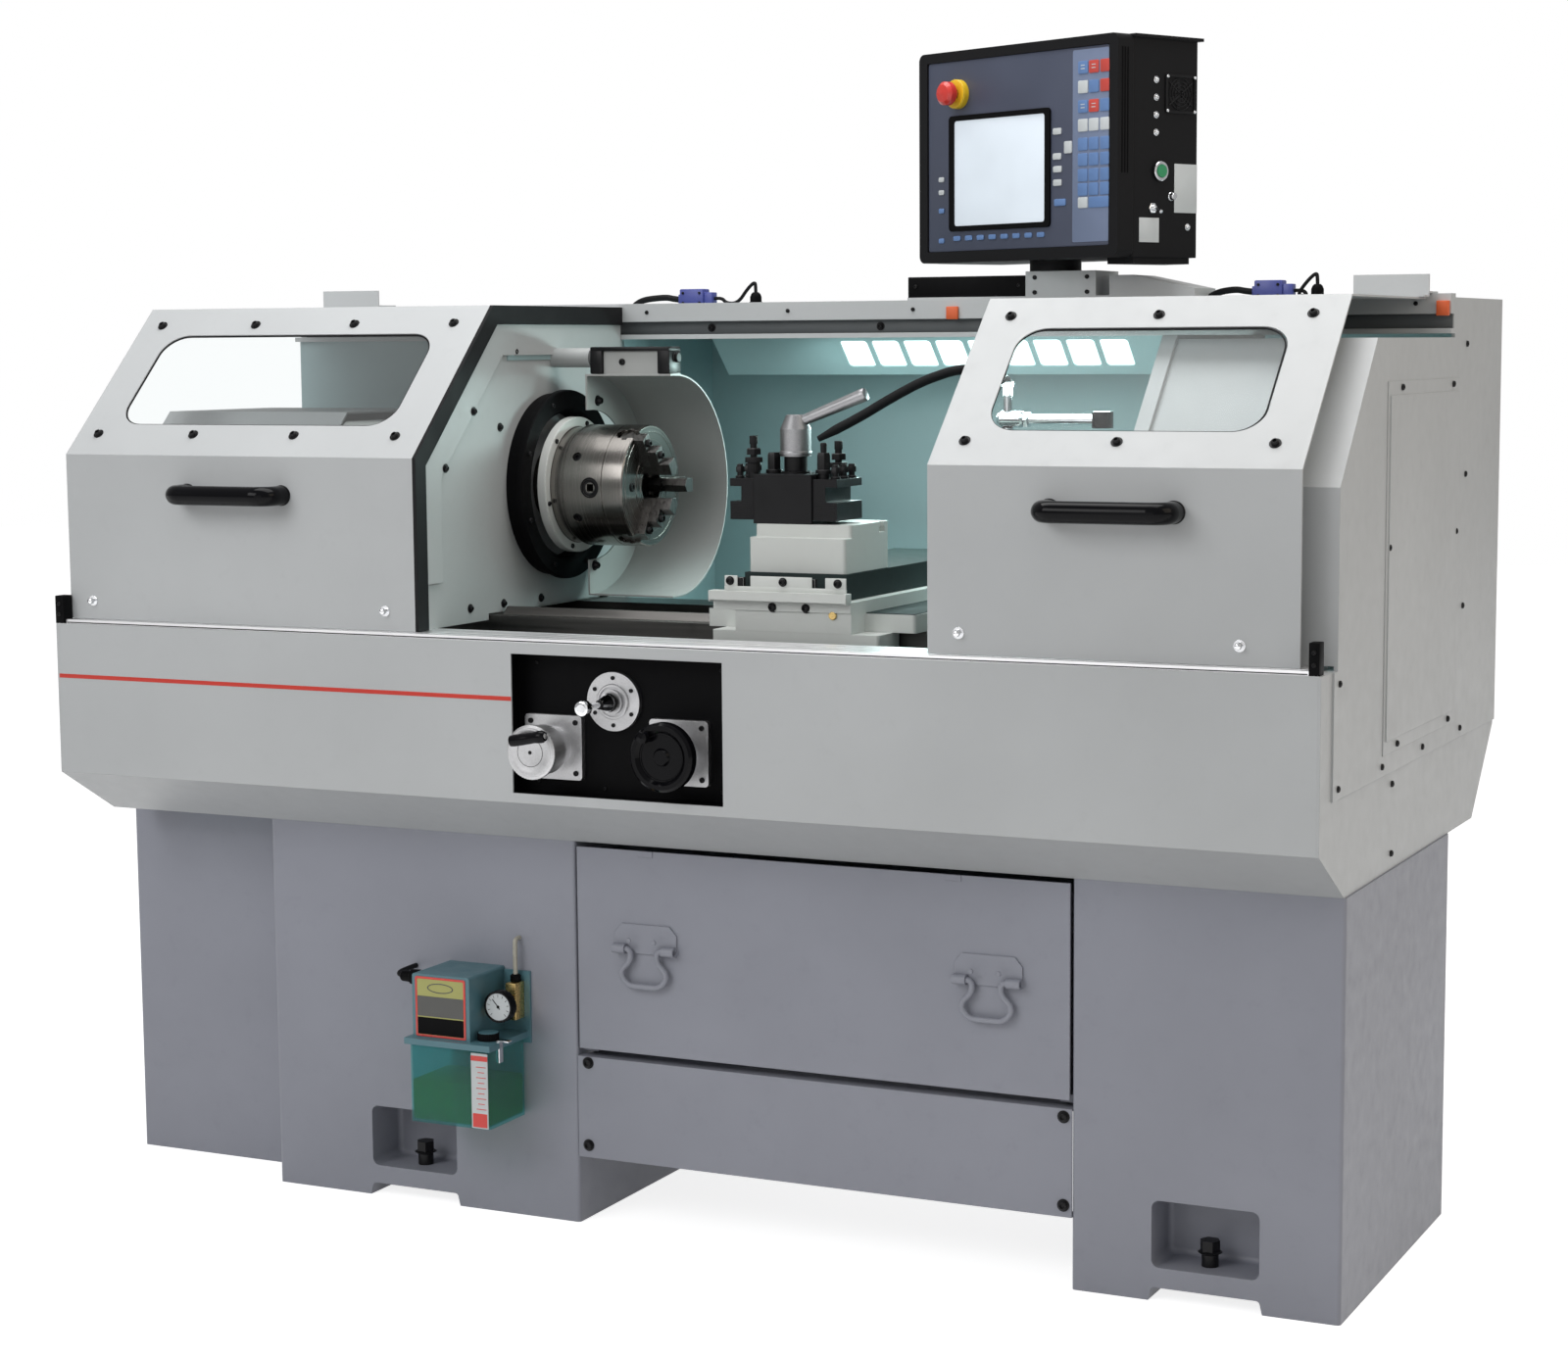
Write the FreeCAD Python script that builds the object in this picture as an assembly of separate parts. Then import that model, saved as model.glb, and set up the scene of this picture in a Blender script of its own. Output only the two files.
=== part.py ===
import FreeCAD, Part

# A tool-room turning lathe: two pedestals carry a bed, headstock and tailstock behind a folded
# apron. Two sliding doors close the work space, and a screen console swivels on the roof.
# While building: +X to the tailstock end, +Y away from the operator, +Z up, in millimetres.
# X is 0 at the middle of the apron, Y is 0 at the apron's front face and Z is 0 on the floor.
# Every solid is moved at the end, so that the origin is under the middle of the whole machine.

import math
import os

V = FreeCAD.Vector

# ---- general ------------------------------------------------------------------------------
SHEET = 3.0             # folded sheet covers
GAP = 0.3               # between pieces that pass each other
RUNNING = 0.05          # radial clearance of a shaft in its bore
EDGE = 6.0              # rounding of castings
LAP = 1.0               # how far a cut runs past the face it opens
BEND_SHARE = 0.45       # share of the shorter run that a bend takes

APRON_LENGTH = 2130.0
LEFT_END = -APRON_LENGTH / 2
RIGHT_END = APRON_LENGTH / 2

# ---- base ---------------------------------------------------------------------------------
BASE_HEIGHT = 614.0
BASE_FRONT = 132.0
BASE_DEPTH = 606.0
RIGHT_PEDESTAL_WIDTH = 404.0
RIGHT_PEDESTAL_X = RIGHT_END - RIGHT_PEDESTAL_WIDTH
LEFT_PEDESTAL_X = LEFT_END + 321.0
LEFT_PEDESTAL_WIDTH = 575.0
CABINET_WIDTH = 356.0
CABINET_SETBACK = 98.0
CABINET_SHEET = 4.0
BELT_SLOT_HALF = 120.0
POCKET_WIDTH = 162.0
POCKET_LOW = 50.0
POCKET_HIGH = 150.0
POCKET_DEPTH = 81.0
POCKET_RADIUS = 12.0
LEFT_POCKET_X = LEFT_PEDESTAL_X + 185.0
RIGHT_POCKET_X = RIGHT_PEDESTAL_X + 123.0
NOTCH_HEIGHT = 20.0
NOTCH_TAPER = 5.0
BOLT_OFFSET = 76.0
BOLT_SETBACK = 41.0
BOLT_STUD_RADIUS = 9.0
BOLT_STUD_FOOT = 24.0
BOLT_SLEEVE_RADIUS = 12.5
BOLT_SLEEVE_HEIGHT = 18.0
BOLT_COLLAR_RADIUS = 18.0
BOLT_COLLAR_THICK = 6.0
BOLT_HEAD_FLATS = 26.0
BOLT_HEAD_HEIGHT = 15.0
RUNNER_WIDTH = 26.0
RUNNER_THICK = 12.0
RUNNER_INSET = 20.0

# ---- drawer and panel between the pedestals -----------------------------------------------
DRAWER_LOW = 284.0
DRAWER_HIGH = 606.0
DRAWER_LIP = 4.0
DRAWER_TUB_DROP = 20.0
DRAWER_TAB_X = (109.0, 625.0)
DRAWER_TAB_SIZE = (26.0, 9.0, 1.5)
DRAWER_SIDE_GAP = 4.0
DRAWER_FRONT_THICK = 4.0
DRAWER_TUB_DEPTH = 520.0
DRAWER_TUB_INSET = 10.0
PANEL_LOW = 108.0
PANEL_HIGH = 281.0
PANEL_TOP_GAP = 10.0
PANEL_FLANGE = 24.0
BAIL_INSET = (122.0, 127.0)
BAIL_PIVOT_Z = 452.0
BAIL_WIDTH = 86.0
BAIL_DROP = 58.0
BAIL_ROD = 4.5
BAIL_NECK_SHARE = 0.3
BAIL_CORNER_RISE = 0.35
BAIL_CORNER_RUN = 0.25
BAIL_PLATE_WIDTH = 108.0
BAIL_PLATE_HEIGHT = 46.0
BAIL_PLATE_BEVEL = (12.0, 14.0)
BAIL_PIN_INSET = 4.0
BAIL_EAR_WIDTH = 22.0
BAIL_EAR_RADIUS = 7.5

# ---- apron, rails and covers --------------------------------------------------------------
APRON_TOP = 938.0
APRON_FOLD = 692.0
APRON_LEDGE = 100.0
APRON_FOOT = 33.0
RECESS_X = (-199.0, 161.0)
RECESS_Z = (707.0, 921.0)
RECESS_DEPTH = 37.0
RECESS_MARGIN = 12.0
RAIL_FRONT = 4.0
RAIL_WIDTH = 90.0
RAIL_HEIGHT = 6.7
RAIL_GROOVE = 3.0
RAIL_GROOVE_SHARES = (0.12, 0.38, 0.62, 0.86)
RAIL_END_GAP = 14.0
RAIL_STOP_LENGTH = (16.0, 14.0)
RAIL_STOP_HEIGHT = 45.0
RAIL_STOP_DEPTH = 22.0
REAR_TOP = 1450.0
REAR_BACK = 1043.0
REAR_FOLD = 753.0
REAR_FOOT = 904.0
TOP_RAIL_FRONT = 689.3
TOP_RAIL_BACK = 717.0
TOP_RAIL_TOP = 1456.0
TOP_RAIL_LOW = 1395.0
TOP_RAIL_WALL = 8.0
TOP_RAIL_MOUTH = 22.0
BACK_PANEL_Y = 705.0
END_FRONT = 72.0
END_FOLD = 1188.0
END_SLANT_TOP_Y = 258.0
END_SLANT_TOP = 1389.0
END_COVER_LEFT = RIGHT_END - 315.0
END_UPPER_FRONT = 55.0
END_UPPER_LOW = 760.0
END_SEAL = 22.0
ACCESS_Y = (315.0, 750.0)
ACCESS_Z = (790.0, 1327.0)
ACCESS_RIM = 10.0
ACCESS_PLATE = 1.5
ACCESS_FIELD = 3.5

# ---- doors --------------------------------------------------------------------------------
DOOR_FRONT = 24.0
DOOR_LOW = 945.0
DOOR_FOLD = 1214.0
DOOR_TOP = 1450.3
DOOR_SLANT_TOP_Y = 263.0
DOOR_BACK = 688.7
LEFT_DOOR_X = (LEFT_END + 13.0, LEFT_END + 681.0)
RIGHT_DOOR_X = (RIGHT_END - 586.0, RIGHT_END - 39.0)
WINDOW_MARGIN_LEFT = 67.0
WINDOW_MARGIN_RIGHT = 71.0
WINDOW_LOW = 68.0
WINDOW_HIGH = 273.0
WINDOW_RADIUS = 45.0
PANE_THICK = 4.0
PANE_BORDER = 30.0
SEAL_DEPTH = 30.0
SEAL_THICK = 6.0
HANDLE_DROP = 61.0
HANDLE_ROD = 15.5
HANDLE_STAND_OFF = 46.0
HANDLE_LENGTH = 182.0
LEFT_HANDLE_X = LEFT_DOOR_X[0] + 242.0
RIGHT_HANDLE_X = RIGHT_DOOR_X[0] + 185.0
HANGER_THICK = 3.0
HANGER_WIDTH = 118.0
HANGER_HEIGHT = 26.0
HANGER_REACH = 38.0
HANGER_FOOT = 28.0
HANGER_SETBACK = 18.0
LEFT_HANGER_X = LEFT_DOOR_X[0] + 67.0
RIGHT_HANGER_X = RIGHT_DOOR_X[1] - 109.0

# ---- headstock, spindle and drive ---------------------------------------------------------
SPINDLE_Y = 460.0
SPINDLE_Z = 1155.0
SPINDLE_RADIUS = 40.0
SPINDLE_BORE = 27.5
SPINDLE_LEFT = LEFT_END + 10.0
BULKHEAD_FACE = LEFT_DOOR_X[1] - 4.0
BULKHEAD_THICK = 4.0
BULKHEAD_BORDER = 50.0
BULKHEAD_RAISE = 6.0
BULKHEAD_STEP = 1016.0
NOSE_HOLE = 66.0
NOSE_RADIUS = 60.0
RING_RADIUS = 157.0
RING_INNER = 120.0
RING_FRONT = BULKHEAD_FACE + 32.0
RING_LIP = 8.0
RING_UNDERCUT = 6.0
RING_BEVEL = 2.0
HEADSTOCK_X = (BULKHEAD_FACE - 312.0, BULKHEAD_FACE - 5.0)
HEADSTOCK_Y = (300.0, 620.0)
HEADSTOCK_BORE_GAP = 12.0
HEADSTOCK_TOP = 1262.0
BEARING_RADIUS = 65.0
BEARING_WIDTH = 40.0
GEAR_COVER_Y = (290.0, 640.0)
GEAR_COVER_TOP = 1277.0
GEAR_COVER_BEVEL = 28.0
BAR_OPENING = 48.0
PULLEY_X = (LEFT_END + 15.0, LEFT_END + 55.0)
PULLEY_GROOVES = 3
PULLEY_GROOVE_DEPTH = 7.0
PULLEY_LAND = 2.5
SPINDLE_PULLEY_RADIUS = 90.0
MOTOR_PULLEY_RADIUS = 60.0
MOTOR_Z = 300.0
MOTOR_X = (LEFT_END + 65.0, LEFT_END + 295.0)
MOTOR_RADIUS = 105.0
MOTOR_RIB = 12.0
MOTOR_RIB_DEPTH = 8.0
MOTOR_RIB_END = 30.0
MOTOR_STAND_FOOT = 120.0
MOTOR_STAND_TOP = 70.0
MOTOR_STAND_RISE = 60.0
TERMINAL_BOX = 90.0
TERMINAL_RISE = 50.0
MOTOR_SHAFT = 14.0
MOTOR_SHAFT_SEAT = 40.0
BELT_THICK = 8.0
BELT_WIDTH = 32.0

# ---- three-jaw chuck ----------------------------------------------------------------------
CHUCK_RADIUS = 100.0
CHUCK_LENGTH = 136.4
CHUCK_BORE = 32.5
CHUCK_BEVEL = 2.0
CHUCK_BACK = BULKHEAD_FACE + 50.0
CHUCK_FACE = CHUCK_BACK + CHUCK_LENGTH
FLANGE_RADIUS = 112.0
FLANGE_BACK = CHUCK_BACK - 14.0
CHUCK_NECK_X = CHUCK_BACK + 24.0
CHUCK_NECK_RADIUS = 96.0
CHUCK_JOINT_X = CHUCK_FACE - 39.9
CHUCK_JOINT_GROOVE = 1.5
JAW_WIDTH = 22.0
JAW_TEE_WIDTH = 32.0
JAW_TEE_THICK = 8.4
JAW_TEE_X = CHUCK_FACE - 20.1
JAW_BASE_X = CHUCK_FACE - 30.1
JAW_TIP_RADIUS = 22.0
JAW_TEE_SETBACK = 12.0
JAW_OUTER_RADIUS = 94.0
JAW_STEP_RADII = (48.0, 71.0)
JAW_STEP_X = (CHUCK_FACE + 51.6, CHUCK_FACE + 33.6, CHUCK_FACE + 16.6)
SCROLL_PITCH = 8.0
SCROLL_X = (CHUCK_FACE - 44.4, CHUCK_FACE - 30.7)
SCROLL_BORE_RADIUS = 40.0
SCROLL_RADIUS = 90.0
SCROLL_START = 32.0
SCROLL_QUARTERS = 29
SCROLL_GROOVE_WIDTH = 4.6
SCROLL_GROOVE_DEPTH = 5.0
JAW_TOOTH_WIDTH = 3.2
JAW_TOOTH_HALF = 6.0
JAW_TOOTH_DEPTH = 4.0
JAW_FIRST_TOOTH = 50.0
JAW_TURNS = (0, 120, 240)
JAW_TEETH = 5
PINION_X = CHUCK_FACE - 60.4
PINION_RADIUS = 13.7
PINION_SQUARE = 12.0
PINION_SQUARE_DEPTH = 16.0
PINION_LENGTH = 24.0
PINION_SETBACK = 2.0
BODY_SCREW_X = CHUCK_FACE - 90.4
BODY_SCREW_RADIUS = 8.0
BODY_SCREW_DEPTH = 9.0

# ---- chuck guard --------------------------------------------------------------------------
GUARD_RADIUS = 183.0
GUARD_X = (BULKHEAD_FACE + 76.0, BULKHEAD_FACE + 235.0)
GUARD_LIP = 20.0
GUARD_SIDE_INNER = 124.0
GUARD_PIVOT_Y = 470.0
GUARD_PIVOT_Z = 1365.0
GUARD_PIN_RADIUS = 8.0
GUARD_SLEEVE_HALF = 17.0
GUARD_SLEEVE_INSET = 6.0

# ---- bed, carriage and slides -------------------------------------------------------------
BED_X = (LEFT_END + 65.0, RIGHT_END - 145.0)
BED_Y = (250.0, 640.0)
BED_TOP = 952.0
WAY_WIDTH = 95.0
WAY_CHANNEL = 84.0
VEE_Y = 292.0
VEE_HALF = 16.0
VEE_HEIGHT = 12.0
VEE_TOP_HALF = 3.0
VEE_LEFT = BULKHEAD_FACE + 10.0
VEE_GROOVE_REACH = 500.0
SCREW_Y = 205.0
SCREW_Z = 780.0
SCREW_RADIUS = 16.0
SCREW_LUG_THICK = 30.0
SCREW_LUG_X = (BULKHEAD_FACE + 28.0, BED_X[1] - SCREW_LUG_THICK)
SCREW_LUG_HALF = 34.0
SERVO_LENGTH = 129.0
SERVO_HALF = 45.0
NUT_CLEARANCE = 0.4
SADDLE_X = (28.0, 378.0)
SADDLE_Y = (215.0, 680.0)
SADDLE_TOP = 980.0
BRIDGE_X = (101.0, 295.0)
BRIDGE_FRONT = 165.0
BRIDGE_TOP = 1000.0
DOVETAIL_TOP = 118.0
DOVETAIL_FOOT = 100.0
DOVETAIL_HEIGHT = 12.0
APRON_BOX_X = (60.0, 340.0)
APRON_BOX_Y = (165.0, 245.0)
APRON_BOX_LOW = 700.0
SLIDE_CENTRE = 191.0
SLIDE_WIDTH = 172.0
SLIDE_Y = (190.0, 756.0)
SLIDE_TOP = 1040.0
SLIDE_BLOCK_Y = (195.0, 357.0)
SLIDE_BLOCK_STEP = 1093.0
SLIDE_BLOCK_TOP = 1112.5
SLIDE_BLOCK_SETBACK = 22.0
SLIDE_BLOCK_WIDTH = 162.0
TEE_SLOT_Y = 330.0
TEE_SLOT_NECK = 12.0
TEE_SLOT_WIDTH = 22.0
TEE_SLOT_DEPTH = 16.0
WIPER_HEIGHT = 20.0
WIPER_THICK = 6.0
WIPER_SPANS = ((4.0, 18.0), (30.0, 94.0), (110.0, 138.0))
BRACKET_OVERHANG = 36.0
BRACKET_REACH = 20.0
BRACKET_RISE = 14.0
BRACKET_DROP = 14.0
BRACKET_FOOT = 30.0

# ---- toolpost -----------------------------------------------------------------------------
POST_SIZE = 100.0
POST_CENTRE = (156.0, 267.0)
POST_TOP = 1188.0
POST_GROOVE = 6.0
POST_GROOVE_HALF = 4.0
POST_GROOVE_SETBACK = 12.0
POST_EDGE = 3.0
POST_STUD_RADIUS = 10.0
POST_WASHER = 3.0
HOLDER_THICK = 40.0
HOLDER_LENGTH = 92.0
HOLDER_Z = (1118.0, 1181.0)
HOLDER_SLOT_Z = (1146.0, 1169.0)
HOLDER_SLOT_DEPTH = 19.0
HOLDER_SCREW_SHARES = (0.18, 0.5, 0.82)
HOLDER_SCREW_RADIUS = 5.0
HOLDER_SCREW_RISE = 18.0
HOLDER_ADJUSTER = ((9.0, 24.0), (5.0, 52.0))
HOLDER_ADJUSTER_PLACE = (9.0, 20.0)
SCREW_ROOT = 5.0
HUB_BASE_RADIUS = 16.0
HUB_BASE_TOP = 1214.0
HUB_RADIUS = 24.0
HUB_TOP = 1256.0
HUB_TIP_RADIUS = 15.0
HUB_TIP = 1276.0
LEVER_LENGTH = 110.0
LEVER_ROOT = 6.0
LEVER_END = 10.0
LEVER_RISE_DEG = 21.0
LEVER_Z = 1266.0

# ---- coolant line -------------------------------------------------------------------------
TAP_X = 358.0
TAP_Y = 640.0
TAP_Z = 1262.0
STANDPIPE_RADIUS = 9.0
TAP_BODY_RADIUS = 13.0
TAP_BODY_LEFT = 16.0
TAP_BODY_RIGHT = 24.0
TAP_BEVEL = 6.0
TAP_ARM_RADIUS = 8.0
TAP_ARM_LENGTH = 150.0
TAP_BLOCK = 26.0
HOSE_RADIUS = 8.0
RISER_TOP = 1326.0
HOSE_ROUTE = ((358.0, 640.0, 1322.0), (338.0, 622.0, 1342.0), (288.0, 600.0, 1344.0),
              (232.0, 588.0, 1325.0), (180.0, 580.0, 1298.0), (130.0, 570.0, 1268.0),
              (88.0, 562.0, 1246.0))
NOZZLE_LENGTH = 34.0
NOZZLE_RADIUS = 5.0

# ---- tailstock ----------------------------------------------------------------------------
TAILSTOCK_X = (RIGHT_END - 425.0, RIGHT_END - 205.0)
TAILSTOCK_WEB_HALF = 110.0
TAILSTOCK_WEB_INSET = 10.0
TAILSTOCK_BASE_Y = (262.0, 628.0)
TAILSTOCK_BASE_TOP = 1000.0
BARREL_RADIUS = 60.0
QUILL_RADIUS = 30.0
QUILL_LEFT = TAILSTOCK_X[0] - 55.0
QUILL_BEVEL = 3.0
QUILL_BORE_END = 10.0
QUILL_SETBACK = 40.0
QUILL_TAPER_RADIUS = 12.7
QUILL_TAPER_DEPTH = 90.0
TAIL_WHEEL_RADIUS = 78.0
TAIL_WHEEL_X = (TAILSTOCK_X[1] + 24.0, TAILSTOCK_X[1] + 42.0)
TAIL_WHEEL_HUB = 22.0
TAIL_WHEEL_RIM = (10.0, 14.0)
TAIL_WHEEL_DISH = 5.0
TAIL_GRIP = ((0.0, 6.0), (20.0, 11.0), (55.0, 9.0), (60.0, 0.0))
TAIL_GRIP_SETBACK = 16.0
TAIL_SHAFT_RADIUS = 10.0
TAIL_SHAFT_DEPTH = 8.0

# ---- handwheels and jog stick -------------------------------------------------------------
X_WHEEL = (-144.0, 777.0)
Z_WHEEL = (72.0, 779.0)
JOG_STICK = (-40.0, 851.0)
WHEEL_FLANGE_SIZE = 99.0
WHEEL_FLANGE_THICK = 10.0
WHEEL_SHAFT_RADIUS = 8.0
X_WHEEL_RADIUS = 41.0
X_WHEEL_FRONT = -40.0
Z_WHEEL_RADIUS = 52.0
Z_WHEEL_FRONT = -30.0
JOG_FLANGE_RADIUS = 45.0
JOG_NECK = 16.0
JOG_KNOB_RADIUS = 12.0
JOG_TIP = -66.0
JOG_PIVOT_RADIUS = 10.0
JOG_PIVOT_HALF = 6.0
JOG_STAND_OFF = 3.5
JOG_FLANGE_THICK = 8.0
JOG_NECK_RADIUS = 19.0
JOG_STEM_RADIUS = 4.5
JOG_CONE = ((0.0, 12.0), (10.0, 14.0), (30.0, 7.0), (34.0, JOG_STEM_RADIUS))
JOG_KNOB_LENGTH = 20.0
JOG_KNOB = ((16.0, 3.0), (8.0, 0.0), (0.0, 3.0))
WHEEL_NECK_RADIUS = 31.0
WHEEL_NECK_LENGTH = 26.0
WHEEL_SHAFT_LENGTH = 20.0
X_WHEEL_HUB_RADIUS = 34.0
X_WHEEL_HUB_LENGTH = 12.0
X_WHEEL_DRUM_RADIUS = 38.0
X_WHEEL_RIM = 12.0
X_WHEEL_EDGE = ((10.0, 0.0), (2.0, 0.0), (0.0, 3.0))
X_GRIP_ENDS = ((-20.0, 19.0), (28.0, 27.0))
X_GRIP_RADIUS = 8.0
X_GRIP_RISE = 13.0
X_LUG_PLACE = (20.0, 25.0)
X_LUG_RADIUS = 7.0
Z_WHEEL_COLLAR = 30.0
Z_WHEEL_DEPTH = 24.0
Z_WHEEL_EDGE = ((22.0, 4.0), (18.0, 0.0), (4.0, 0.0), (0.0, 4.0), (0.0, 10.0), (6.0, 15.0))
Z_WHEEL_BOSS = ((6.0, 14.0), (2.0, 11.0), (2.0, 0.0))
Z_GRIP = ((5.0, 0.0), (5.0, 6.0), (-2.0, 9.0), (-12.0, 8.0), (-14.0, 0.0))
Z_GRIP_PLACE = (-24.0, 30.0)

# ---- rear enclosure lamp ------------------------------------------------------------------
LAMP_X = (BULKHEAD_FACE + 142.0, RIGHT_END - 425.0)
LAMP_LINE = ((722.0, 1410.0), (765.0, 1405.0), (835.0, 1335.0), (850.0, 1340.0), (850.0, 1446.9))
LAMP_SHEET = 2.5
LAMP_WINDOWS = 9
LAMP_WINDOW_PITCH = 58.5
LAMP_WINDOW_WIDTH = 50.0
LAMP_WINDOW_HEIGHT = 62.0
LAMP_WINDOW_LEFT = -5.0
LAMP_WINDOW_LOW = 18.0
LAMP_WINDOW_RADIUS = 7.0
DIFFUSER_THICK = 8.0
DIFFUSER_MARGIN = 12.0
DIFFUSER_LAP = 6.0
LAMP_WINDOW_CUT = 9.0

# ---- console ------------------------------------------------------------------------------
CONSOLE_TURN = 25.4
CONSOLE_CORNER = (558.0, 557.5, 1535.0)
CONSOLE_WIDTH = 464.0
CONSOLE_HEIGHT = 342.0
CONSOLE_RIGHT = 20.0
CONSOLE_LOW = -18.0
BEZEL_DEPTH = 34.0
BEZEL_RECESS = 3.0
BEZEL_FRAME = 20.0
BEZEL_RADIUS = 12.0
HOUSING_DEPTH = 146.0
HOUSING_INSET = 6.0
LID_OVERHANG = 6.0
LID_THICK = 5.0
PIVOT_LOCAL = (-211.0, 90.0)
PIVOT_RADIUS = 15.0
PIVOT_BOSS_RADIUS = 42.0
PIVOT_LENGTH = 24.0
ARM_TOP = 1500.0
ARM_X = (159.0, 655.0)
ARM_Y = (692.0, 800.0)
ARM_PLATE = 4.0
ARM_CHANNEL_RIGHT = 368.0
ARM_POST_RIGHT = 489.0
ARM_SLANT_LEFT = 512.0
ESTOP_LOCAL = (-347.0, 254.0)
ESTOP_DISC_RADIUS = 23.0
ESTOP_DISC_HEIGHT = 12.0
ESTOP_RADIUS = 19.0
ESTOP_STEM = 8.0
ESTOP_TRAVEL = 6.0
START_LOCAL = (93.0, 115.5)
START_RADIUS = 10.0
START_RING_RADIUS = 15.0
START_TRAVEL = 3.0
START_DEPTH = 14.0
START_RING_HEIGHT = 4.0
ESTOP_WALL = 6.0
ESTOP_HEAD = ((0.0, 3.0), (4.0, 0.0), (14.0, 0.0), (19.0, 5.0), (21.0, ESTOP_RADIUS))
BEZEL_LOW_FRAME = 18.0
BEZEL_TOP_FRAME = 16.0
HOUSING_SIDE_INSET = 2.0
HOUSING_EDGE = 4.0
FOOT_SPAN = (4.0, 60.0)
FOOT_INSET = (6.0, 14.0)
FOOT_HEIGHT = 10.0
ARM_INSET = 4.0
ARM_CHANNEL_DROP = 6.0
ARM_SLANT_DROP = 8.0
ARM_SLANT_END = 10.0
ARM_SLANT_LEVEL = 40.0

# ---- central lubricator -------------------------------------------------------------------
PUMP_X = (LEFT_PEDESTAL_X + 339.0, LEFT_PEDESTAL_X + 444.0)
PUMP_DEPTH = 108.0
PUMP_Z = (303.0, 405.0)
PUMP_EDGE = 4.0
PUMP_PLATE_RIGHT = LEFT_PEDESTAL_X + 492.0
PUMP_PLATE_Z = (284.0, 400.0)
PUMP_PLATE_THICK = 4.0
TANK_X = (LEFT_PEDESTAL_X + 335.0, LEFT_PEDESTAL_X + 482.0)
TANK_DEPTH = 112.0
TANK_LOW = 168.0
TANK_WALL = 3.0
TANK_CORNER = 8.0
LID_FLANGE = 5.0
LID_THICKNESS = 10.0
GAUGE_RADIUS = 20.0
GAUGE_X = LEFT_PEDESTAL_X + 472.0
GAUGE_Z = 356.0
GAUGE_DEPTH = (54.0, 76.0)
GAUGE_STEM_RADIUS = 6.0
BRASS_WIDTH = (8.0, 10.0)
BRASS_RISE = (30.0, 28.0)
BRASS_DEPTH = 32.0
OIL_TUBE_RADIUS = 3.0
OIL_TUBE_RISE = 96.0
OIL_TUBE_SETBACK = 14.0
FILLER_RADIUS = 16.0
FILLER_HEIGHT = 14.0
FILLER_PLACE = (20.0, 30.0)
GLAND_RADIUS = 8.0
GLAND_PLACE = (60.0, 18.0)
GLAND_LENGTH = 16.0


# ============================ drawing helpers ==============================================

def block(x, y, z):
    """A box from its low and high X, Y and Z."""
    return Part.makeBox(x[1] - x[0], y[1] - y[0], z[1] - z[0], V(x[0], y[0], z[0]))


def polygon(points):
    """A flat face from a closed run of corner points."""
    return Part.Face(Part.makePolygon(list(points) + [points[0]]))


def prism_x(outline, x):
    """An outline of (Y, Z) points, extruded along X."""
    return polygon([V(x[0], y, z) for y, z in outline]).extrude(V(x[1] - x[0], 0, 0))


def prism_y(outline, y):
    """An outline of (X, Z) points, extruded along Y."""
    return polygon([V(x, y[0], z) for x, z in outline]).extrude(V(0, y[1] - y[0], 0))


def prism_z(outline, z):
    """An outline of (X, Y) points, extruded along Z."""
    return polygon([V(x, y, z[0]) for x, y in outline]).extrude(V(0, 0, z[1] - z[0]))


def rod_x(y, z, radius, x):
    return Part.makeCylinder(radius, x[1] - x[0], V(x[0], y, z), V(1, 0, 0))


def rod_y(x, z, radius, y):
    return Part.makeCylinder(radius, y[1] - y[0], V(x, y[0], z), V(0, 1, 0))


def rod_z(x, y, radius, z):
    return Part.makeCylinder(radius, z[1] - z[0], V(x, y, z[0]), V(0, 0, 1))


def hexagon_z(x, y, flats, z):
    """An upright hexagon bar, given across its flats."""
    corner = flats / math.sqrt(3)
    outline = []
    for i in range(6):
        turn = math.radians(60 * i)
        outline.append((x + corner * math.cos(turn), y + corner * math.sin(turn)))
    return prism_z(outline, z)


def turned_x(profile, y, z):
    """A turned piece: (X, radius) points revolved about an axis along X."""
    face = polygon([V(px, radius, 0) for px, radius in profile])
    solid = face.revolve(V(0, 0, 0), V(1, 0, 0), 360)
    solid.translate(V(0, y, z))
    return solid


def turned_y(profile, x, z):
    """A turned piece: (Y, radius) points revolved about an axis along Y."""
    face = polygon([V(radius, py, 0) for py, radius in profile])
    solid = face.revolve(V(0, 0, 0), V(0, 1, 0), 360)
    solid.translate(V(x, 0, z))
    return solid


def turned_z(profile, x, y):
    """A turned piece: (Z, radius) points revolved about an upright axis."""
    face = polygon([V(radius, 0, pz) for pz, radius in profile])
    solid = face.revolve(V(0, 0, 0), V(0, 0, 1), 360)
    solid.translate(V(x, y, 0))
    return solid


def fused(pieces):
    """One solid from pieces that touch or overlap."""
    return pieces[0].multiFuse(pieces[1:]).removeSplitter()


def group(pieces):
    """Several separate solids in one node."""
    return Part.makeCompound(pieces)


def placed(solid, position, axis, degrees):
    """Moves a piece drawn about the origin to a place on the machine, turned about an axis."""
    place = FreeCAD.Placement(position, FreeCAD.Rotation(axis, degrees))
    solid.Placement = place.multiply(solid.Placement)
    return solid


def round_along(solid, direction, radius, keep=None):
    """Rounds the straight edges that run along a direction, of those that keep() accepts."""
    edges = []
    for edge in solid.Edges:
        if not isinstance(edge.Curve, Part.Line):
            continue
        run = edge.Vertexes[-1].Point - edge.Vertexes[0].Point
        if run.Length < 1e-6 or abs(abs(run.normalize().dot(direction)) - 1) > 1e-4:
            continue
        if keep is None or keep(edge.CenterOfMass):
            edges.append(edge)
    return solid.makeFillet(radius, edges)


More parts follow.
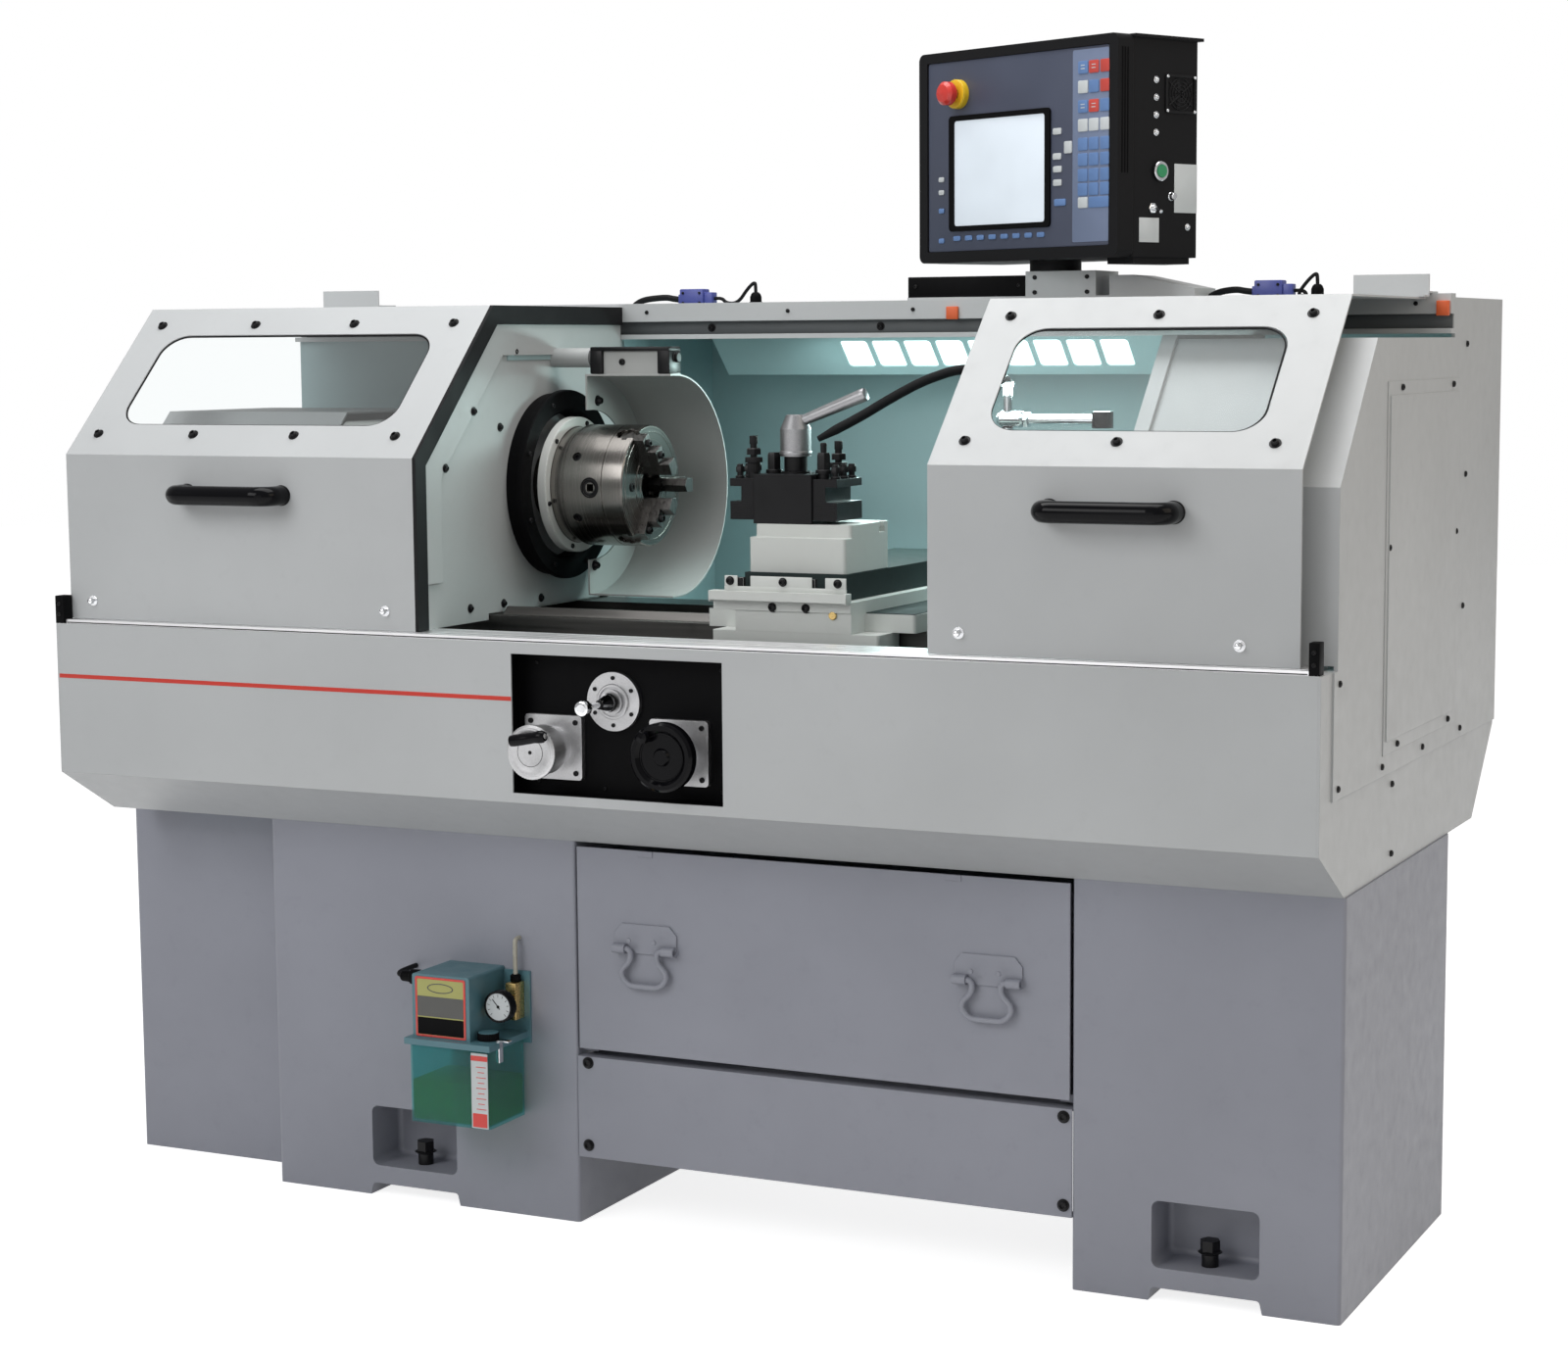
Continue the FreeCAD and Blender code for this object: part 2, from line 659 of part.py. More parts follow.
def offset_line(line, distance):
    """The points of an open line moved sideways to its left, with mitred corners."""
    moved = []
    for i, (a, b) in enumerate(line):
        normals = []
        for p, q in ((i - 1, i), (i, i + 1)):
            if p >= 0 and q < len(line):
                da = line[q][0] - line[p][0]
                db = line[q][1] - line[p][1]
                size = math.hypot(da, db)
                normals.append((-db / size, da / size))
        na = sum(n[0] for n in normals)
        nb = sum(n[1] for n in normals)
        square = na * na + nb * nb
        scale = distance * len(normals) / square
        moved.append((a + na * scale, b + nb * scale))
    return moved


def folded_sheet(line, thickness, x):
    """Sheet folded along a line of (Y, Z) points, thickened to the line's left, along X."""
    outline = list(line) + list(reversed(offset_line(line, thickness)))
    return prism_x(outline, x)


# ============================ base =========================================================

BASE_Y = (BASE_FRONT, BASE_FRONT + BASE_DEPTH)
LEFT_PEDESTAL = (LEFT_PEDESTAL_X, LEFT_PEDESTAL_X + LEFT_PEDESTAL_WIDTH)
RIGHT_PEDESTAL = (RIGHT_PEDESTAL_X, RIGHT_PEDESTAL_X + RIGHT_PEDESTAL_WIDTH)
CABINET_X = (LEFT_PEDESTAL_X - CABINET_WIDTH, LEFT_PEDESTAL_X)
CABINET_Y = (BASE_FRONT + CABINET_SETBACK, BASE_Y[1])
BOLT_Y = (BASE_Y[0] + BOLT_SETBACK, BASE_Y[1] - BOLT_SETBACK)


def bolt_x(pocket_x):
    """The levelling bolt stands a little left of the middle of its pocket."""
    return pocket_x + BOLT_OFFSET


def foot_cut(pocket_x, front):
    """A pocket for the levelling bolt, its foot notch and the bolt's hole, on one side."""
    inward = 1 if front == BASE_Y[0] else -1
    back = front + inward * POCKET_DEPTH
    depth = sorted((front, back))
    right = pocket_x + POCKET_WIDTH
    pocket = block((pocket_x, right), depth, (POCKET_LOW, POCKET_HIGH))
    pocket = round_along(pocket, V(0, 1, 0), POCKET_RADIUS)
    inner = [e for e in pocket.Edges if all(abs(v.Point.y - back) < LAP for v in e.Vertexes)]
    pocket = pocket.makeFillet(0.7 * POCKET_RADIUS, inner)
    notch = prism_y([(pocket_x - NOTCH_TAPER, -LAP), (right + NOTCH_TAPER, -LAP),
                     (right, NOTCH_HEIGHT), (pocket_x, NOTCH_HEIGHT)], depth)
    notch = round_along(notch, V(0, 1, 0), EDGE, lambda p: p.z > LAP)
    hole = rod_z(bolt_x(pocket_x), front + inward * BOLT_SETBACK, BOLT_STUD_RADIUS + GAP,
                 (0, POCKET_LOW + LAP))
    return [pocket, notch, hole]


def pedestal(x, pocket_x, runner_side):
    """A cast pedestal with levelling pockets front and back, and a ledge for the drawer."""
    body = round_along(block(x, BASE_Y, (0, BASE_HEIGHT)), V(0, 0, 1), EDGE)
    for front in BASE_Y:
        body = body.cut(group(foot_cut(pocket_x, front)))
    edge = x[1] if runner_side > 0 else x[0]
    seat = DRAWER_LOW + DRAWER_LIP
    runner = block(sorted((edge - runner_side * EDGE, edge + runner_side * RUNNER_WIDTH)),
                   (BASE_Y[0] + RUNNER_INSET, BASE_Y[1] - RUNNER_INSET), (seat - RUNNER_THICK, seat))
    return fused([body, runner])


def levelling_bolt(x, y):
    """One bolt that hangs in its hole: stud, sleeve, collar and hexagon head."""
    collar = POCKET_LOW + BOLT_SLEEVE_HEIGHT
    top = collar + BOLT_COLLAR_THICK
    shaft = turned_z([
        (BOLT_STUD_FOOT, 0), (BOLT_STUD_FOOT, BOLT_STUD_RADIUS), (POCKET_LOW, BOLT_STUD_RADIUS),
        (POCKET_LOW, BOLT_SLEEVE_RADIUS), (collar, BOLT_SLEEVE_RADIUS),
        ((collar + top) / 2, BOLT_COLLAR_RADIUS), (top, BOLT_SLEEVE_RADIUS), (top, 0)], x, y)
    head = hexagon_z(x, y, BOLT_HEAD_FLATS, (collar + BOLT_COLLAR_THICK / 2, top + BOLT_HEAD_HEIGHT))
    return fused([shaft, head])


def make_leveling_bolts():
    bolts = []
    for pocket_x in (LEFT_POCKET_X, RIGHT_POCKET_X):
        for y in BOLT_Y:
            bolts.append(levelling_bolt(bolt_x(pocket_x), y))
    return group(bolts)


def make_motor_cabinet():
    """A sheet cabinet for the motor, open above where the belt leaves."""
    outer = block(CABINET_X, CABINET_Y, (0, BASE_HEIGHT))
    outer = round_along(outer, V(0, 0, 1), EDGE)
    wall = CABINET_SHEET
    inner = block((CABINET_X[0] + wall, CABINET_X[1] - wall),
                  (CABINET_Y[0] + wall, CABINET_Y[1] - wall), (wall, BASE_HEIGHT - wall))
    slot = block((PULLEY_X[0] - 2 * wall, PULLEY_X[1] + 2 * wall),
                 (SPINDLE_Y - BELT_SLOT_HALF, SPINDLE_Y + BELT_SLOT_HALF),
                 (BASE_HEIGHT - 2 * wall, BASE_HEIGHT + LAP))
    return outer.cut(group([inner, slot]))


def make_lower_panel():
    """A bolted panel that closes the space below the drawer."""
    x = (LEFT_PEDESTAL[1], RIGHT_PEDESTAL[0])
    top = PANEL_HIGH - PANEL_TOP_GAP
    line = [(BASE_FRONT + PANEL_FLANGE, PANEL_LOW), (BASE_FRONT, PANEL_LOW),
            (BASE_FRONT, top), (BASE_FRONT + PANEL_FLANGE, top)]
    return folded_sheet(line, -SHEET, x)


# ============================ drawer =======================================================

DRAWER_X = (LEFT_PEDESTAL[1] + DRAWER_SIDE_GAP, RIGHT_PEDESTAL[0] - DRAWER_SIDE_GAP)
DRAWER_SEAT = DRAWER_LOW + DRAWER_LIP + GAP
BAIL_X = (DRAWER_X[0] + BAIL_INSET[0], DRAWER_X[1] - BAIL_INSET[1])


def bail_plate(x):
    """The pressed plate that carries one drop handle, with its two pivot ears."""
    half = BAIL_PLATE_WIDTH / 2
    foot = BAIL_PIVOT_Z - BAIL_EAR_RADIUS
    top = foot + BAIL_PLATE_HEIGHT
    across, down = BAIL_PLATE_BEVEL
    plate = prism_y([(x - half, foot), (x + half, foot), (x + half, top - down),
                     (x + half - across, top), (x - half + across, top), (x - half, top - down)],
                    (BASE_FRONT - SHEET, BASE_FRONT))
    ears = []
    axis_y = bail_axis_y()
    for side in (-1, 1):
        inner = x + side * (half - BAIL_EAR_WIDTH)
        outer = x + side * half
        ear = rod_x(axis_y, BAIL_PIVOT_Z, BAIL_EAR_RADIUS, sorted((inner, outer)))
        seat = block(sorted((inner, outer)), (axis_y, BASE_FRONT - LAP),
                     (BAIL_PIVOT_Z - BAIL_EAR_RADIUS, BAIL_PIVOT_Z + BAIL_EAR_RADIUS))
        ears.append(fused([ear, seat]))
    bore = rod_x(axis_y, BAIL_PIVOT_Z, BAIL_ROD + RUNNING, (x - half - LAP, x + half + LAP))
    return fused([plate] + ears).cut(bore)


def bail_axis_y():
    """The handle's pivot stands clear of its plate."""
    return BASE_FRONT - SHEET - BAIL_EAR_RADIUS + LAP


def make_chip_drawer():
    """A sheet drawer that catches chips and coolant, with its front and handle plates."""
    front = block(DRAWER_X, (BASE_FRONT, BASE_FRONT + DRAWER_FRONT_THICK),
                  (DRAWER_LOW, DRAWER_HIGH))
    tub_x = (DRAWER_X[0] + DRAWER_TUB_INSET, DRAWER_X[1] - DRAWER_TUB_INSET)
    tub_y = (BASE_FRONT, BASE_FRONT + DRAWER_TUB_DEPTH)
    tub = block(tub_x, tub_y, (DRAWER_SEAT, DRAWER_HIGH - DRAWER_TUB_DROP))
    inside = block((tub_x[0] + SHEET, tub_x[1] - SHEET),
                   (tub_y[0] + DRAWER_FRONT_THICK, tub_y[1] - SHEET),
                   (DRAWER_SEAT + SHEET, DRAWER_HIGH))
    tabs = []
    width, height, thick = DRAWER_TAB_SIZE
    for offset in DRAWER_TAB_X:
        x = DRAWER_X[0] + offset
        tabs.append(block((x, x + width), (BASE_FRONT - thick, BASE_FRONT + LAP),
                          (DRAWER_HIGH - height, DRAWER_HIGH)))
    plates = [bail_plate(x) for x in BAIL_X]
    return fused([front, tub.cut(inside)] + tabs + plates)


def make_bail(x):
    """A drop handle: one round rod bent to a U, with a short pin in each ear."""
    axis_y = bail_axis_y()
    neck = BAIL_PLATE_WIDTH / 2 - BAIL_EAR_WIDTH - 2 * BAIL_ROD
    reach = BAIL_PLATE_WIDTH / 2 - BAIL_PIN_INSET
    spread = BAIL_WIDTH / 2
    foot = BAIL_PIVOT_Z - BAIL_DROP
    shoulder = BAIL_PIVOT_Z - BAIL_NECK_SHARE * BAIL_DROP
    corner = foot + BAIL_CORNER_RISE * BAIL_DROP
    half = [(reach, BAIL_PIVOT_Z), (neck, BAIL_PIVOT_Z), (neck, shoulder), (spread, corner),
            (spread - BAIL_CORNER_RUN * BAIL_DROP, foot)]
    path = [V(x - across, axis_y, z) for across, z in half]
    path += [V(x + across, axis_y, z) for across, z in reversed(half)]
    return swept_tube(path, BAIL_ROD)


def bar_along(path, radius):
    """Round bar along a line of points, with a ball at each end and corner."""
    pieces = [Part.makeSphere(radius, path[0])]
    for a, b in zip(path[:-1], path[1:]):
        run = b - a
        pieces.append(Part.makeCylinder(radius, run.Length, a, run))
        pieces.append(Part.makeSphere(radius, b))
    return pieces


# ============================ apron, rails and covers ======================================

APRON_X = (LEFT_END + SHEET, RIGHT_END - 2 * SHEET)


def make_fascia():
    """The folded front apron, with its opening for the handwheels."""
    line = [(APRON_LEDGE, APRON_TOP), (0, APRON_TOP), (0, APRON_FOLD),
            (BASE_FRONT, BASE_HEIGHT), (BASE_FRONT + APRON_FOOT, BASE_HEIGHT)]
    sheet = folded_sheet(line, SHEET, APRON_X)
    return sheet.cut(block(RECESS_X, (-LAP, SHEET + LAP), RECESS_Z))


def make_recess_panel():
    """The open-fronted box behind the opening, which carries the handwheels."""
    x = (RECESS_X[0] - RECESS_MARGIN, RECESS_X[1] + RECESS_MARGIN)
    z = (RECESS_Z[0] - SHEET - LAP, RECESS_Z[1] + SHEET + LAP)
    y = (SHEET, SHEET + RECESS_DEPTH + SHEET)
    inside = block((x[0] + SHEET, x[1] - SHEET), (0, SHEET + RECESS_DEPTH),
                   (z[0] + SHEET, z[1] - SHEET))
    holes = []
    for cx, cz in (X_WHEEL, Z_WHEEL, JOG_STICK):
        holes.append(rod_y(cx, cz, WHEEL_SHAFT_RADIUS + EDGE, (0, y[1] + LAP)))
    return block(x, y, z).cut(group([inside] + holes))


def make_front_rail():
    """The lower door rail with its running grooves, and a stop block at each end."""
    x = (APRON_X[0] + RAIL_END_GAP, APRON_X[1] - RAIL_END_GAP)
    top = APRON_TOP + RAIL_HEIGHT
    rail = block(x, (RAIL_FRONT, RAIL_FRONT + RAIL_WIDTH), (APRON_TOP, top))
    grooves = []
    for share in RAIL_GROOVE_SHARES:
        y = RAIL_FRONT + share * RAIL_WIDTH
        grooves.append(block((x[0] - LAP, x[1] + LAP), (y, y + 2 * RAIL_GROOVE),
                             (top - RAIL_GROOVE, top + LAP)))
    stops = []
    for stop_x in ((LEFT_END, LEFT_END + RAIL_STOP_LENGTH[0]), (x[1], x[1] + RAIL_STOP_LENGTH[1])):
        stops.append(block(stop_x, (0, RAIL_STOP_DEPTH), (APRON_TOP, APRON_TOP + RAIL_STOP_HEIGHT)))
    return group([rail.cut(group(grooves))] + stops)


def make_top_rail():
    """The upper door rail: a beam with a running channel that opens to the front."""
    mouth = (TOP_RAIL_LOW + TOP_RAIL_WALL, TOP_RAIL_LOW + TOP_RAIL_WALL + TOP_RAIL_MOUTH)
    web = TOP_RAIL_BACK - TOP_RAIL_WALL
    outline = [(TOP_RAIL_FRONT, TOP_RAIL_LOW), (TOP_RAIL_BACK, TOP_RAIL_LOW),
               (TOP_RAIL_BACK, TOP_RAIL_TOP), (TOP_RAIL_FRONT, TOP_RAIL_TOP),
               (TOP_RAIL_FRONT, mouth[1]), (web, mouth[1]), (web, mouth[0]), (TOP_RAIL_FRONT, mouth[0])]
    return prism_x(outline, (LEFT_END + SHEET, RIGHT_END))


def make_rear_enclosure():
    """The folded rear splash with its tray, left wall and the panel behind the headstock."""
    right = RIGHT_END - 2 * SHEET
    wall_x = (BULKHEAD_FACE + LAP, BULKHEAD_FACE + LAP + SHEET)
    line = [(BASE_FRONT + APRON_FOOT, BASE_HEIGHT), (REAR_FOOT, BASE_HEIGHT),
            (REAR_BACK, REAR_FOLD), (REAR_BACK, REAR_TOP), (TOP_RAIL_BACK, REAR_TOP)]
    shell = folded_sheet(line, SHEET, (wall_x[1], right))
    tray = block((BED_X[0] - SHEET, wall_x[1] + LAP),
                 (BASE_FRONT + APRON_FOOT, BACK_PANEL_Y + SHEET), (BASE_HEIGHT, BASE_HEIGHT + SHEET))
    wall = prism_x([(BACK_PANEL_Y, BASE_HEIGHT), (REAR_FOOT, BASE_HEIGHT),
                    (REAR_BACK, REAR_FOLD), (REAR_BACK, REAR_TOP), (TOP_RAIL_BACK, REAR_TOP),
                    (TOP_RAIL_BACK, TOP_RAIL_LOW), (BACK_PANEL_Y, TOP_RAIL_LOW)], wall_x)
    back = block((LEFT_END + SHEET, wall_x[1]), (BACK_PANEL_Y, BACK_PANEL_Y + SHEET),
                 (BASE_HEIGHT, TOP_RAIL_LOW))
    return fused([shell, tray, wall, back])


def end_outline(front=0.0, low=BASE_HEIGHT):
    """The outline of the machine's right end, from the side."""
    if low > APRON_FOLD:
        start = [(front, low), (front, APRON_TOP)]
        back = [(REAR_BACK, low)]
    else:
        start = [(BASE_FRONT, BASE_HEIGHT), (0, APRON_FOLD), (0, APRON_TOP)]
        back = [(REAR_BACK, REAR_FOLD), (REAR_FOOT, BASE_HEIGHT)]
    return start + [(END_FRONT, APRON_TOP), (END_FRONT, END_FOLD),
                    (END_SLANT_TOP_Y, END_SLANT_TOP), (TOP_RAIL_BACK, END_SLANT_TOP),
                    (TOP_RAIL_BACK, REAR_TOP), (REAR_BACK, REAR_TOP)] + back


def make_right_end_cover():
    """The right end plates and the fixed cover inside the right door, with its edge seal."""
    base = prism_x(end_outline(), (RIGHT_END - 2 * SHEET, RIGHT_END - SHEET))
    upper = prism_x(end_outline(END_UPPER_FRONT, END_UPPER_LOW), (RIGHT_END - SHEET, RIGHT_END))
    line = [(END_FRONT, APRON_TOP + RAIL_HEIGHT), (END_FRONT, END_FOLD),
            (END_SLANT_TOP_Y, END_SLANT_TOP), (TOP_RAIL_FRONT - LAP, END_SLANT_TOP)]
    fixed = folded_sheet(line, -SHEET, (END_COVER_LEFT, RIGHT_END - 2 * SHEET))
    seal = folded_sheet(line, 2 * SHEET, (END_COVER_LEFT, END_COVER_LEFT + END_SEAL))
    return fused([base, upper, fixed, seal])


def make_right_access_panel():
    """The screwed panel on the right end, with a raised field."""
    plate = block((RIGHT_END, RIGHT_END + ACCESS_PLATE), ACCESS_Y, ACCESS_Z)
    field = block((RIGHT_END, RIGHT_END + ACCESS_FIELD),
                  (ACCESS_Y[0] + ACCESS_RIM, ACCESS_Y[1] - ACCESS_RIM),
                  (ACCESS_Z[0] + 2 * ACCESS_RIM, ACCESS_Z[1] - 2 * ACCESS_RIM))
    return fused([plate, field])


# ============================ doors ========================================================

DOOR_LINE = [(DOOR_FRONT, DOOR_LOW), (DOOR_FRONT, DOOR_FOLD),
             (DOOR_SLANT_TOP_Y, DOOR_TOP), (DOOR_BACK, DOOR_TOP)]
SLOPE_DEG = math.degrees(math.atan2(DOOR_TOP - DOOR_FOLD, DOOR_SLANT_TOP_Y - DOOR_FRONT))


def on_slope(solid):
    """Lays a flat piece (X across, Y up the slope, Z outward) on the door's slanted face."""
    return placed(solid, V(0, DOOR_FRONT, DOOR_FOLD), V(1, 0, 0), SLOPE_DEG)


def window_plate(door_x, grow, z):
    """A round-cornered plate in the window's place, larger all round by grow."""
    plate = block((door_x[0] + WINDOW_MARGIN_LEFT - grow, door_x[1] - WINDOW_MARGIN_RIGHT + grow),
                  (WINDOW_LOW - grow, WINDOW_HIGH + grow), z)
    return round_along(plate, V(0, 0, 1), WINDOW_RADIUS)


def hanger(x):
    """The bracket that hooks the door over the upper rail."""
    hook_top = TOP_RAIL_TOP + GAP + HANGER_THICK
    foot_top = DOOR_TOP + HANGER_THICK
    front = DOOR_BACK - HANGER_SETBACK
    back = front + HANGER_THICK
    end = DOOR_BACK + HANGER_REACH
    hook = [(front - HANGER_FOOT, DOOR_TOP), (front - HANGER_FOOT, foot_top), (front, foot_top),
            (front, hook_top + HANGER_HEIGHT), (back, hook_top + HANGER_HEIGHT), (back, hook_top),
            (end, hook_top), (end, hook_top - HANGER_THICK), (back, hook_top - HANGER_THICK),
            (back, DOOR_TOP)]
    return prism_x(hook, (x, x + HANGER_WIDTH))


def door(x, hanger_x):
    """A sliding door: one folded sheet with a window opening and its roof hanger."""
    sheet = folded_sheet(DOOR_LINE, -SHEET, x)
    opening = on_slope(window_plate(x, 0.0, (-SHEET - LAP, LAP)))
    return fused([sheet.cut(opening), hanger(hanger_x)])


def door_window(x):
    """A clear pane fixed behind the sheet."""
    return on_slope(window_plate(x, PANE_BORDER, (-SHEET - PANE_THICK, -SHEET)))


def make_left_door_seal():
    """The black edge seal on the left door's leading edge, which runs up and over."""
    return folded_sheet(DOOR_LINE, -SEAL_DEPTH, (LEFT_DOOR_X[1], LEFT_DOOR_X[1] + SEAL_THICK))


def door_handle(x):
    """A bow handle: one thick bar with a bend at each end."""
    z = DOOR_FOLD - HANDLE_DROP
    grip_y = DOOR_FRONT - HANDLE_STAND_OFF
    far = x + HANDLE_LENGTH
    path = [V(x, DOOR_FRONT, z), V(x, grip_y, z), V(far, grip_y, z), V(far, DOOR_FRONT, z)]
    return swept_tube(path, HANDLE_ROD)


# ============================ headstock, spindle and drive =================================

def bulkhead_line(inset):
    """The bulkhead's edge, a set distance inside the door's faces."""
    return offset_line(DOOR_LINE, -inset)


def make_bulkhead():
    """The wall in front of the headstock, with its raised border, ring and guard pin."""
    rim = bulkhead_line(SEAL_DEPTH + GAP)
    low = APRON_TOP + RAIL_HEIGHT
    edge = TOP_RAIL_FRONT - GAP
    under_rail = TOP_RAIL_LOW - LAP
    bed = (BED_Y[0] - SHEET, BED_Y[1] + SHEET)
    outline = [(rim[0][0], low), rim[1], rim[2], (edge, rim[3][1]), (edge, under_rail),
               (BACK_PANEL_Y, under_rail), (BACK_PANEL_Y, low), (bed[1], low),
               (bed[1], BED_TOP + SHEET), (bed[0], BED_TOP + SHEET), (bed[0], low)]
    plate = prism_x(outline, (BULKHEAD_FACE - BULKHEAD_THICK, BULKHEAD_FACE))
    plate = plate.cut(rod_x(SPINDLE_Y, SPINDLE_Z, NOSE_HOLE,
                            (BULKHEAD_FACE - BULKHEAD_THICK - LAP, BULKHEAD_FACE + LAP)))
    line = [(rim[0][0], BULKHEAD_STEP), rim[1], rim[2], (edge, rim[3][1])]
    raised = (BULKHEAD_FACE, BULKHEAD_FACE + BULKHEAD_RAISE)
    border = folded_sheet(line, -BULKHEAD_BORDER, raised)
    border = border.common(block(raised, (0, edge), (0, TOP_RAIL_TOP)))
    pin_x = BULKHEAD_FACE - LAP
    pin = rod_x(GUARD_PIVOT_Y, GUARD_PIVOT_Z, GUARD_PIN_RADIUS, (pin_x, GUARD_X[1]))
    boss = rod_x(GUARD_PIVOT_Y, GUARD_PIVOT_Z, 2 * GUARD_PIN_RADIUS, (pin_x, GUARD_X[0] - 2 * LAP))
    return fused([plate, border, pin, boss, bulkhead_ring()])


def bulkhead_ring():
    """The splash ring round the chuck's back, with a lip outside and a taper inside."""
    lip = RING_FRONT - RING_LIP
    neck = RING_RADIUS - RING_UNDERCUT
    return turned_x([
        (BULKHEAD_FACE, RING_INNER), (BULKHEAD_FACE, neck), (lip, neck), (lip, RING_RADIUS),
        (RING_FRONT, RING_RADIUS - RING_BEVEL), (RING_FRONT, RING_INNER + RING_LIP),
        (lip, RING_INNER)], SPINDLE_Y, SPINDLE_Z)


def make_headstock():
    """The headstock casting, bored for the spindle and its two bearings."""
    body = block(HEADSTOCK_X, HEADSTOCK_Y, (BED_TOP, HEADSTOCK_TOP))
    body = round_along(body, V(1, 0, 0), 3 * EDGE, lambda p: p.z > SPINDLE_Z)
    bore = rod_x(SPINDLE_Y, SPINDLE_Z, SPINDLE_RADIUS + HEADSTOCK_BORE_GAP,
                 (HEADSTOCK_X[0] - LAP, HEADSTOCK_X[1] + LAP))
    seats = []
    for x in bearing_spans():
        seats.append(rod_x(SPINDLE_Y, SPINDLE_Z, BEARING_RADIUS, x))
    return body.cut(group([bore.multiFuse(seats)]))


def bearing_spans():
    """Where the two spindle bearings sit, flush with the casting's ends."""
    return ((HEADSTOCK_X[0], HEADSTOCK_X[0] + BEARING_WIDTH),
            (HEADSTOCK_X[1] - BEARING_WIDTH, HEADSTOCK_X[1]))


def make_spindle_bearings():
    """The two bearing rings, with running clearance round the spindle."""
    rings = []
    for x in bearing_spans():
        ring = turned_x([(x[0], SPINDLE_RADIUS + RUNNING), (x[0], BEARING_RADIUS),
                         (x[1], BEARING_RADIUS), (x[1], SPINDLE_RADIUS + RUNNING)],
                        SPINDLE_Y, SPINDLE_Z)
        rings.append(ring)
    return group(rings)


def pulley_profile(outer, inner):
    """A vee-belt pulley's section: (X, radius) points with its grooves."""
    points = [(PULLEY_X[0], inner), (PULLEY_X[0], outer)]
    pitch = (PULLEY_X[1] - PULLEY_X[0]) / PULLEY_GROOVES
    root = outer - PULLEY_GROOVE_DEPTH
    for i in range(PULLEY_GROOVES):
        left = PULLEY_X[0] + i * pitch
        right = left + pitch
        points += [(left + PULLEY_LAND, outer), (left + 2 * PULLEY_LAND, root),
                   (right - 2 * PULLEY_LAND, root), (right - PULLEY_LAND, outer)]
    return points + [(PULLEY_X[1], outer), (PULLEY_X[1], inner)]


def make_spindle():
    """The bored spindle with its flange for the chuck, and the pulley on its left end."""
    shaft = turned_x([
        (SPINDLE_LEFT, SPINDLE_BORE), (SPINDLE_LEFT, SPINDLE_RADIUS),
        (HEADSTOCK_X[1] + GAP, SPINDLE_RADIUS), (HEADSTOCK_X[1] + GAP, NOSE_RADIUS),
        (FLANGE_BACK, NOSE_RADIUS), (FLANGE_BACK, FLANGE_RADIUS),
        (CHUCK_BACK, FLANGE_RADIUS), (CHUCK_BACK, SPINDLE_BORE)], SPINDLE_Y, SPINDLE_Z)
    pulley = turned_x(pulley_profile(SPINDLE_PULLEY_RADIUS, SPINDLE_RADIUS),
                      SPINDLE_Y, SPINDLE_Z)
    return group([shaft, pulley])


def make_motor_pulley():
    """The motor's shaft with its vee-belt pulley."""
    shaft_end = MOTOR_X[0] + MOTOR_SHAFT_SEAT
    shaft = [(shaft_end, 0), (shaft_end, MOTOR_SHAFT), (PULLEY_X[1], MOTOR_SHAFT)]
    rim = list(reversed(pulley_profile(MOTOR_PULLEY_RADIUS, 0)))[1:]
    return turned_x(shaft + rim, SPINDLE_Y, MOTOR_Z)


def make_spindle_motor():
    """The foot-mounted motor inside its cabinet, with cooling ribs and a terminal box."""
    left, right = MOTOR_X
    bore = MOTOR_SHAFT + RUNNING
    seat = left + MOTOR_SHAFT_SEAT + 2 * LAP
    profile = [(left, bore), (left, MOTOR_RADIUS)]
    ribs = int((right - left - 2 * MOTOR_RIB_END) / (2 * MOTOR_RIB))
    for i in range(ribs):
        x = left + MOTOR_RIB_END + i * 2 * MOTOR_RIB
        profile += [(x, MOTOR_RADIUS), (x, MOTOR_RADIUS - MOTOR_RIB_DEPTH),
                    (x + MOTOR_RIB, MOTOR_RADIUS - MOTOR_RIB_DEPTH), (x + MOTOR_RIB, MOTOR_RADIUS)]
    profile += [(right, MOTOR_RADIUS - MOTOR_RIB_DEPTH), (right, 0), (seat, 0), (seat, bore)]
    body = turned_x(profile, SPINDLE_Y, MOTOR_Z)
    rise = MOTOR_Z - MOTOR_STAND_RISE
    stand = prism_x([(SPINDLE_Y - MOTOR_STAND_FOOT, CABINET_SHEET),
                     (SPINDLE_Y + MOTOR_STAND_FOOT, CABINET_SHEET),
                     (SPINDLE_Y + MOTOR_STAND_TOP, rise), (SPINDLE_Y - MOTOR_STAND_TOP, rise)],
                    (left + 2 * MOTOR_RIB_END, right - MOTOR_RIB_END))
    box_left = left + 2 * MOTOR_RIB_END
    top = MOTOR_Z + MOTOR_RADIUS
    terminals = block((box_left, box_left + TERMINAL_BOX),
                      (SPINDLE_Y - TERMINAL_BOX / 2, SPINDLE_Y + TERMINAL_BOX / 2),
                      (top - 2 * MOTOR_RIB_DEPTH, top + TERMINAL_RISE))
    return fused([body, stand, terminals])


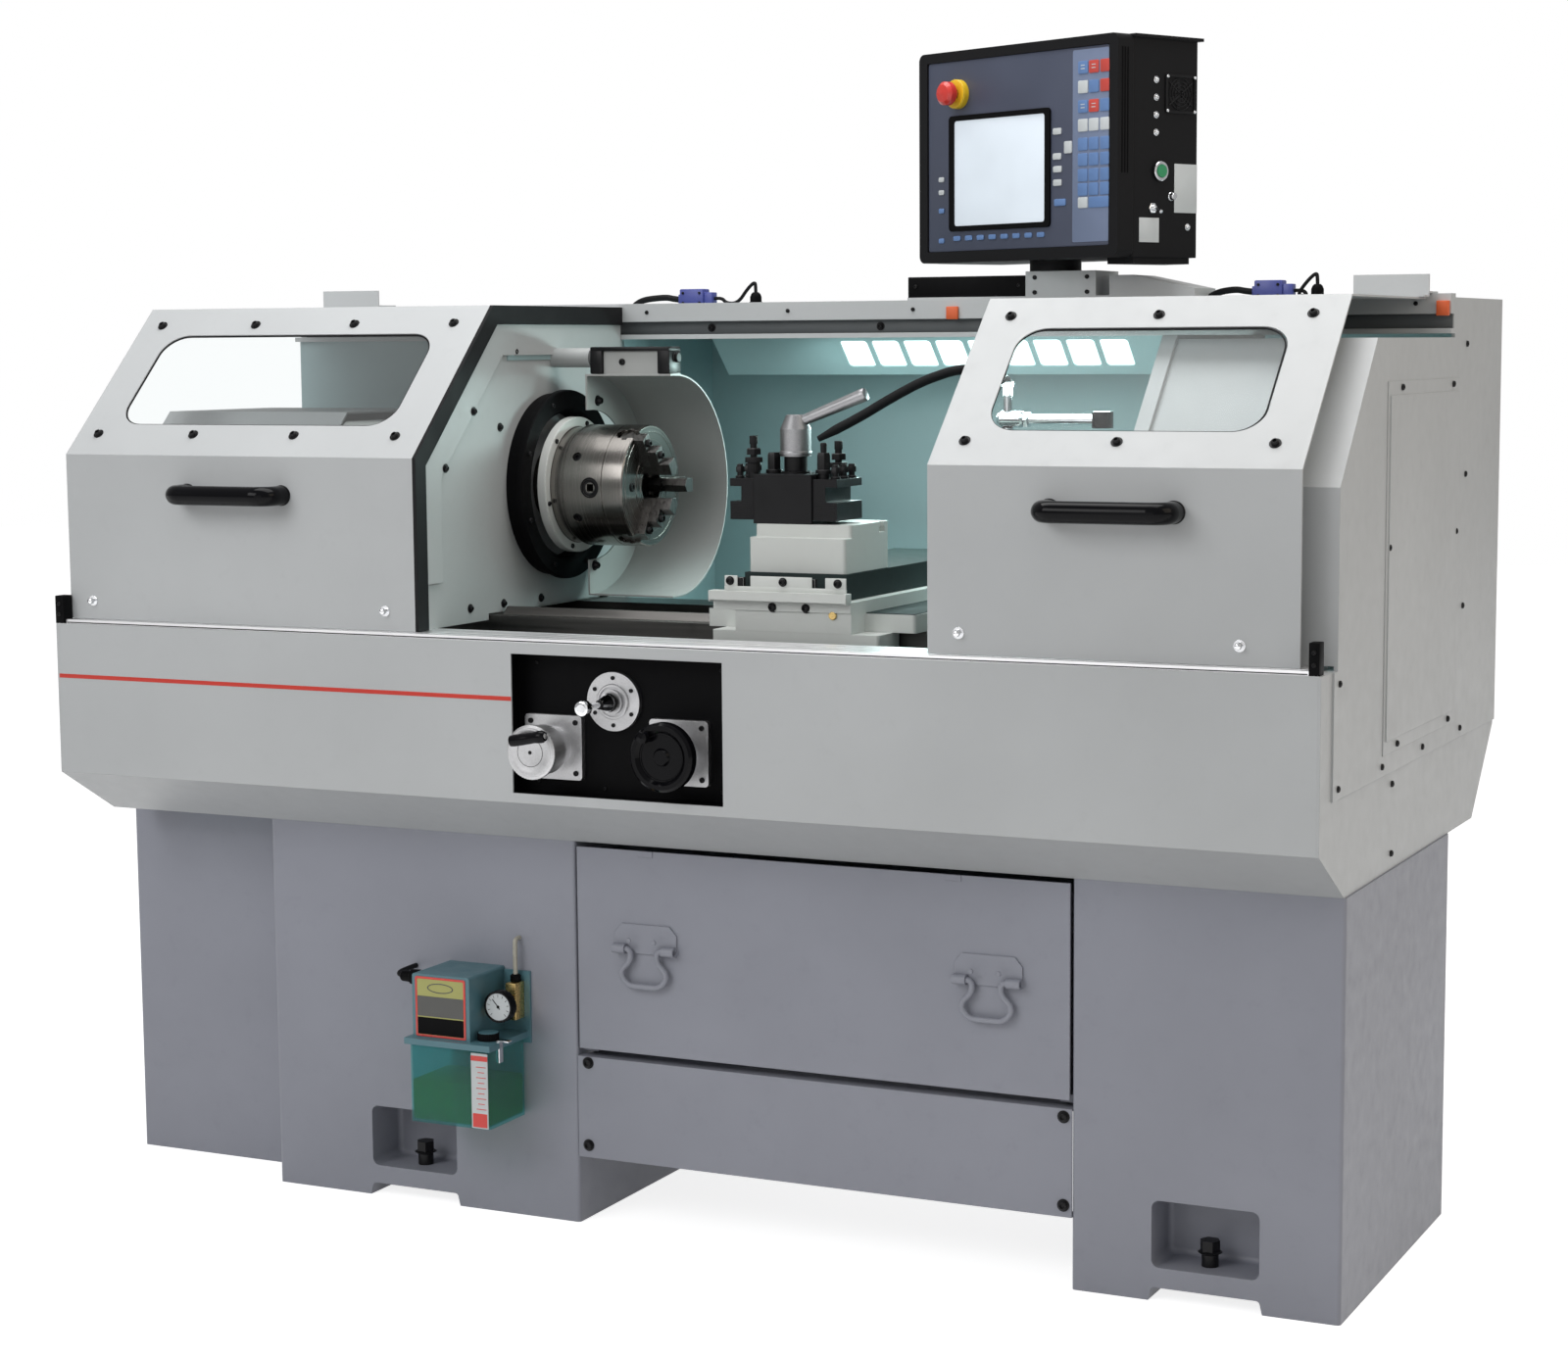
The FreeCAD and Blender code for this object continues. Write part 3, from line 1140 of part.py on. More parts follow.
def belt_outline(grow):
    """The belt's run round both pulleys, a set distance outside them, as a solid."""
    x = ((PULLEY_X[0] + PULLEY_X[1] - BELT_WIDTH) / 2, (PULLEY_X[0] + PULLEY_X[1] + BELT_WIDTH) / 2)
    low = MOTOR_PULLEY_RADIUS + grow
    high = SPINDLE_PULLEY_RADIUS + grow
    lean = math.asin((high - low) / (SPINDLE_Z - MOTOR_Z))
    side = math.cos(lean)
    drop = math.sin(lean)
    strip = prism_x([(SPINDLE_Y - low * side, MOTOR_Z - low * drop),
                     (SPINDLE_Y + low * side, MOTOR_Z - low * drop),
                     (SPINDLE_Y + high * side, SPINDLE_Z - high * drop),
                     (SPINDLE_Y - high * side, SPINDLE_Z - high * drop)], x)
    return fused([strip, rod_x(SPINDLE_Y, MOTOR_Z, low, x), rod_x(SPINDLE_Y, SPINDLE_Z, high, x)])


def make_drive_belt():
    return belt_outline(GAP + BELT_THICK).cut(belt_outline(GAP))


def make_gear_cover():
    """The left end plate and the cover over the spindle pulley, with its bar opening."""
    front, back = GEAR_COVER_Y
    shoulder = GEAR_COVER_TOP - GEAR_COVER_BEVEL
    line = [(front, BED_TOP), (front, shoulder), (front + GEAR_COVER_BEVEL, GEAR_COVER_TOP),
            (back - GEAR_COVER_BEVEL, GEAR_COVER_TOP), (back, shoulder), (back, BED_TOP)]
    hood = folded_sheet(line, -SHEET, (LEFT_END, HEADSTOCK_X[0] - GAP))
    plate = prism_x([(BASE_FRONT, BASE_HEIGHT), (0, APRON_FOLD), (0, APRON_TOP),
                     (front, APRON_TOP)] + line[1:5] +
                    [(back, APRON_TOP), (BACK_PANEL_Y, APRON_TOP), (BACK_PANEL_Y, BASE_HEIGHT)],
                    (LEFT_END, LEFT_END + SHEET))
    window = rod_x(SPINDLE_Y, SPINDLE_Z, BAR_OPENING, (LEFT_END - LAP, LEFT_END + SHEET + LAP))
    return fused([plate, hood]).cut(window)


# ============================ chuck ========================================================

def around_spindle(solid, degrees):
    """Turns a piece drawn on the axis to its place round the spindle."""
    solid.rotate(V(0, 0, 0), V(1, 0, 0), degrees)
    solid.translate(V(0, SPINDLE_Y, SPINDLE_Z))
    return solid


def jaw_slot():
    """The radial tee slot for one jaw, towards +Y, with the channel that its teeth run in."""
    half = JAW_WIDTH / 2 + GAP
    tee = JAW_TEE_WIDTH / 2 + GAP
    rack = JAW_TOOTH_HALF + LAP
    far = CHUCK_RADIUS + LAP
    neck = block((JAW_BASE_X - GAP, CHUCK_FACE + LAP), (0, far), (-half, half))
    groove = block((JAW_TEE_X - GAP, JAW_TEE_X + JAW_TEE_THICK + GAP), (JAW_TIP_RADIUS, far),
                   (-tee, tee))
    channel = block((JAW_BASE_X - JAW_TOOTH_DEPTH - LAP, JAW_BASE_X), (0, far), (-rack, rack))
    return fused([neck, groove, channel])


def pinion_bore():
    """The radial hole for one key pinion, towards -Y."""
    foot = CHUCK_RADIUS - PINION_SETBACK - PINION_LENGTH
    return rod_y(PINION_X, 0, PINION_RADIUS + GAP, (-CHUCK_RADIUS - LAP, -foot))


def pinion():
    """One key pinion with its square socket, towards -Y."""
    face = CHUCK_RADIUS - PINION_SETBACK
    half = PINION_SQUARE / 2
    body = rod_y(PINION_X, 0, PINION_RADIUS, (-face, PINION_LENGTH - face))
    return body.cut(block((PINION_X - half, PINION_X + half), (-face - LAP, PINION_SQUARE_DEPTH - face),
                          (-half, half)))


def chuck_blank():
    """The chuck body's turned blank: a neck, a joint line, bevelled corners and the through bore."""
    groove = CHUCK_RADIUS - CHUCK_JOINT_GROOVE
    joint = CHUCK_JOINT_X + CHUCK_JOINT_GROOVE
    return turned_x([
        (CHUCK_BACK, CHUCK_BORE), (CHUCK_BACK, CHUCK_NECK_RADIUS),
        (CHUCK_NECK_X, CHUCK_NECK_RADIUS), (CHUCK_NECK_X, CHUCK_RADIUS - CHUCK_BEVEL),
        (CHUCK_NECK_X + CHUCK_BEVEL, CHUCK_RADIUS), (CHUCK_JOINT_X, CHUCK_RADIUS),
        (CHUCK_JOINT_X, groove), (joint, groove), (joint, CHUCK_RADIUS),
        (CHUCK_FACE - CHUCK_BEVEL, CHUCK_RADIUS), (CHUCK_FACE, CHUCK_RADIUS - CHUCK_BEVEL),
        (CHUCK_FACE, CHUCK_BORE)], 0, 0)


def make_chuck_body():
    """The chuck body: tee slots, scroll chamber, key pinions and through bore."""
    chamber_x = (SCROLL_X[0] - GAP, SCROLL_X[1] + GAP)
    hub = SCROLL_BORE_RADIUS - GAP
    wall = SCROLL_RADIUS + GAP
    cuts = [turned_x([(chamber_x[0], hub), (chamber_x[0], wall), (chamber_x[1], wall),
                      (chamber_x[1], hub)], 0, 0)]
    pinions = []
    for turn in JAW_TURNS:
        for cut in (jaw_slot(), pinion_bore()):
            cut.rotate(V(0, 0, 0), V(1, 0, 0), turn)
            cuts.append(cut)
        pinions.append(around_spindle(pinion(), turn))
    for turn in range(30, 360, 60):
        hole = rod_y(BODY_SCREW_X, 0, BODY_SCREW_RADIUS,
                     (-CHUCK_RADIUS - LAP, BODY_SCREW_DEPTH - CHUCK_RADIUS))
        hole.rotate(V(0, 0, 0), V(1, 0, 0), turn)
        cuts.append(hole)
    body = chuck_blank()
    for cut in cuts:
        body = body.cut(cut)
    return group([around_spindle(body, 0)] + pinions)


def quarter_point(radius, centre, quarters, x):
    """A point at a radius round a centre, so many quarter turns back from +Y."""
    angle = -math.pi * quarters / 2
    return V(x, centre.y + radius * math.cos(angle), centre.z + radius * math.sin(angle))


def spiral(start, x):
    """One wall of the scroll's groove: quarter arcs whose radius grows by the pitch each turn."""
    step = SCROLL_PITCH / 4
    origin = V(x, 0, 0)
    centre = V(x, -step / 2, -step / 2)
    radius = start + step / 2
    arcs = []
    for i in range(SCROLL_QUARTERS):
        first = quarter_point(radius, centre, i, x)
        middle = quarter_point(radius, centre, i + 0.5, x)
        last = quarter_point(radius, centre, i + 1, x)
        arcs.append(Part.Arc(first, middle, last).toShape())
        centre = centre - (quarter_point(step, origin, i + 1, x) - origin)
        radius += step
    return arcs


def make_chuck_scroll():
    """The scroll disc: the spiral groove on its face drives the three jaws."""
    disc = turned_x([(SCROLL_X[0], SCROLL_BORE_RADIUS), (SCROLL_X[0], SCROLL_RADIUS),
                     (SCROLL_X[1], SCROLL_RADIUS), (SCROLL_X[1], SCROLL_BORE_RADIUS)], 0, 0)
    mouth = SCROLL_X[1] + LAP
    inner = spiral(SCROLL_START, mouth)
    outer = spiral(SCROLL_START + SCROLL_GROOVE_WIDTH, mouth)
    start = Part.makeLine(inner[0].valueAt(inner[0].FirstParameter),
                          outer[0].valueAt(outer[0].FirstParameter))
    end = Part.makeLine(inner[-1].valueAt(inner[-1].LastParameter),
                        outer[-1].valueAt(outer[-1].LastParameter))
    outline = Part.__sortEdges__(inner + outer + [start, end])
    groove = Part.Face(Part.Wire(outline)).extrude(V(-SCROLL_GROOVE_DEPTH - LAP, 0, 0))
    return around_spindle(disc.cut(groove), 0)


def jaw_teeth(turn):
    """The teeth under a jaw that fit the scroll's groove at the jaw's place round the spindle."""
    foot = JAW_BASE_X - JAW_TOOTH_DEPTH
    middle = SCROLL_START + SCROLL_GROOVE_WIDTH / 2 - SCROLL_PITCH * turn / 360
    first = math.ceil((JAW_FIRST_TOOTH - middle) / SCROLL_PITCH)
    sector = block((foot, JAW_BASE_X + LAP), (0, CHUCK_RADIUS), (-JAW_TOOTH_HALF, JAW_TOOTH_HALF))
    teeth = []
    for i in range(JAW_TEETH):
        radius = middle + SCROLL_PITCH * (first + i)
        low = radius - JAW_TOOTH_WIDTH / 2
        high = radius + JAW_TOOTH_WIDTH / 2
        ring = turned_x([(foot, low), (foot, high), (JAW_BASE_X + LAP, high),
                         (JAW_BASE_X + LAP, low)], 0, 0)
        teeth.append(ring.common(sector))
    return teeth


def make_jaw(turn):
    """A stepped jaw with a pointed tip, tee tongues and scroll teeth, drawn towards +Y."""
    half = JAW_WIDTH / 2
    slope = half / math.tan(math.radians(60))
    plan = [(JAW_TIP_RADIUS, 0), (JAW_TIP_RADIUS + slope, half), (JAW_OUTER_RADIUS, half),
            (JAW_OUTER_RADIUS, -half), (JAW_TIP_RADIUS + slope, -half)]
    blank = prism_x(plan, (JAW_BASE_X, JAW_STEP_X[0]))
    steps = []
    for radius, x in zip(JAW_STEP_RADII, JAW_STEP_X[1:]):
        steps.append(block((x, JAW_STEP_X[0] + LAP), (radius, JAW_OUTER_RADIUS + LAP),
                           (-half - LAP, half + LAP)))
    tee = block((JAW_TEE_X, JAW_TEE_X + JAW_TEE_THICK),
                (JAW_TIP_RADIUS + JAW_TEE_SETBACK, JAW_OUTER_RADIUS),
                (-JAW_TEE_WIDTH / 2, JAW_TEE_WIDTH / 2))
    return around_spindle(fused([blank.cut(group(steps)), tee] + jaw_teeth(turn)), turn)


def make_chuck_guard():
    """The half-round chuck guard with its side flange and hinge sleeve."""
    left, right = GUARD_X
    inner = GUARD_RADIUS - SHEET
    arc = turned_x([(left, inner), (left, GUARD_RADIUS), (right, GUARD_RADIUS), (right, inner)], 0, 0)
    side = turned_x([(left, GUARD_SIDE_INNER), (left, GUARD_RADIUS),
                     (left + SHEET, GUARD_RADIUS), (left + SHEET, GUARD_SIDE_INNER)], 0, 0)
    rear = block((left - LAP, right + LAP), (0, 2 * GUARD_RADIUS),
                 (-2 * GUARD_RADIUS, 2 * GUARD_RADIUS))
    shell = fused([arc, side]).common(rear)
    lips = []
    for low in (-GUARD_RADIUS, inner):
        lips.append(block(GUARD_X, (-GUARD_LIP, LAP), (low, low + SHEET)))
    for low in (-GUARD_RADIUS, GUARD_SIDE_INNER):
        lips.append(block((left, left + SHEET), (-GUARD_LIP, LAP),
                          (low, low + GUARD_RADIUS - GUARD_SIDE_INNER)))
    shell = around_spindle(fused([shell] + lips), 0)
    sleeve = block((left + GUARD_SLEEVE_INSET, right - GUARD_SLEEVE_INSET),
                   (GUARD_PIVOT_Y - GUARD_SLEEVE_HALF, GUARD_PIVOT_Y + GUARD_SLEEVE_HALF),
                   (SPINDLE_Z + inner, GUARD_PIVOT_Z + GUARD_SLEEVE_HALF))
    sleeve = round_along(sleeve, V(1, 0, 0), EDGE, lambda p: p.z > GUARD_PIVOT_Z)
    bore = rod_x(GUARD_PIVOT_Y, GUARD_PIVOT_Z, GUARD_PIN_RADIUS + RUNNING, GUARD_X)
    return fused([shell, sleeve]).cut(bore)


# ============================ bed, carriage and slides =====================================

def vee(grow):
    """The inverted vee way, or the groove that runs over it."""
    half = VEE_HALF + grow
    x = (VEE_LEFT, BED_X[1]) if grow == 0 else (VEE_LEFT - LAP, BED_X[1] + VEE_GROOVE_REACH)
    top = BED_TOP + VEE_HEIGHT + grow
    return prism_x([(VEE_Y - half, BED_TOP), (VEE_Y - VEE_TOP_HALF, top),
                    (VEE_Y + VEE_TOP_HALF, top), (VEE_Y + half, BED_TOP)], x)


def make_bed():
    """The bed casting with its ways, the feed screw's bearings and its servo motor."""
    low = BASE_HEIGHT + SHEET
    channel = BED_TOP - WAY_CHANNEL
    outline = [(BED_Y[0], low), (BED_Y[1], low), (BED_Y[1], BED_TOP),
               (BED_Y[1] - WAY_WIDTH, BED_TOP), (BED_Y[1] - WAY_WIDTH, channel),
               (BED_Y[0] + WAY_WIDTH, channel), (BED_Y[0] + WAY_WIDTH, BED_TOP),
               (BED_Y[0], BED_TOP)]
    body = prism_x(outline, BED_X)
    lugs = []
    for x in SCREW_LUG_X:
        lugs.append(block((x, x + SCREW_LUG_THICK), (SCREW_Y - SCREW_LUG_HALF, BED_Y[0] + LAP),
                          (SCREW_Z - SCREW_LUG_HALF, SCREW_Z + SCREW_LUG_HALF)))
    bore = rod_x(SCREW_Y, SCREW_Z, SCREW_RADIUS + RUNNING,
                 (SCREW_LUG_X[0] - LAP, BED_X[1] + LAP))
    casting = fused([body, vee(0)] + lugs).cut(bore)
    servo_y = (SCREW_Y - SERVO_HALF, SCREW_Y + SERVO_HALF)
    servo_z = (SCREW_Z - SERVO_HALF, SCREW_Z + SERVO_HALF)
    servo = block((BED_X[1], BED_X[1] + SERVO_LENGTH + LAP), servo_y, servo_z)
    servo = round_along(servo, V(1, 0, 0), 2 * EDGE)
    flange = block((BED_X[1], BED_X[1] + EDGE), servo_y, servo_z)
    return group([casting, fused([servo, flange])])


def make_z_ball_screw():
    """The carriage feed screw, between its two bearing lugs."""
    return rod_x(SCREW_Y, SCREW_Z, SCREW_RADIUS, (SCREW_LUG_X[0], BED_X[1] - GAP))


def dovetail(grow, y, z):
    """The cross slide's guide, or its groove."""
    foot = DOVETAIL_FOOT / 2 + grow
    top = DOVETAIL_TOP / 2 + grow
    return prism_y([(SLIDE_CENTRE - foot, z[0]), (SLIDE_CENTRE + foot, z[0]),
                    (SLIDE_CENTRE + top, z[1]), (SLIDE_CENTRE - top, z[1])], y)


def make_saddle():
    """The saddle on the ways, with its bridge, apron box, front bracket and wipers."""
    wings = block(SADDLE_X, SADDLE_Y, (BED_TOP + GAP, SADDLE_TOP))
    wings = round_along(wings, V(0, 0, 1), EDGE)
    bridge = block(BRIDGE_X, (BRIDGE_FRONT, SADDLE_Y[1]), (BED_TOP + GAP, BRIDGE_TOP))
    guide = dovetail(0, (BRIDGE_FRONT, SADDLE_Y[1]), (BRIDGE_TOP, BRIDGE_TOP + DOVETAIL_HEIGHT))
    casting = fused([wings, bridge, guide]).cut(vee(GAP))
    box = block(APRON_BOX_X, APRON_BOX_Y, (APRON_BOX_LOW, BED_TOP + GAP))
    box = round_along(box, V(0, 0, 1), EDGE)
    nut = rod_x(SCREW_Y, SCREW_Z, SCREW_RADIUS + NUT_CLEARANCE,
                (APRON_BOX_X[0] - LAP, APRON_BOX_X[1] + LAP))
    return group([casting, box.cut(nut), slide_bracket()])


def slide_bracket():
    """The folded bracket on the saddle's front, with three wiper blocks."""
    x = (BRIDGE_X[0] - BRACKET_OVERHANG, BRIDGE_X[1])
    front = BRIDGE_FRONT - BRACKET_REACH
    top = BRIDGE_TOP + BRACKET_RISE
    line = [(front, top - BRACKET_DROP), (front, top), (BRIDGE_FRONT, top),
            (BRIDGE_FRONT, top - BRACKET_FOOT)]
    shelf = folded_sheet(line, -SHEET, x)
    blocks = []
    for left, right in WIPER_SPANS:
        blocks.append(block((BRIDGE_X[0] + left, BRIDGE_X[0] + right),
                            (BRIDGE_FRONT - WIPER_THICK - 2 * LAP, BRIDGE_FRONT - 2 * LAP),
                            (top - LAP, top + WIPER_HEIGHT)))
    return fused([shelf] + blocks)


SLIDE_X = (SLIDE_CENTRE - SLIDE_WIDTH / 2, SLIDE_CENTRE + SLIDE_WIDTH / 2)
BLOCK_X = (SLIDE_CENTRE - SLIDE_BLOCK_WIDTH / 2, SLIDE_CENTRE + SLIDE_BLOCK_WIDTH / 2)


def make_cross_slide():
    """The long cross slide, grooved for its dovetail guide."""
    body = block(SLIDE_X, SLIDE_Y, (BRIDGE_TOP + GAP, SLIDE_TOP))
    groove = dovetail(GAP, (SLIDE_Y[0] - LAP, SLIDE_Y[1] + LAP),
                      (BRIDGE_TOP - LAP, BRIDGE_TOP + DOVETAIL_HEIGHT + GAP))
    return body.cut(groove)


def make_slide_block():
    """The raised tool block on the cross slide, with its tee slot."""
    lower = block(BLOCK_X, SLIDE_BLOCK_Y, (SLIDE_TOP, SLIDE_BLOCK_STEP))
    upper = block(BLOCK_X, (SLIDE_BLOCK_Y[0] + SLIDE_BLOCK_SETBACK, SLIDE_BLOCK_Y[1]),
                  (SLIDE_BLOCK_STEP, SLIDE_BLOCK_TOP))
    slot_x = (BLOCK_X[0] - LAP, BLOCK_X[1] + LAP)
    slot_foot = SLIDE_BLOCK_TOP - TEE_SLOT_DEPTH
    neck = block(slot_x, (TEE_SLOT_Y - TEE_SLOT_NECK / 2, TEE_SLOT_Y + TEE_SLOT_NECK / 2),
                 (slot_foot, SLIDE_BLOCK_TOP + LAP))
    wide = block(slot_x, (TEE_SLOT_Y - TEE_SLOT_WIDTH / 2, TEE_SLOT_Y + TEE_SLOT_WIDTH / 2),
                 (slot_foot, slot_foot + TEE_SLOT_DEPTH / 2))
    body = round_along(fused([lower, upper]), V(0, 0, 1), EDGE)
    return body.cut(fused([neck, wide]))


def tool_holder(side):
    """A tool holder on one side of the toolpost, with its slot and clamp screws."""
    near = POST_CENTRE[0] + side * (POST_SIZE / 2 + GAP)
    far = near + side * HOLDER_THICK
    y = (POST_CENTRE[1] - HOLDER_LENGTH / 2, POST_CENTRE[1] + HOLDER_LENGTH / 2)
    body = block(sorted((near, far)), y, HOLDER_Z)
    slot = block(sorted((far - side * HOLDER_SLOT_DEPTH, far + side * LAP)),
                 (y[0] - LAP, y[1] + LAP), HOLDER_SLOT_Z)
    root = HOLDER_Z[1] - SCREW_ROOT
    screw_x = far - side * HOLDER_SLOT_DEPTH / 2
    screws = []
    for share in HOLDER_SCREW_SHARES:
        screws.append(rod_z(screw_x, y[0] + share * HOLDER_LENGTH, HOLDER_SCREW_RADIUS,
                            (root, HOLDER_Z[1] + HOLDER_SCREW_RISE)))
    (nut_radius, nut_top), (stud_radius, stud_top) = HOLDER_ADJUSTER
    across, back = HOLDER_ADJUSTER_PLACE
    screws.append(turned_z([(root, 0), (root, nut_radius), (HOLDER_Z[1] + nut_top, nut_radius),
                            (HOLDER_Z[1] + nut_top, stud_radius), (HOLDER_Z[1] + stud_top, stud_radius),
                            (HOLDER_Z[1] + stud_top, 0)], near + side * across, y[0] + back))
    return fused([body.cut(slot)] + screws)


def make_toolpost():
    """The square toolpost with its dovetail grooves, and its two holders."""
    half = POST_SIZE / 2
    x, y = POST_CENTRE
    body = block((x - half, x + half), (y - half, y + half), (SLIDE_BLOCK_TOP, POST_TOP))
    grooves = []
    for side in (-1, 1):
        for edge in (-1, 1):
            cx = x + side * half
            cy = y + edge * (half - POST_GROOVE_SETBACK)
            grooves.append(block((cx - POST_GROOVE, cx + POST_GROOVE),
                                 (cy - POST_GROOVE_HALF, cy + POST_GROOVE_HALF),
                                 (SLIDE_BLOCK_TOP + POST_GROOVE, POST_TOP + LAP)))
    body = round_along(body, V(0, 0, 1), POST_EDGE).cut(group(grooves))
    washer = rod_z(x, y, HUB_RADIUS, (POST_TOP, POST_TOP + POST_WASHER))
    stud = rod_z(x, y, POST_STUD_RADIUS, (POST_TOP, HUB_BASE_TOP - SCREW_ROOT))
    return group([fused([body, washer, stud]), tool_holder(-1), tool_holder(1)])


def make_toolpost_lever():
    """The clamping nut with its tapered lever."""
    x, y = POST_CENTRE
    foot = POST_TOP + POST_WASHER + GAP
    bore = POST_STUD_RADIUS + RUNNING
    hub = turned_z([(foot, bore), (foot, HUB_BASE_RADIUS), (HUB_BASE_TOP, HUB_BASE_RADIUS),
                    (HUB_BASE_TOP, HUB_RADIUS), (HUB_TOP, HUB_RADIUS), (HUB_TIP, HUB_TIP_RADIUS),
                    (HUB_TIP, 0), (HUB_BASE_TOP, 0), (HUB_BASE_TOP, bore)], x, y)
    rise = math.radians(LEVER_RISE_DEG)
    direction = V(math.cos(rise), 0, math.sin(rise))
    start = V(x + LEVER_ROOT, y, LEVER_Z)
    bar = Part.makeCone(LEVER_ROOT, LEVER_END, LEVER_LENGTH, start, direction)
    return fused([hub, bar, Part.makeSphere(LEVER_END, start + direction * LEVER_LENGTH)])


# ============================ coolant line =================================================

def swept_tube(points, radius):
    """A round bar along straight runs joined by tangent bends."""
    pieces = []
    start = points[0]
    for before, corner, after in zip(points[:-2], points[1:-1], points[2:]):
        run_in = corner - before
        run_out = after - corner
        trim = BEND_SHARE * min(run_in.Length, run_out.Length)
        turn = run_in.getAngle(run_out)
        axis = run_in.cross(run_out)
        run_in.normalize()
        run_out.normalize()
        bend_start = corner - run_in * trim
        inward = axis.cross(run_in).normalize()
        centre = bend_start + inward * (trim / math.tan(turn / 2))
        pieces.append(Part.makeCylinder(radius, (bend_start - start).Length, start, run_in))
        ring = Part.Face(Part.Wire(Part.makeCircle(radius, bend_start, run_in)))
        pieces.append(ring.revolve(centre, axis, math.degrees(turn)))
        start = corner + run_out * trim
    run = points[-1] - start
    pieces.append(Part.makeCylinder(radius, run.Length, start, run))
    return fused(pieces)


def make_coolant_line():
    """The coolant standpipe, tap, riser, bent hose and nozzle, carried on the saddle."""
    pipe = rod_z(TAP_X, TAP_Y, STANDPIPE_RADIUS, (SADDLE_TOP, TAP_Z))
    foot = rod_z(TAP_X, TAP_Y, 2 * STANDPIPE_RADIUS, (SADDLE_TOP, SADDLE_TOP + STANDPIPE_RADIUS))
    end = TAP_X + TAP_ARM_LENGTH
    left, right = TAP_X - TAP_BODY_LEFT, TAP_X + TAP_BODY_RIGHT
    tap = turned_x([(left, 0), (left, TAP_ARM_RADIUS), (left + TAP_BEVEL, TAP_BODY_RADIUS),
                    (right, TAP_BODY_RADIUS), (right + TAP_BEVEL, TAP_ARM_RADIUS),
                    (end, TAP_ARM_RADIUS), (end, 0)], TAP_Y, TAP_Z)
    half = TAP_BLOCK / 2
    knob = block((end - LAP, end + TAP_BLOCK), (TAP_Y - half, TAP_Y + half),
                 (TAP_Z - half, TAP_Z + half))
    riser = rod_z(TAP_X, TAP_Y, TAP_ARM_RADIUS - LAP, (TAP_Z, RISER_TOP))
    points = [V(*p) for p in HOSE_ROUTE]
    hose = swept_tube(points, HOSE_RADIUS)
    direction = (points[-1] - points[-2]).normalize()
    nozzle = Part.makeCone(HOSE_RADIUS, NOZZLE_RADIUS, NOZZLE_LENGTH, points[-1], direction)
    return fused([fused([pipe, foot, tap, knob, riser]), hose, nozzle])


# ============================ tailstock ====================================================

def make_tailstock():
    """The tailstock casting, bored for its quill."""
    left, right = TAILSTOCK_X
    base = block(TAILSTOCK_X, TAILSTOCK_BASE_Y, (BED_TOP + GAP, TAILSTOCK_BASE_TOP))
    base = round_along(base, V(0, 0, 1), EDGE)
    waist = BARREL_RADIUS - EDGE
    foot = TAILSTOCK_BASE_TOP - LAP
    web = prism_x([(SPINDLE_Y - TAILSTOCK_WEB_HALF, foot), (SPINDLE_Y + TAILSTOCK_WEB_HALF, foot),
                   (SPINDLE_Y + waist, SPINDLE_Z), (SPINDLE_Y - waist, SPINDLE_Z)],
                  (left + TAILSTOCK_WEB_INSET, right - TAILSTOCK_WEB_INSET))
    barrel = rod_x(SPINDLE_Y, SPINDLE_Z, BARREL_RADIUS, (left, right + TAILSTOCK_WEB_INSET))
    bore = rod_x(SPINDLE_Y, SPINDLE_Z, QUILL_RADIUS + RUNNING, (left - LAP, right - QUILL_BORE_END))
    shaft = rod_x(SPINDLE_Y, SPINDLE_Z, TAIL_SHAFT_RADIUS + RUNNING,
                  (right - QUILL_BORE_END - LAP, right + TAILSTOCK_WEB_INSET + LAP))
    return fused([base, web, barrel]).cut(bore.fuse(shaft)).cut(vee(GAP))


def make_tailstock_quill():
    """The quill with its centre socket."""
    right = TAILSTOCK_X[1] - QUILL_SETBACK
    socket = QUILL_LEFT + QUILL_TAPER_DEPTH
    return turned_x([
        (QUILL_LEFT, QUILL_TAPER_RADIUS), (QUILL_LEFT, QUILL_RADIUS - QUILL_BEVEL),
        (QUILL_LEFT + QUILL_BEVEL, QUILL_RADIUS), (right, QUILL_RADIUS), (right, 0), (socket, 0),
        (socket, QUILL_TAPER_RADIUS)], SPINDLE_Y, SPINDLE_Z)


def make_tailstock_wheel():
    """The tailstock handwheel with its shaft and crank handle."""
    face = TAILSTOCK_X[1] + TAILSTOCK_WEB_INSET + GAP
    root = TAILSTOCK_X[1] - TAIL_SHAFT_DEPTH
    left, right = TAIL_WHEEL_X
    rim, web = TAIL_WHEEL_RADIUS - TAIL_WHEEL_RIM[0], TAIL_WHEEL_RADIUS - TAIL_WHEEL_RIM[1]
    disc = turned_x([(root, 0), (root, TAIL_SHAFT_RADIUS), (face, TAIL_SHAFT_RADIUS),
                     (face, TAIL_WHEEL_HUB), (left, TAIL_WHEEL_HUB), (left + TAIL_WHEEL_DISH, web),
                     (left, rim), (left, TAIL_WHEEL_RADIUS), (right, TAIL_WHEEL_RADIUS),
                     (right, rim), (right - TAIL_WHEEL_DISH, web), (right, TAIL_WHEEL_HUB),
                     (right, 0)], SPINDLE_Y, SPINDLE_Z)
    grip_profile = [(right - LAP, 0)] + [(right - LAP + x, radius) for x, radius in TAIL_GRIP]
    grip = turned_x(grip_profile, SPINDLE_Y, SPINDLE_Z + TAIL_WHEEL_RADIUS - TAIL_GRIP_SETBACK)
    return fused([disc, grip])


# ============================ handwheels and jog stick =====================================

PANEL_FACE = SHEET + RECESS_DEPTH


WHEEL_BACK = PANEL_FACE - WHEEL_NECK_LENGTH - GAP


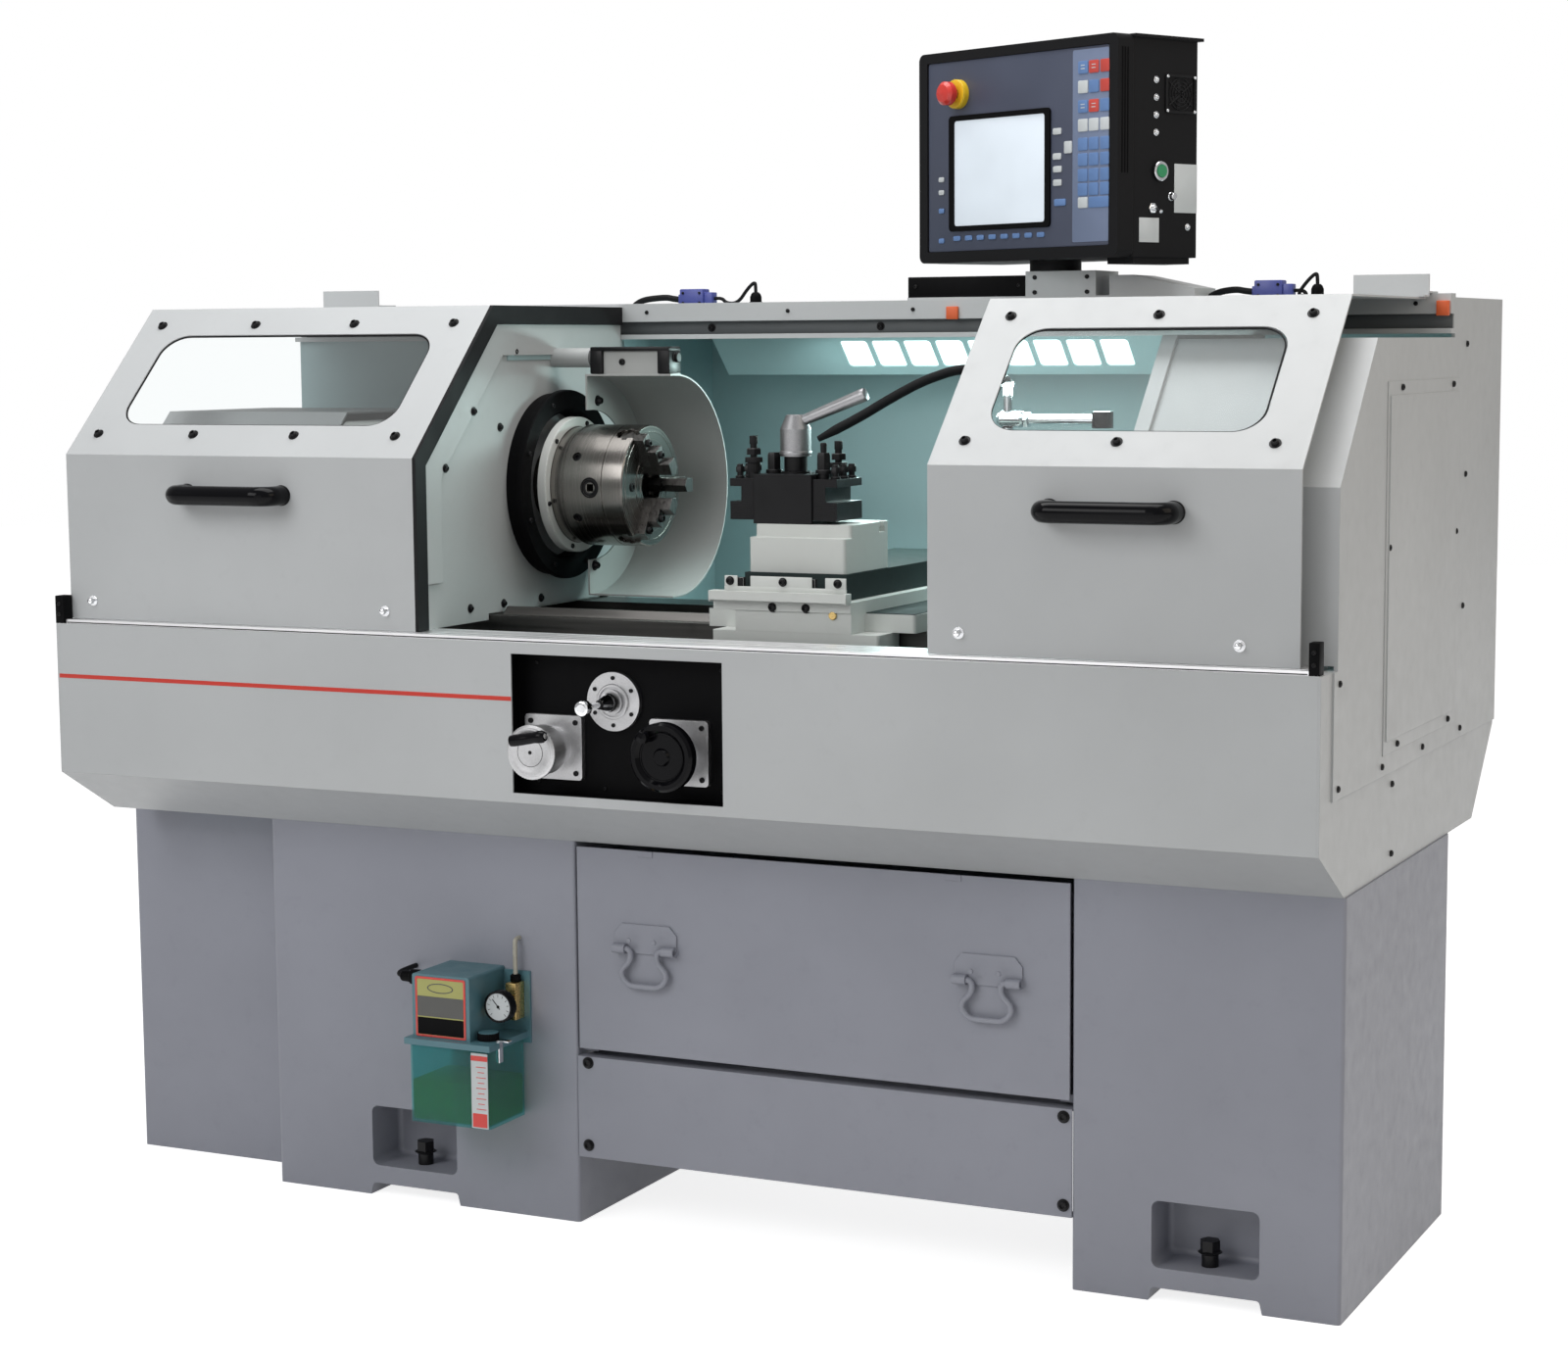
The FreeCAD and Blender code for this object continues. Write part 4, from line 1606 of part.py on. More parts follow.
def square_flange(centre):
    """A square encoder flange with its round neck, bored for the wheel's shaft."""
    x, z = centre
    half = WHEEL_FLANGE_SIZE / 2
    plate = block((x - half, x + half), (PANEL_FACE - WHEEL_FLANGE_THICK, PANEL_FACE),
                  (z - half, z + half))
    plate = round_along(plate, V(0, 1, 0), EDGE)
    neck = rod_y(x, z, WHEEL_NECK_RADIUS, (PANEL_FACE - WHEEL_NECK_LENGTH, PANEL_FACE - LAP))
    bore = rod_y(x, z, WHEEL_SHAFT_RADIUS + RUNNING, (WHEEL_BACK - LAP, PANEL_FACE + LAP))
    return fused([plate, neck]).cut(bore)


def make_wheel_flanges():
    """The two square encoder flanges and the jog stick's round one."""
    x, z = JOG_STICK
    bore = JOG_PIVOT_RADIUS + RUNNING
    face = PANEL_FACE - JOG_FLANGE_THICK
    jog = turned_y([(PANEL_FACE, bore), (PANEL_FACE, JOG_FLANGE_RADIUS), (face, JOG_FLANGE_RADIUS),
                    (face, JOG_NECK_RADIUS), (PANEL_FACE - JOG_NECK, JOG_NECK_RADIUS),
                    (PANEL_FACE - JOG_NECK, bore)], x, z)
    return group([square_flange(X_WHEEL), square_flange(Z_WHEEL), jog])


def wheel_shaft():
    """The profile of a wheel's shaft, from its inner end out to the wheel's back."""
    root = WHEEL_BACK + WHEEL_SHAFT_LENGTH
    return [(root, 0), (root, WHEEL_SHAFT_RADIUS), (WHEEL_BACK, WHEEL_SHAFT_RADIUS)]


def make_x_handwheel():
    """The bright handwheel: a stepped drum with a fold-down crank grip."""
    x, z = X_WHEEL
    front = X_WHEEL_FRONT
    step = WHEEL_BACK - X_WHEEL_HUB_LENGTH
    profile = wheel_shaft() + [(WHEEL_BACK, X_WHEEL_HUB_RADIUS), (step, X_WHEEL_HUB_RADIUS),
                               (step, X_WHEEL_DRUM_RADIUS), (front + X_WHEEL_RIM, X_WHEEL_DRUM_RADIUS)]
    for behind, inset in X_WHEEL_EDGE:
        profile.append((front + behind, X_WHEEL_RADIUS - inset))
    profile.append((front, 0))
    level = front - X_GRIP_RISE
    ends = [V(x + across, level, z + up) for across, up in X_GRIP_ENDS]
    across, up = X_LUG_PLACE
    lug = rod_y(x + across, z + up, X_LUG_RADIUS, (level, front + LAP))
    return fused([turned_y(profile, x, z), lug] + bar_along(ends, X_GRIP_RADIUS))


def make_z_handwheel():
    """The black handwheel: a dished disc on a bright collar, with a small crank grip."""
    x, z = Z_WHEEL
    front = Z_WHEEL_FRONT
    profile = wheel_shaft() + [(WHEEL_BACK, Z_WHEEL_COLLAR), (front + Z_WHEEL_DEPTH, Z_WHEEL_COLLAR)]
    for behind, inset in Z_WHEEL_EDGE:
        profile.append((front + behind, Z_WHEEL_RADIUS - inset))
    for behind, radius in Z_WHEEL_BOSS:
        profile.append((front + behind, radius))
    across, up = Z_GRIP_PLACE
    grip = turned_y([(front + behind, radius) for behind, radius in Z_GRIP], x + across, z + up)
    return fused([turned_y(profile, x, z), grip])


def make_jog_stick():
    """The jog stick: a pivot disc in its flange, a rubber cone, a stem and a bright cup knob."""
    x, z = JOG_STICK
    pivot = PANEL_FACE - JOG_PIVOT_RADIUS
    back = PANEL_FACE - JOG_NECK - JOG_STAND_OFF
    profile = [(pivot, 0), (pivot, JOG_STEM_RADIUS), (back, JOG_STEM_RADIUS)]
    for along, radius in JOG_CONE:
        profile.append((back - along, radius))
    profile.append((JOG_TIP + JOG_KNOB_LENGTH, JOG_STEM_RADIUS))
    for behind, inset in JOG_KNOB:
        profile.append((JOG_TIP + behind, JOG_KNOB_RADIUS - inset))
    profile.append((JOG_TIP, 0))
    disc_radius = math.sqrt(JOG_PIVOT_RADIUS ** 2 - JOG_PIVOT_HALF ** 2)
    disc = rod_z(x, pivot, disc_radius, (z - JOG_PIVOT_HALF, z + JOG_PIVOT_HALF))
    return fused([turned_y(profile, x, z), disc])


# ============================ lamp =========================================================

def lamp_slope(solid):
    """Lays a flat piece (X across, Y up the slope, Z to the front) on the lamp's slope."""
    (y0, z0), (y1, z1) = LAMP_LINE[2], LAMP_LINE[1]
    angle = math.degrees(math.atan2(z1 - z0, y1 - y0))
    return placed(solid, V(0, y0, z0), V(1, 0, 0), angle)


def make_lamp_panel():
    """The slanted sheet below the rear roof, with its row of lamp windows."""
    windows = []
    for i in range(LAMP_WINDOWS):
        left = LAMP_WINDOW_LEFT + i * LAMP_WINDOW_PITCH
        plate = block((left, left + LAMP_WINDOW_WIDTH),
                      (LAMP_WINDOW_LOW, LAMP_WINDOW_LOW + LAMP_WINDOW_HEIGHT),
                      (-LAMP_WINDOW_CUT, LAMP_WINDOW_CUT))
        windows.append(lamp_slope(round_along(plate, V(0, 0, 1), LAMP_WINDOW_RADIUS)))
    return folded_sheet(LAMP_LINE, -LAMP_SHEET, LAMP_X).cut(group(windows))


def make_work_lamp():
    """The diffuser that lies behind the windows."""
    right = LAMP_WINDOW_LEFT + (LAMP_WINDOWS - 1) * LAMP_WINDOW_PITCH + LAMP_WINDOW_WIDTH
    high = LAMP_WINDOW_LOW + LAMP_WINDOW_HEIGHT
    plate = block((LAMP_WINDOW_LEFT - DIFFUSER_MARGIN, right + DIFFUSER_MARGIN),
                  (LAMP_WINDOW_LOW - DIFFUSER_LAP, high + DIFFUSER_LAP),
                  (-DIFFUSER_THICK, 0))
    return lamp_slope(plate)


# ============================ console ======================================================

def console_place(solid):
    """Moves a piece drawn on the console's own axes to its place over the rear roof."""
    return placed(solid, V(*CONSOLE_CORNER), V(0, 0, 1), -CONSOLE_TURN)


CONSOLE_X = (CONSOLE_RIGHT - CONSOLE_WIDTH, CONSOLE_RIGHT)
CONSOLE_Z = (CONSOLE_LOW, CONSOLE_LOW + CONSOLE_HEIGHT)


def pivot_point():
    """The console's upright pivot, in machine axes."""
    turn = math.radians(CONSOLE_TURN)
    across, back = PIVOT_LOCAL
    return (CONSOLE_CORNER[0] + across * math.cos(turn) + back * math.sin(turn),
            CONSOLE_CORNER[1] - across * math.sin(turn) + back * math.cos(turn))


def make_control_bezel():
    """The console's front frame with its sunk face plate and the stop switch's collar."""
    frame = block(CONSOLE_X, (0, BEZEL_DEPTH), CONSOLE_Z)
    frame = round_along(frame, V(0, 1, 0), BEZEL_RADIUS)
    sunk = block((CONSOLE_X[0] + BEZEL_FRAME, CONSOLE_X[1] - BEZEL_FRAME), (-LAP, BEZEL_RECESS),
                 (CONSOLE_Z[0] + BEZEL_LOW_FRAME, CONSOLE_Z[1] - BEZEL_TOP_FRAME))
    x, z = ESTOP_LOCAL
    face = BEZEL_RECESS - ESTOP_DISC_HEIGHT
    collar = rod_y(x, z, ESTOP_DISC_RADIUS, (face, BEZEL_RECESS + LAP))
    bore = rod_y(x, z, ESTOP_STEM + GAP, (face - LAP, BEZEL_DEPTH - ESTOP_WALL))
    return console_place(fused([frame.cut(sunk), collar]).cut(bore))


def make_control_housing():
    """The console's rear box with its lid, side switch ring, foot and pivot boss."""
    left, right = CONSOLE_X[0] + HOUSING_INSET, CONSOLE_X[1] - HOUSING_SIDE_INSET
    low, high = CONSOLE_Z[0], CONSOLE_Z[1] - LID_THICK
    front, back = BEZEL_DEPTH, BEZEL_DEPTH + HOUSING_DEPTH
    box = round_along(block((left, right), (front, back), (low, high)), V(0, 0, 1), HOUSING_EDGE)
    lid = block((left - LID_OVERHANG, right + LID_OVERHANG), (front, back + LID_OVERHANG),
                (high, high + LID_THICK))
    foot = block((right - FOOT_SPAN[1], right - FOOT_SPAN[0]),
                 (front + FOOT_INSET[0], back - FOOT_INSET[1]), (low - FOOT_HEIGHT, low + LAP))
    px, py = PIVOT_LOCAL
    seat = ARM_TOP - CONSOLE_CORNER[2] + GAP
    boss = rod_z(px, py, PIVOT_BOSS_RADIUS, (seat, low + LAP))
    bore = rod_z(px, py, PIVOT_RADIUS + RUNNING, (seat - LAP, seat + PIVOT_LENGTH + LAP))
    sy, sz = START_LOCAL
    ring = rod_x(sy, sz, START_RING_RADIUS, (right - LAP, right + START_RING_HEIGHT))
    ring_bore = rod_x(sy, sz, START_RADIUS + GAP,
                      (right - START_DEPTH, right + START_RING_HEIGHT + LAP))
    return console_place(fused([box, lid, foot, boss, ring]).cut(group([bore, ring_bore])))


def make_estop_button():
    """The mushroom-headed stop button on its stem."""
    x, z = ESTOP_LOCAL
    root = BEZEL_DEPTH - ESTOP_WALL - ESTOP_TRAVEL - LAP
    head = BEZEL_RECESS - ESTOP_DISC_HEIGHT - ESTOP_TRAVEL - 2 * LAP
    profile = [(root, 0), (root, ESTOP_STEM), (head, ESTOP_STEM)]
    for rise, inset in ESTOP_HEAD:
        profile.append((head - rise, ESTOP_RADIUS - inset))
    return console_place(turned_y(profile, x, z))


def make_start_button():
    """The round push button on the console's right side."""
    sy, sz = START_LOCAL
    wall = CONSOLE_X[1] - HOUSING_SIDE_INSET
    out = START_TRAVEL + LAP
    button = rod_x(sy, sz, START_RADIUS, (wall - START_DEPTH + out, wall + START_RING_HEIGHT + out))
    return console_place(button)


def make_control_arm():
    """The console's base on the roof: plate, channel, column, sloped cable cover and pin."""
    low = TOP_RAIL_TOP + ARM_PLATE
    plate = block(ARM_X, ARM_Y, (TOP_RAIL_TOP, low))
    channel = block((ARM_X[0], ARM_CHANNEL_RIGHT), (ARM_Y[0] + ARM_INSET, ARM_Y[1] - ARM_INSET),
                    (low, ARM_TOP - ARM_CHANNEL_DROP))
    column = block((ARM_CHANNEL_RIGHT, ARM_POST_RIGHT), ARM_Y, (low, ARM_TOP))
    high = ARM_TOP - ARM_SLANT_DROP
    slant = prism_y([(ARM_SLANT_LEFT, low), (ARM_X[1], low), (ARM_X[1], low + ARM_SLANT_END),
                     (ARM_SLANT_LEFT + ARM_SLANT_LEVEL, high), (ARM_SLANT_LEFT, high)], ARM_Y)
    px, py = pivot_point()
    pin = rod_z(px, py, PIVOT_RADIUS, (ARM_TOP - ARM_INSET, ARM_TOP + PIVOT_LENGTH))
    return fused([plate, channel, column, slant, pin])


# ============================ lubricator ===================================================

TANK_Y = (BASE_FRONT - PUMP_PLATE_THICK - TANK_DEPTH, BASE_FRONT - PUMP_PLATE_THICK)
TANK_TOP = PUMP_Z[0] - LID_THICKNESS


def make_lubricator_pump():
    """The pump's back plate, housing, tank lid, gauge, brass block and filler cap."""
    back = BASE_FRONT
    plate = block((PUMP_X[0], PUMP_PLATE_RIGHT), (back - PUMP_PLATE_THICK, back), PUMP_PLATE_Z)
    box = block(PUMP_X, (back - PUMP_DEPTH, back), PUMP_Z)
    box = round_along(box, V(0, 1, 0), PUMP_EDGE, lambda p: p.z > PUMP_Z[0] + LAP)
    lid = block((TANK_X[0] - LID_FLANGE, TANK_X[1] + LID_FLANGE),
                (TANK_Y[0] - LID_FLANGE, TANK_Y[1]), (TANK_TOP, PUMP_Z[0]))
    gauge = rod_y(GAUGE_X, GAUGE_Z, GAUGE_RADIUS, (back - GAUGE_DEPTH[1], back - GAUGE_DEPTH[0]))
    stem = rod_y(GAUGE_X, GAUGE_Z, GAUGE_STEM_RADIUS,
                 (back - GAUGE_DEPTH[0] - LAP, back - BRASS_DEPTH + LAP))
    brass = block((GAUGE_X - BRASS_WIDTH[0], GAUGE_X + BRASS_WIDTH[1]),
                  (back - BRASS_DEPTH, back - PUMP_PLATE_THICK),
                  (GAUGE_Z - BRASS_RISE[0], GAUGE_Z + BRASS_RISE[1]))
    tube_y = back - OIL_TUBE_SETBACK
    tube_top = GAUGE_Z + OIL_TUBE_RISE
    tube = swept_tube([V(GAUGE_X, tube_y, GAUGE_Z + BRASS_RISE[1] - LAP), V(GAUGE_X, tube_y, tube_top),
                       V(GAUGE_X, back, tube_top)], OIL_TUBE_RADIUS)
    cap = rod_z(PUMP_X[1] + FILLER_PLACE[0], TANK_Y[0] + FILLER_PLACE[1], FILLER_RADIUS,
                (PUMP_Z[0] - LAP, PUMP_Z[0] + FILLER_HEIGHT))
    gland = rod_x(back - GLAND_PLACE[0], PUMP_Z[1] - GLAND_PLACE[1], GLAND_RADIUS,
                  (PUMP_X[0] - GLAND_LENGTH, PUMP_X[0] + LAP))
    return fused([plate, box, lid, gauge, stem, brass, tube, cap, gland])


def make_lubricator_tank():
    """The clear oil tank, open at its top below the lid."""
    outer = block(TANK_X, TANK_Y, (TANK_LOW, TANK_TOP))
    outer = round_along(outer, V(0, 0, 1), TANK_CORNER)
    inner = block((TANK_X[0] + TANK_WALL, TANK_X[1] - TANK_WALL),
                  (TANK_Y[0] + TANK_WALL, TANK_Y[1] - TANK_WALL),
                  (TANK_LOW + TANK_WALL, PUMP_Z[0]))
    inner = round_along(inner, V(0, 0, 1), TANK_CORNER - TANK_WALL)
    return outer.cut(inner)


# ============================ all nodes ====================================================

def all_nodes():
    nodes = {
        "left_pedestal": pedestal(LEFT_PEDESTAL, LEFT_POCKET_X, 1),
        "right_pedestal": pedestal(RIGHT_PEDESTAL, RIGHT_POCKET_X, -1),
        "motor_cabinet": make_motor_cabinet(),
        "lower_panel": make_lower_panel(),
        "leveling_bolts": make_leveling_bolts(),
        "fascia": make_fascia(),
        "recess_panel": make_recess_panel(),
        "front_rail": make_front_rail(),
        "top_rail": make_top_rail(),
        "rear_enclosure": make_rear_enclosure(),
        "lamp_panel": make_lamp_panel(),
        "work_lamp": make_work_lamp(),
        "right_end_cover": make_right_end_cover(),
        "right_access_panel": make_right_access_panel(),
        "bulkhead": make_bulkhead(),
        "gear_cover": make_gear_cover(),
        "headstock": make_headstock(),
        "spindle_bearings": make_spindle_bearings(),
        "spindle_motor": make_spindle_motor(),
        "drive_belt": make_drive_belt(),
        "bed": make_bed(),
        "control_arm": make_control_arm(),
        "lubricator_pump": make_lubricator_pump(),
        "lubricator_tank": make_lubricator_tank(),
        "wheel_flanges": make_wheel_flanges(),
        "left_door": door(LEFT_DOOR_X, LEFT_HANGER_X),
        "left_window": door_window(LEFT_DOOR_X),
        "left_door_seal": make_left_door_seal(),
        "left_handle": door_handle(LEFT_HANDLE_X),
        "right_door": door(RIGHT_DOOR_X, RIGHT_HANGER_X),
        "right_window": door_window(RIGHT_DOOR_X),
        "right_handle": door_handle(RIGHT_HANDLE_X),
        "spindle": make_spindle(),
        "chuck_body": make_chuck_body(),
        "chuck_scroll": make_chuck_scroll(),
        "motor_pulley": make_motor_pulley(),
        "chuck_guard": make_chuck_guard(),
        "z_ball_screw": make_z_ball_screw(),
        "saddle": make_saddle(),
        "cross_slide": make_cross_slide(),
        "slide_block": make_slide_block(),
        "toolpost": make_toolpost(),
        "toolpost_lever": make_toolpost_lever(),
        "coolant_line": make_coolant_line(),
        "tailstock": make_tailstock(),
        "tailstock_quill": make_tailstock_quill(),
        "tailstock_wheel": make_tailstock_wheel(),
        "x_handwheel": make_x_handwheel(),
        "z_handwheel": make_z_handwheel(),
        "jog_stick": make_jog_stick(),
        "chip_drawer": make_chip_drawer(),
        "drawer_bail_left": make_bail(BAIL_X[0]),
        "drawer_bail_right": make_bail(BAIL_X[1]),
        "control_housing": make_control_housing(),
        "control_bezel": make_control_bezel(),
        "estop_button": make_estop_button(),
        "start_button": make_start_button(),
    }
    for number, turn in enumerate(JAW_TURNS, start=1):
        nodes["chuck_jaw_%d" % number] = make_jaw(turn)
    return nodes


def export_all():
    """Moves every piece so that the origin is under the machine's middle, and writes it."""
    os.makedirs("parts", exist_ok=True)
    nodes = all_nodes()
    box = Part.makeCompound(list(nodes.values())).BoundBox
    shift = V(-box.Center.x, -box.Center.y, -box.ZMin)
    print("shift", round(shift.x, 3), round(shift.y, 3), round(shift.z, 3))
    for name, shape in nodes.items():
        moved = shape.copy()
        moved.translate(shift)
        moved.exportStep("parts/%s.step" % name)
        print(name, len(moved.Solids), moved.isValid(), round(moved.Volume / 1e3, 1))


export_all()
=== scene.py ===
"""A turning lathe in a plain studio: finishes for the frame's solids and the pieces round them.

Lengths in the tables below are millimetres on the machine's own axes: X from the middle of the
apron towards the tailstock, Y from the apron's front face to the back, Z up from the floor.
"""

import math

import bmesh
import bpy
from mathutils import Matrix, Vector


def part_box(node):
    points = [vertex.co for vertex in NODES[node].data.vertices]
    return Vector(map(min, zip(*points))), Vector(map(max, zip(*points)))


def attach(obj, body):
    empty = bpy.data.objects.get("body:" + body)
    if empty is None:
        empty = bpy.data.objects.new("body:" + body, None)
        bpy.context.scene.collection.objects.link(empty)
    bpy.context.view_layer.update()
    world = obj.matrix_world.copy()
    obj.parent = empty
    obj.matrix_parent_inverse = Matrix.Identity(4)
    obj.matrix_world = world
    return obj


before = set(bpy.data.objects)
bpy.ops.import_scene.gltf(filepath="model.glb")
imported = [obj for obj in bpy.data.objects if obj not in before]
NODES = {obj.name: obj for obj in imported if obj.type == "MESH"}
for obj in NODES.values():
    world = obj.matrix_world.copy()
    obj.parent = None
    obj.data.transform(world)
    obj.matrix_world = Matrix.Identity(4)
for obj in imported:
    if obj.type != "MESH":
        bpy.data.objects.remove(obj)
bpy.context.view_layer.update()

# ---- where the machine's axes lie in the frame ------------------------------------------
MM = 0.001
APRON_LEFT = -1062.0
APRON_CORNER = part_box("fascia")[0]
ORIGIN = Vector((APRON_CORNER.x - APRON_LEFT * MM, APRON_CORNER.y, 0.0))
MACHINE = Matrix.Translation(ORIGIN) @ Matrix.Scale(MM, 4)
STILL = Matrix.Identity(4)
ALONG = (1.0, 0.0, 0.0)
INWARD = (0.0, 1.0, 0.0)
UP = (0.0, 0.0, 1.0)
SPINDLE = (460.0, 1155.0)


def at(x, y, z):
    """A point given in machine millimetres, in the frame's metres."""
    return ORIGIN + Vector((x, y, z)) * MM


def plane(origin, right, up):
    """A placement whose local X is right, local Y is up and local Z points off the surface.

    Local lengths are millimetres."""
    right = Vector(right).normalized()
    up = Vector(up).normalized()
    turn = Matrix((right, up, right.cross(up))).transposed().to_4x4()
    return Matrix.Translation(at(*origin)) @ turn @ Matrix.Scale(MM, 4)


def front_plane(y):
    """A place on an upright surface that faces the front."""
    return plane((0, y, 0), ALONG, UP)


def end_plane(x, y=0.0, z=0.0):
    """A place on an upright surface that faces the tailstock's end."""
    return plane((x, y, z), INWARD, UP)


def spindle_plane(x=0.0):
    return end_plane(x, *SPINDLE)


def towards(start, end):
    """A placement at start, in machine millimetres, whose Z runs to end."""
    run = Vector(end) - Vector(start)
    turn = run.to_track_quat("Z", "Y").to_matrix().to_4x4()
    return Matrix.Translation(at(*start)) @ turn @ Matrix.Scale(MM, 4)


def shift(x, y, z=0.0):
    return Matrix.Translation((x, y, z))


def spin(turn_deg, axis="Z"):
    return Matrix.Rotation(math.radians(turn_deg), 4, axis)


# ---- sizes that the frame's solids fix --------------------------------------------------
def face_of(node, axis, side):
    """A machine coordinate of a node's box: side 0 is its low face, side 1 its high face."""
    return (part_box(node)[side][axis] - ORIGIN[axis]) / MM


RECESS_FACE = face_of("wheel_flanges", 1, 1)
DRAWER_FACE = face_of("chip_drawer", 1, 0)
PANEL_FACE = face_of("lower_panel", 1, 0)
PANEL_TOP = face_of("lower_panel", 2, 1)
CHUCK_FACE = -201.6
BACKPLATE_FACE = -337.5
SPLASH_RING_FACE = -355.5
WALL_FACE = -388.0
RIGHT_FACE = 1065.0
ARM_FRONT = 692.0
ROOF = 1450.0
X_WHEEL = (-144.0, 777.0)
Z_WHEEL = (72.0, 779.0)
JOG_STICK = (-40.0, 851.0)
TOOLPOST = (156.0, 267.0)
STANDPIPE = (358.0, 640.0)
DOOR_FRONT = 24.0
DOOR_FOLD = 1214.0
DOOR_TOP = (263.0, 1450.3)
DOOR_LEAN = math.atan2(DOOR_TOP[1] - DOOR_FOLD, DOOR_TOP[0] - DOOR_FRONT)
DOOR_FACE = front_plane(DOOR_FRONT)
DOOR_SLOPE = plane((0, DOOR_FRONT, DOOR_FOLD), ALONG, (0, math.cos(DOOR_LEAN), math.sin(DOOR_LEAN)))
CONSOLE_TURN = math.radians(25.4)
CONSOLE_CORNER = Vector((558.0, 557.5, 1535.0))
CONSOLE_RIGHT = Vector((math.cos(CONSOLE_TURN), -math.sin(CONSOLE_TURN), 0.0))
CONSOLE_BACK = Vector((math.sin(CONSOLE_TURN), math.cos(CONSOLE_TURN), 0.0))
CONSOLE_FACE = plane(CONSOLE_CORNER, CONSOLE_RIGHT, UP)


# ---- mesh helpers -----------------------------------------------------------------------
SMOOTH_TURN = math.radians(35.0)


def finish_piece(name, mesh, body, materials, slot=None):
    """Links a mesh as a piece that rides on a body; its slot, which goes by its first material, is
    worked out but not used.
    """
    slot = slot or SLOTS[materials[0].name]
    for material in materials:
        mesh.materials.append(material)
    piece = bpy.data.objects.new(name, mesh)
    bpy.context.scene.collection.objects.link(piece)
    mesh.shade_smooth()
    mesh.set_sharp_from_angle(angle=SMOOTH_TURN)
    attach(piece, body)


def build(name, body, materials, place, *shapes, slot=None):
    """One piece out of shapes in the millimetres of a place.

    A shape comes alone, with its local placement, or with that and its material's number."""
    materials = materials if isinstance(materials, tuple) else (materials,)
    whole = bmesh.new()
    for entry in shapes:
        shape, local, number = (*entry, 0)[:3] if isinstance(entry, tuple) else (entry, STILL, 0)
        for face in shape.faces:
            face.material_index = number
        bmesh.ops.transform(shape, matrix=place @ local, verts=shape.verts)
        spare = bpy.data.meshes.new("spare")
        shape.to_mesh(spare)
        shape.free()
        whole.from_mesh(spare)
        bpy.data.meshes.remove(spare)
    bmesh.ops.recalc_face_normals(whole, faces=whole.faces)
    mesh = bpy.data.meshes.new(name)
    whole.to_mesh(mesh)
    whole.free()
    finish_piece(name, mesh, body, materials, slot)


def turned(profile, sides, ring_shaped=False):
    """A turned shape about local Z: (height, radius) points from the foot to the top.

    A ring-shaped one joins its last point to its first and has no end caps."""
    shape = bmesh.new()
    turns = [2 * math.pi * i / sides for i in range(sides)]
    rings = []
    for height, radius in profile:
        spots = [(radius * math.cos(turn), radius * math.sin(turn)) for turn in turns]
        rings.append([shape.verts.new((x, y, height))
                      for x, y in (spots if radius > 0 else [(0, 0)])])
    pairs = list(zip(rings[:-1], rings[1:]))
    if ring_shaped:
        pairs.append((rings[-1], rings[0]))
    for low, high in pairs:
        if len(low) == 1 and len(high) == 1:
            continue
        for i in range(sides):
            j = (i + 1) % sides
            if len(low) == 1:
                shape.faces.new((low[0], high[i], high[j]))
            elif len(high) == 1:
                shape.faces.new((low[j], low[i], high[0]))
            else:
                shape.faces.new((low[i], low[j], high[j], high[i]))
    if not ring_shaped:
        for ring in (rings[0][::-1], rings[-1]):
            if len(ring) > 1:
                shape.faces.new(ring)
    return shape


def rounded_outline(width, height, corner, segments=4):
    """The corner points of a rectangle with round corners, counter-clockwise."""
    points = []
    corner = min(corner, width / 2, height / 2)
    for cx, cy, start in ((1, 1, 0), (-1, 1, 90), (-1, -1, 180), (1, -1, 270)):
        for i in range(segments + 1):
            turn = math.radians(start + 90 * i / segments)
            points.append((cx * (width / 2 - corner) + corner * math.cos(turn),
                           cy * (height / 2 - corner) + corner * math.sin(turn)))
    return points


def raised(outline, depth, round_edge):
    """A flat outline raised along local Z, with its upper edge rounded."""
    shape = bmesh.new()
    bottom = shape.faces.new([shape.verts.new((x, y, 0)) for x, y in outline])
    top = bmesh.ops.extrude_face_region(shape, geom=[bottom])
    lifted = [v for v in top["geom"] if isinstance(v, bmesh.types.BMVert)]
    bmesh.ops.translate(shape, verts=lifted, vec=(0, 0, depth))
    if round_edge > 0:
        edges = [e for e in shape.edges if all(abs(v.co.z - depth) < 1e-6 for v in e.verts)]
        bmesh.ops.bevel(shape, geom=edges, offset=round_edge, segments=2, affect="EDGES",
                        profile=0.5)
    return shape


def slab(width, height, depth, corner, round_edge=0.0):
    """A plate with round corners that stands on local Z = 0, centred in X and Y."""
    return raised(rounded_outline(width, height, corner, 3), depth, round_edge)


def box(x, y, z, edge, segments=2):
    """A box from its low and high X, Y and Z, with every edge rounded."""
    shape = bmesh.new()
    bmesh.ops.create_cube(shape, size=1.0)
    bmesh.ops.scale(shape, vec=[high - low for low, high in (x, y, z)], verts=shape.verts)
    bmesh.ops.translate(shape, vec=[(low + high) / 2 for low, high in (x, y, z)], verts=shape.verts)
    bmesh.ops.bevel(shape, geom=list(shape.edges), offset=edge, segments=segments, affect="EDGES",
                    profile=0.5)
    return shape


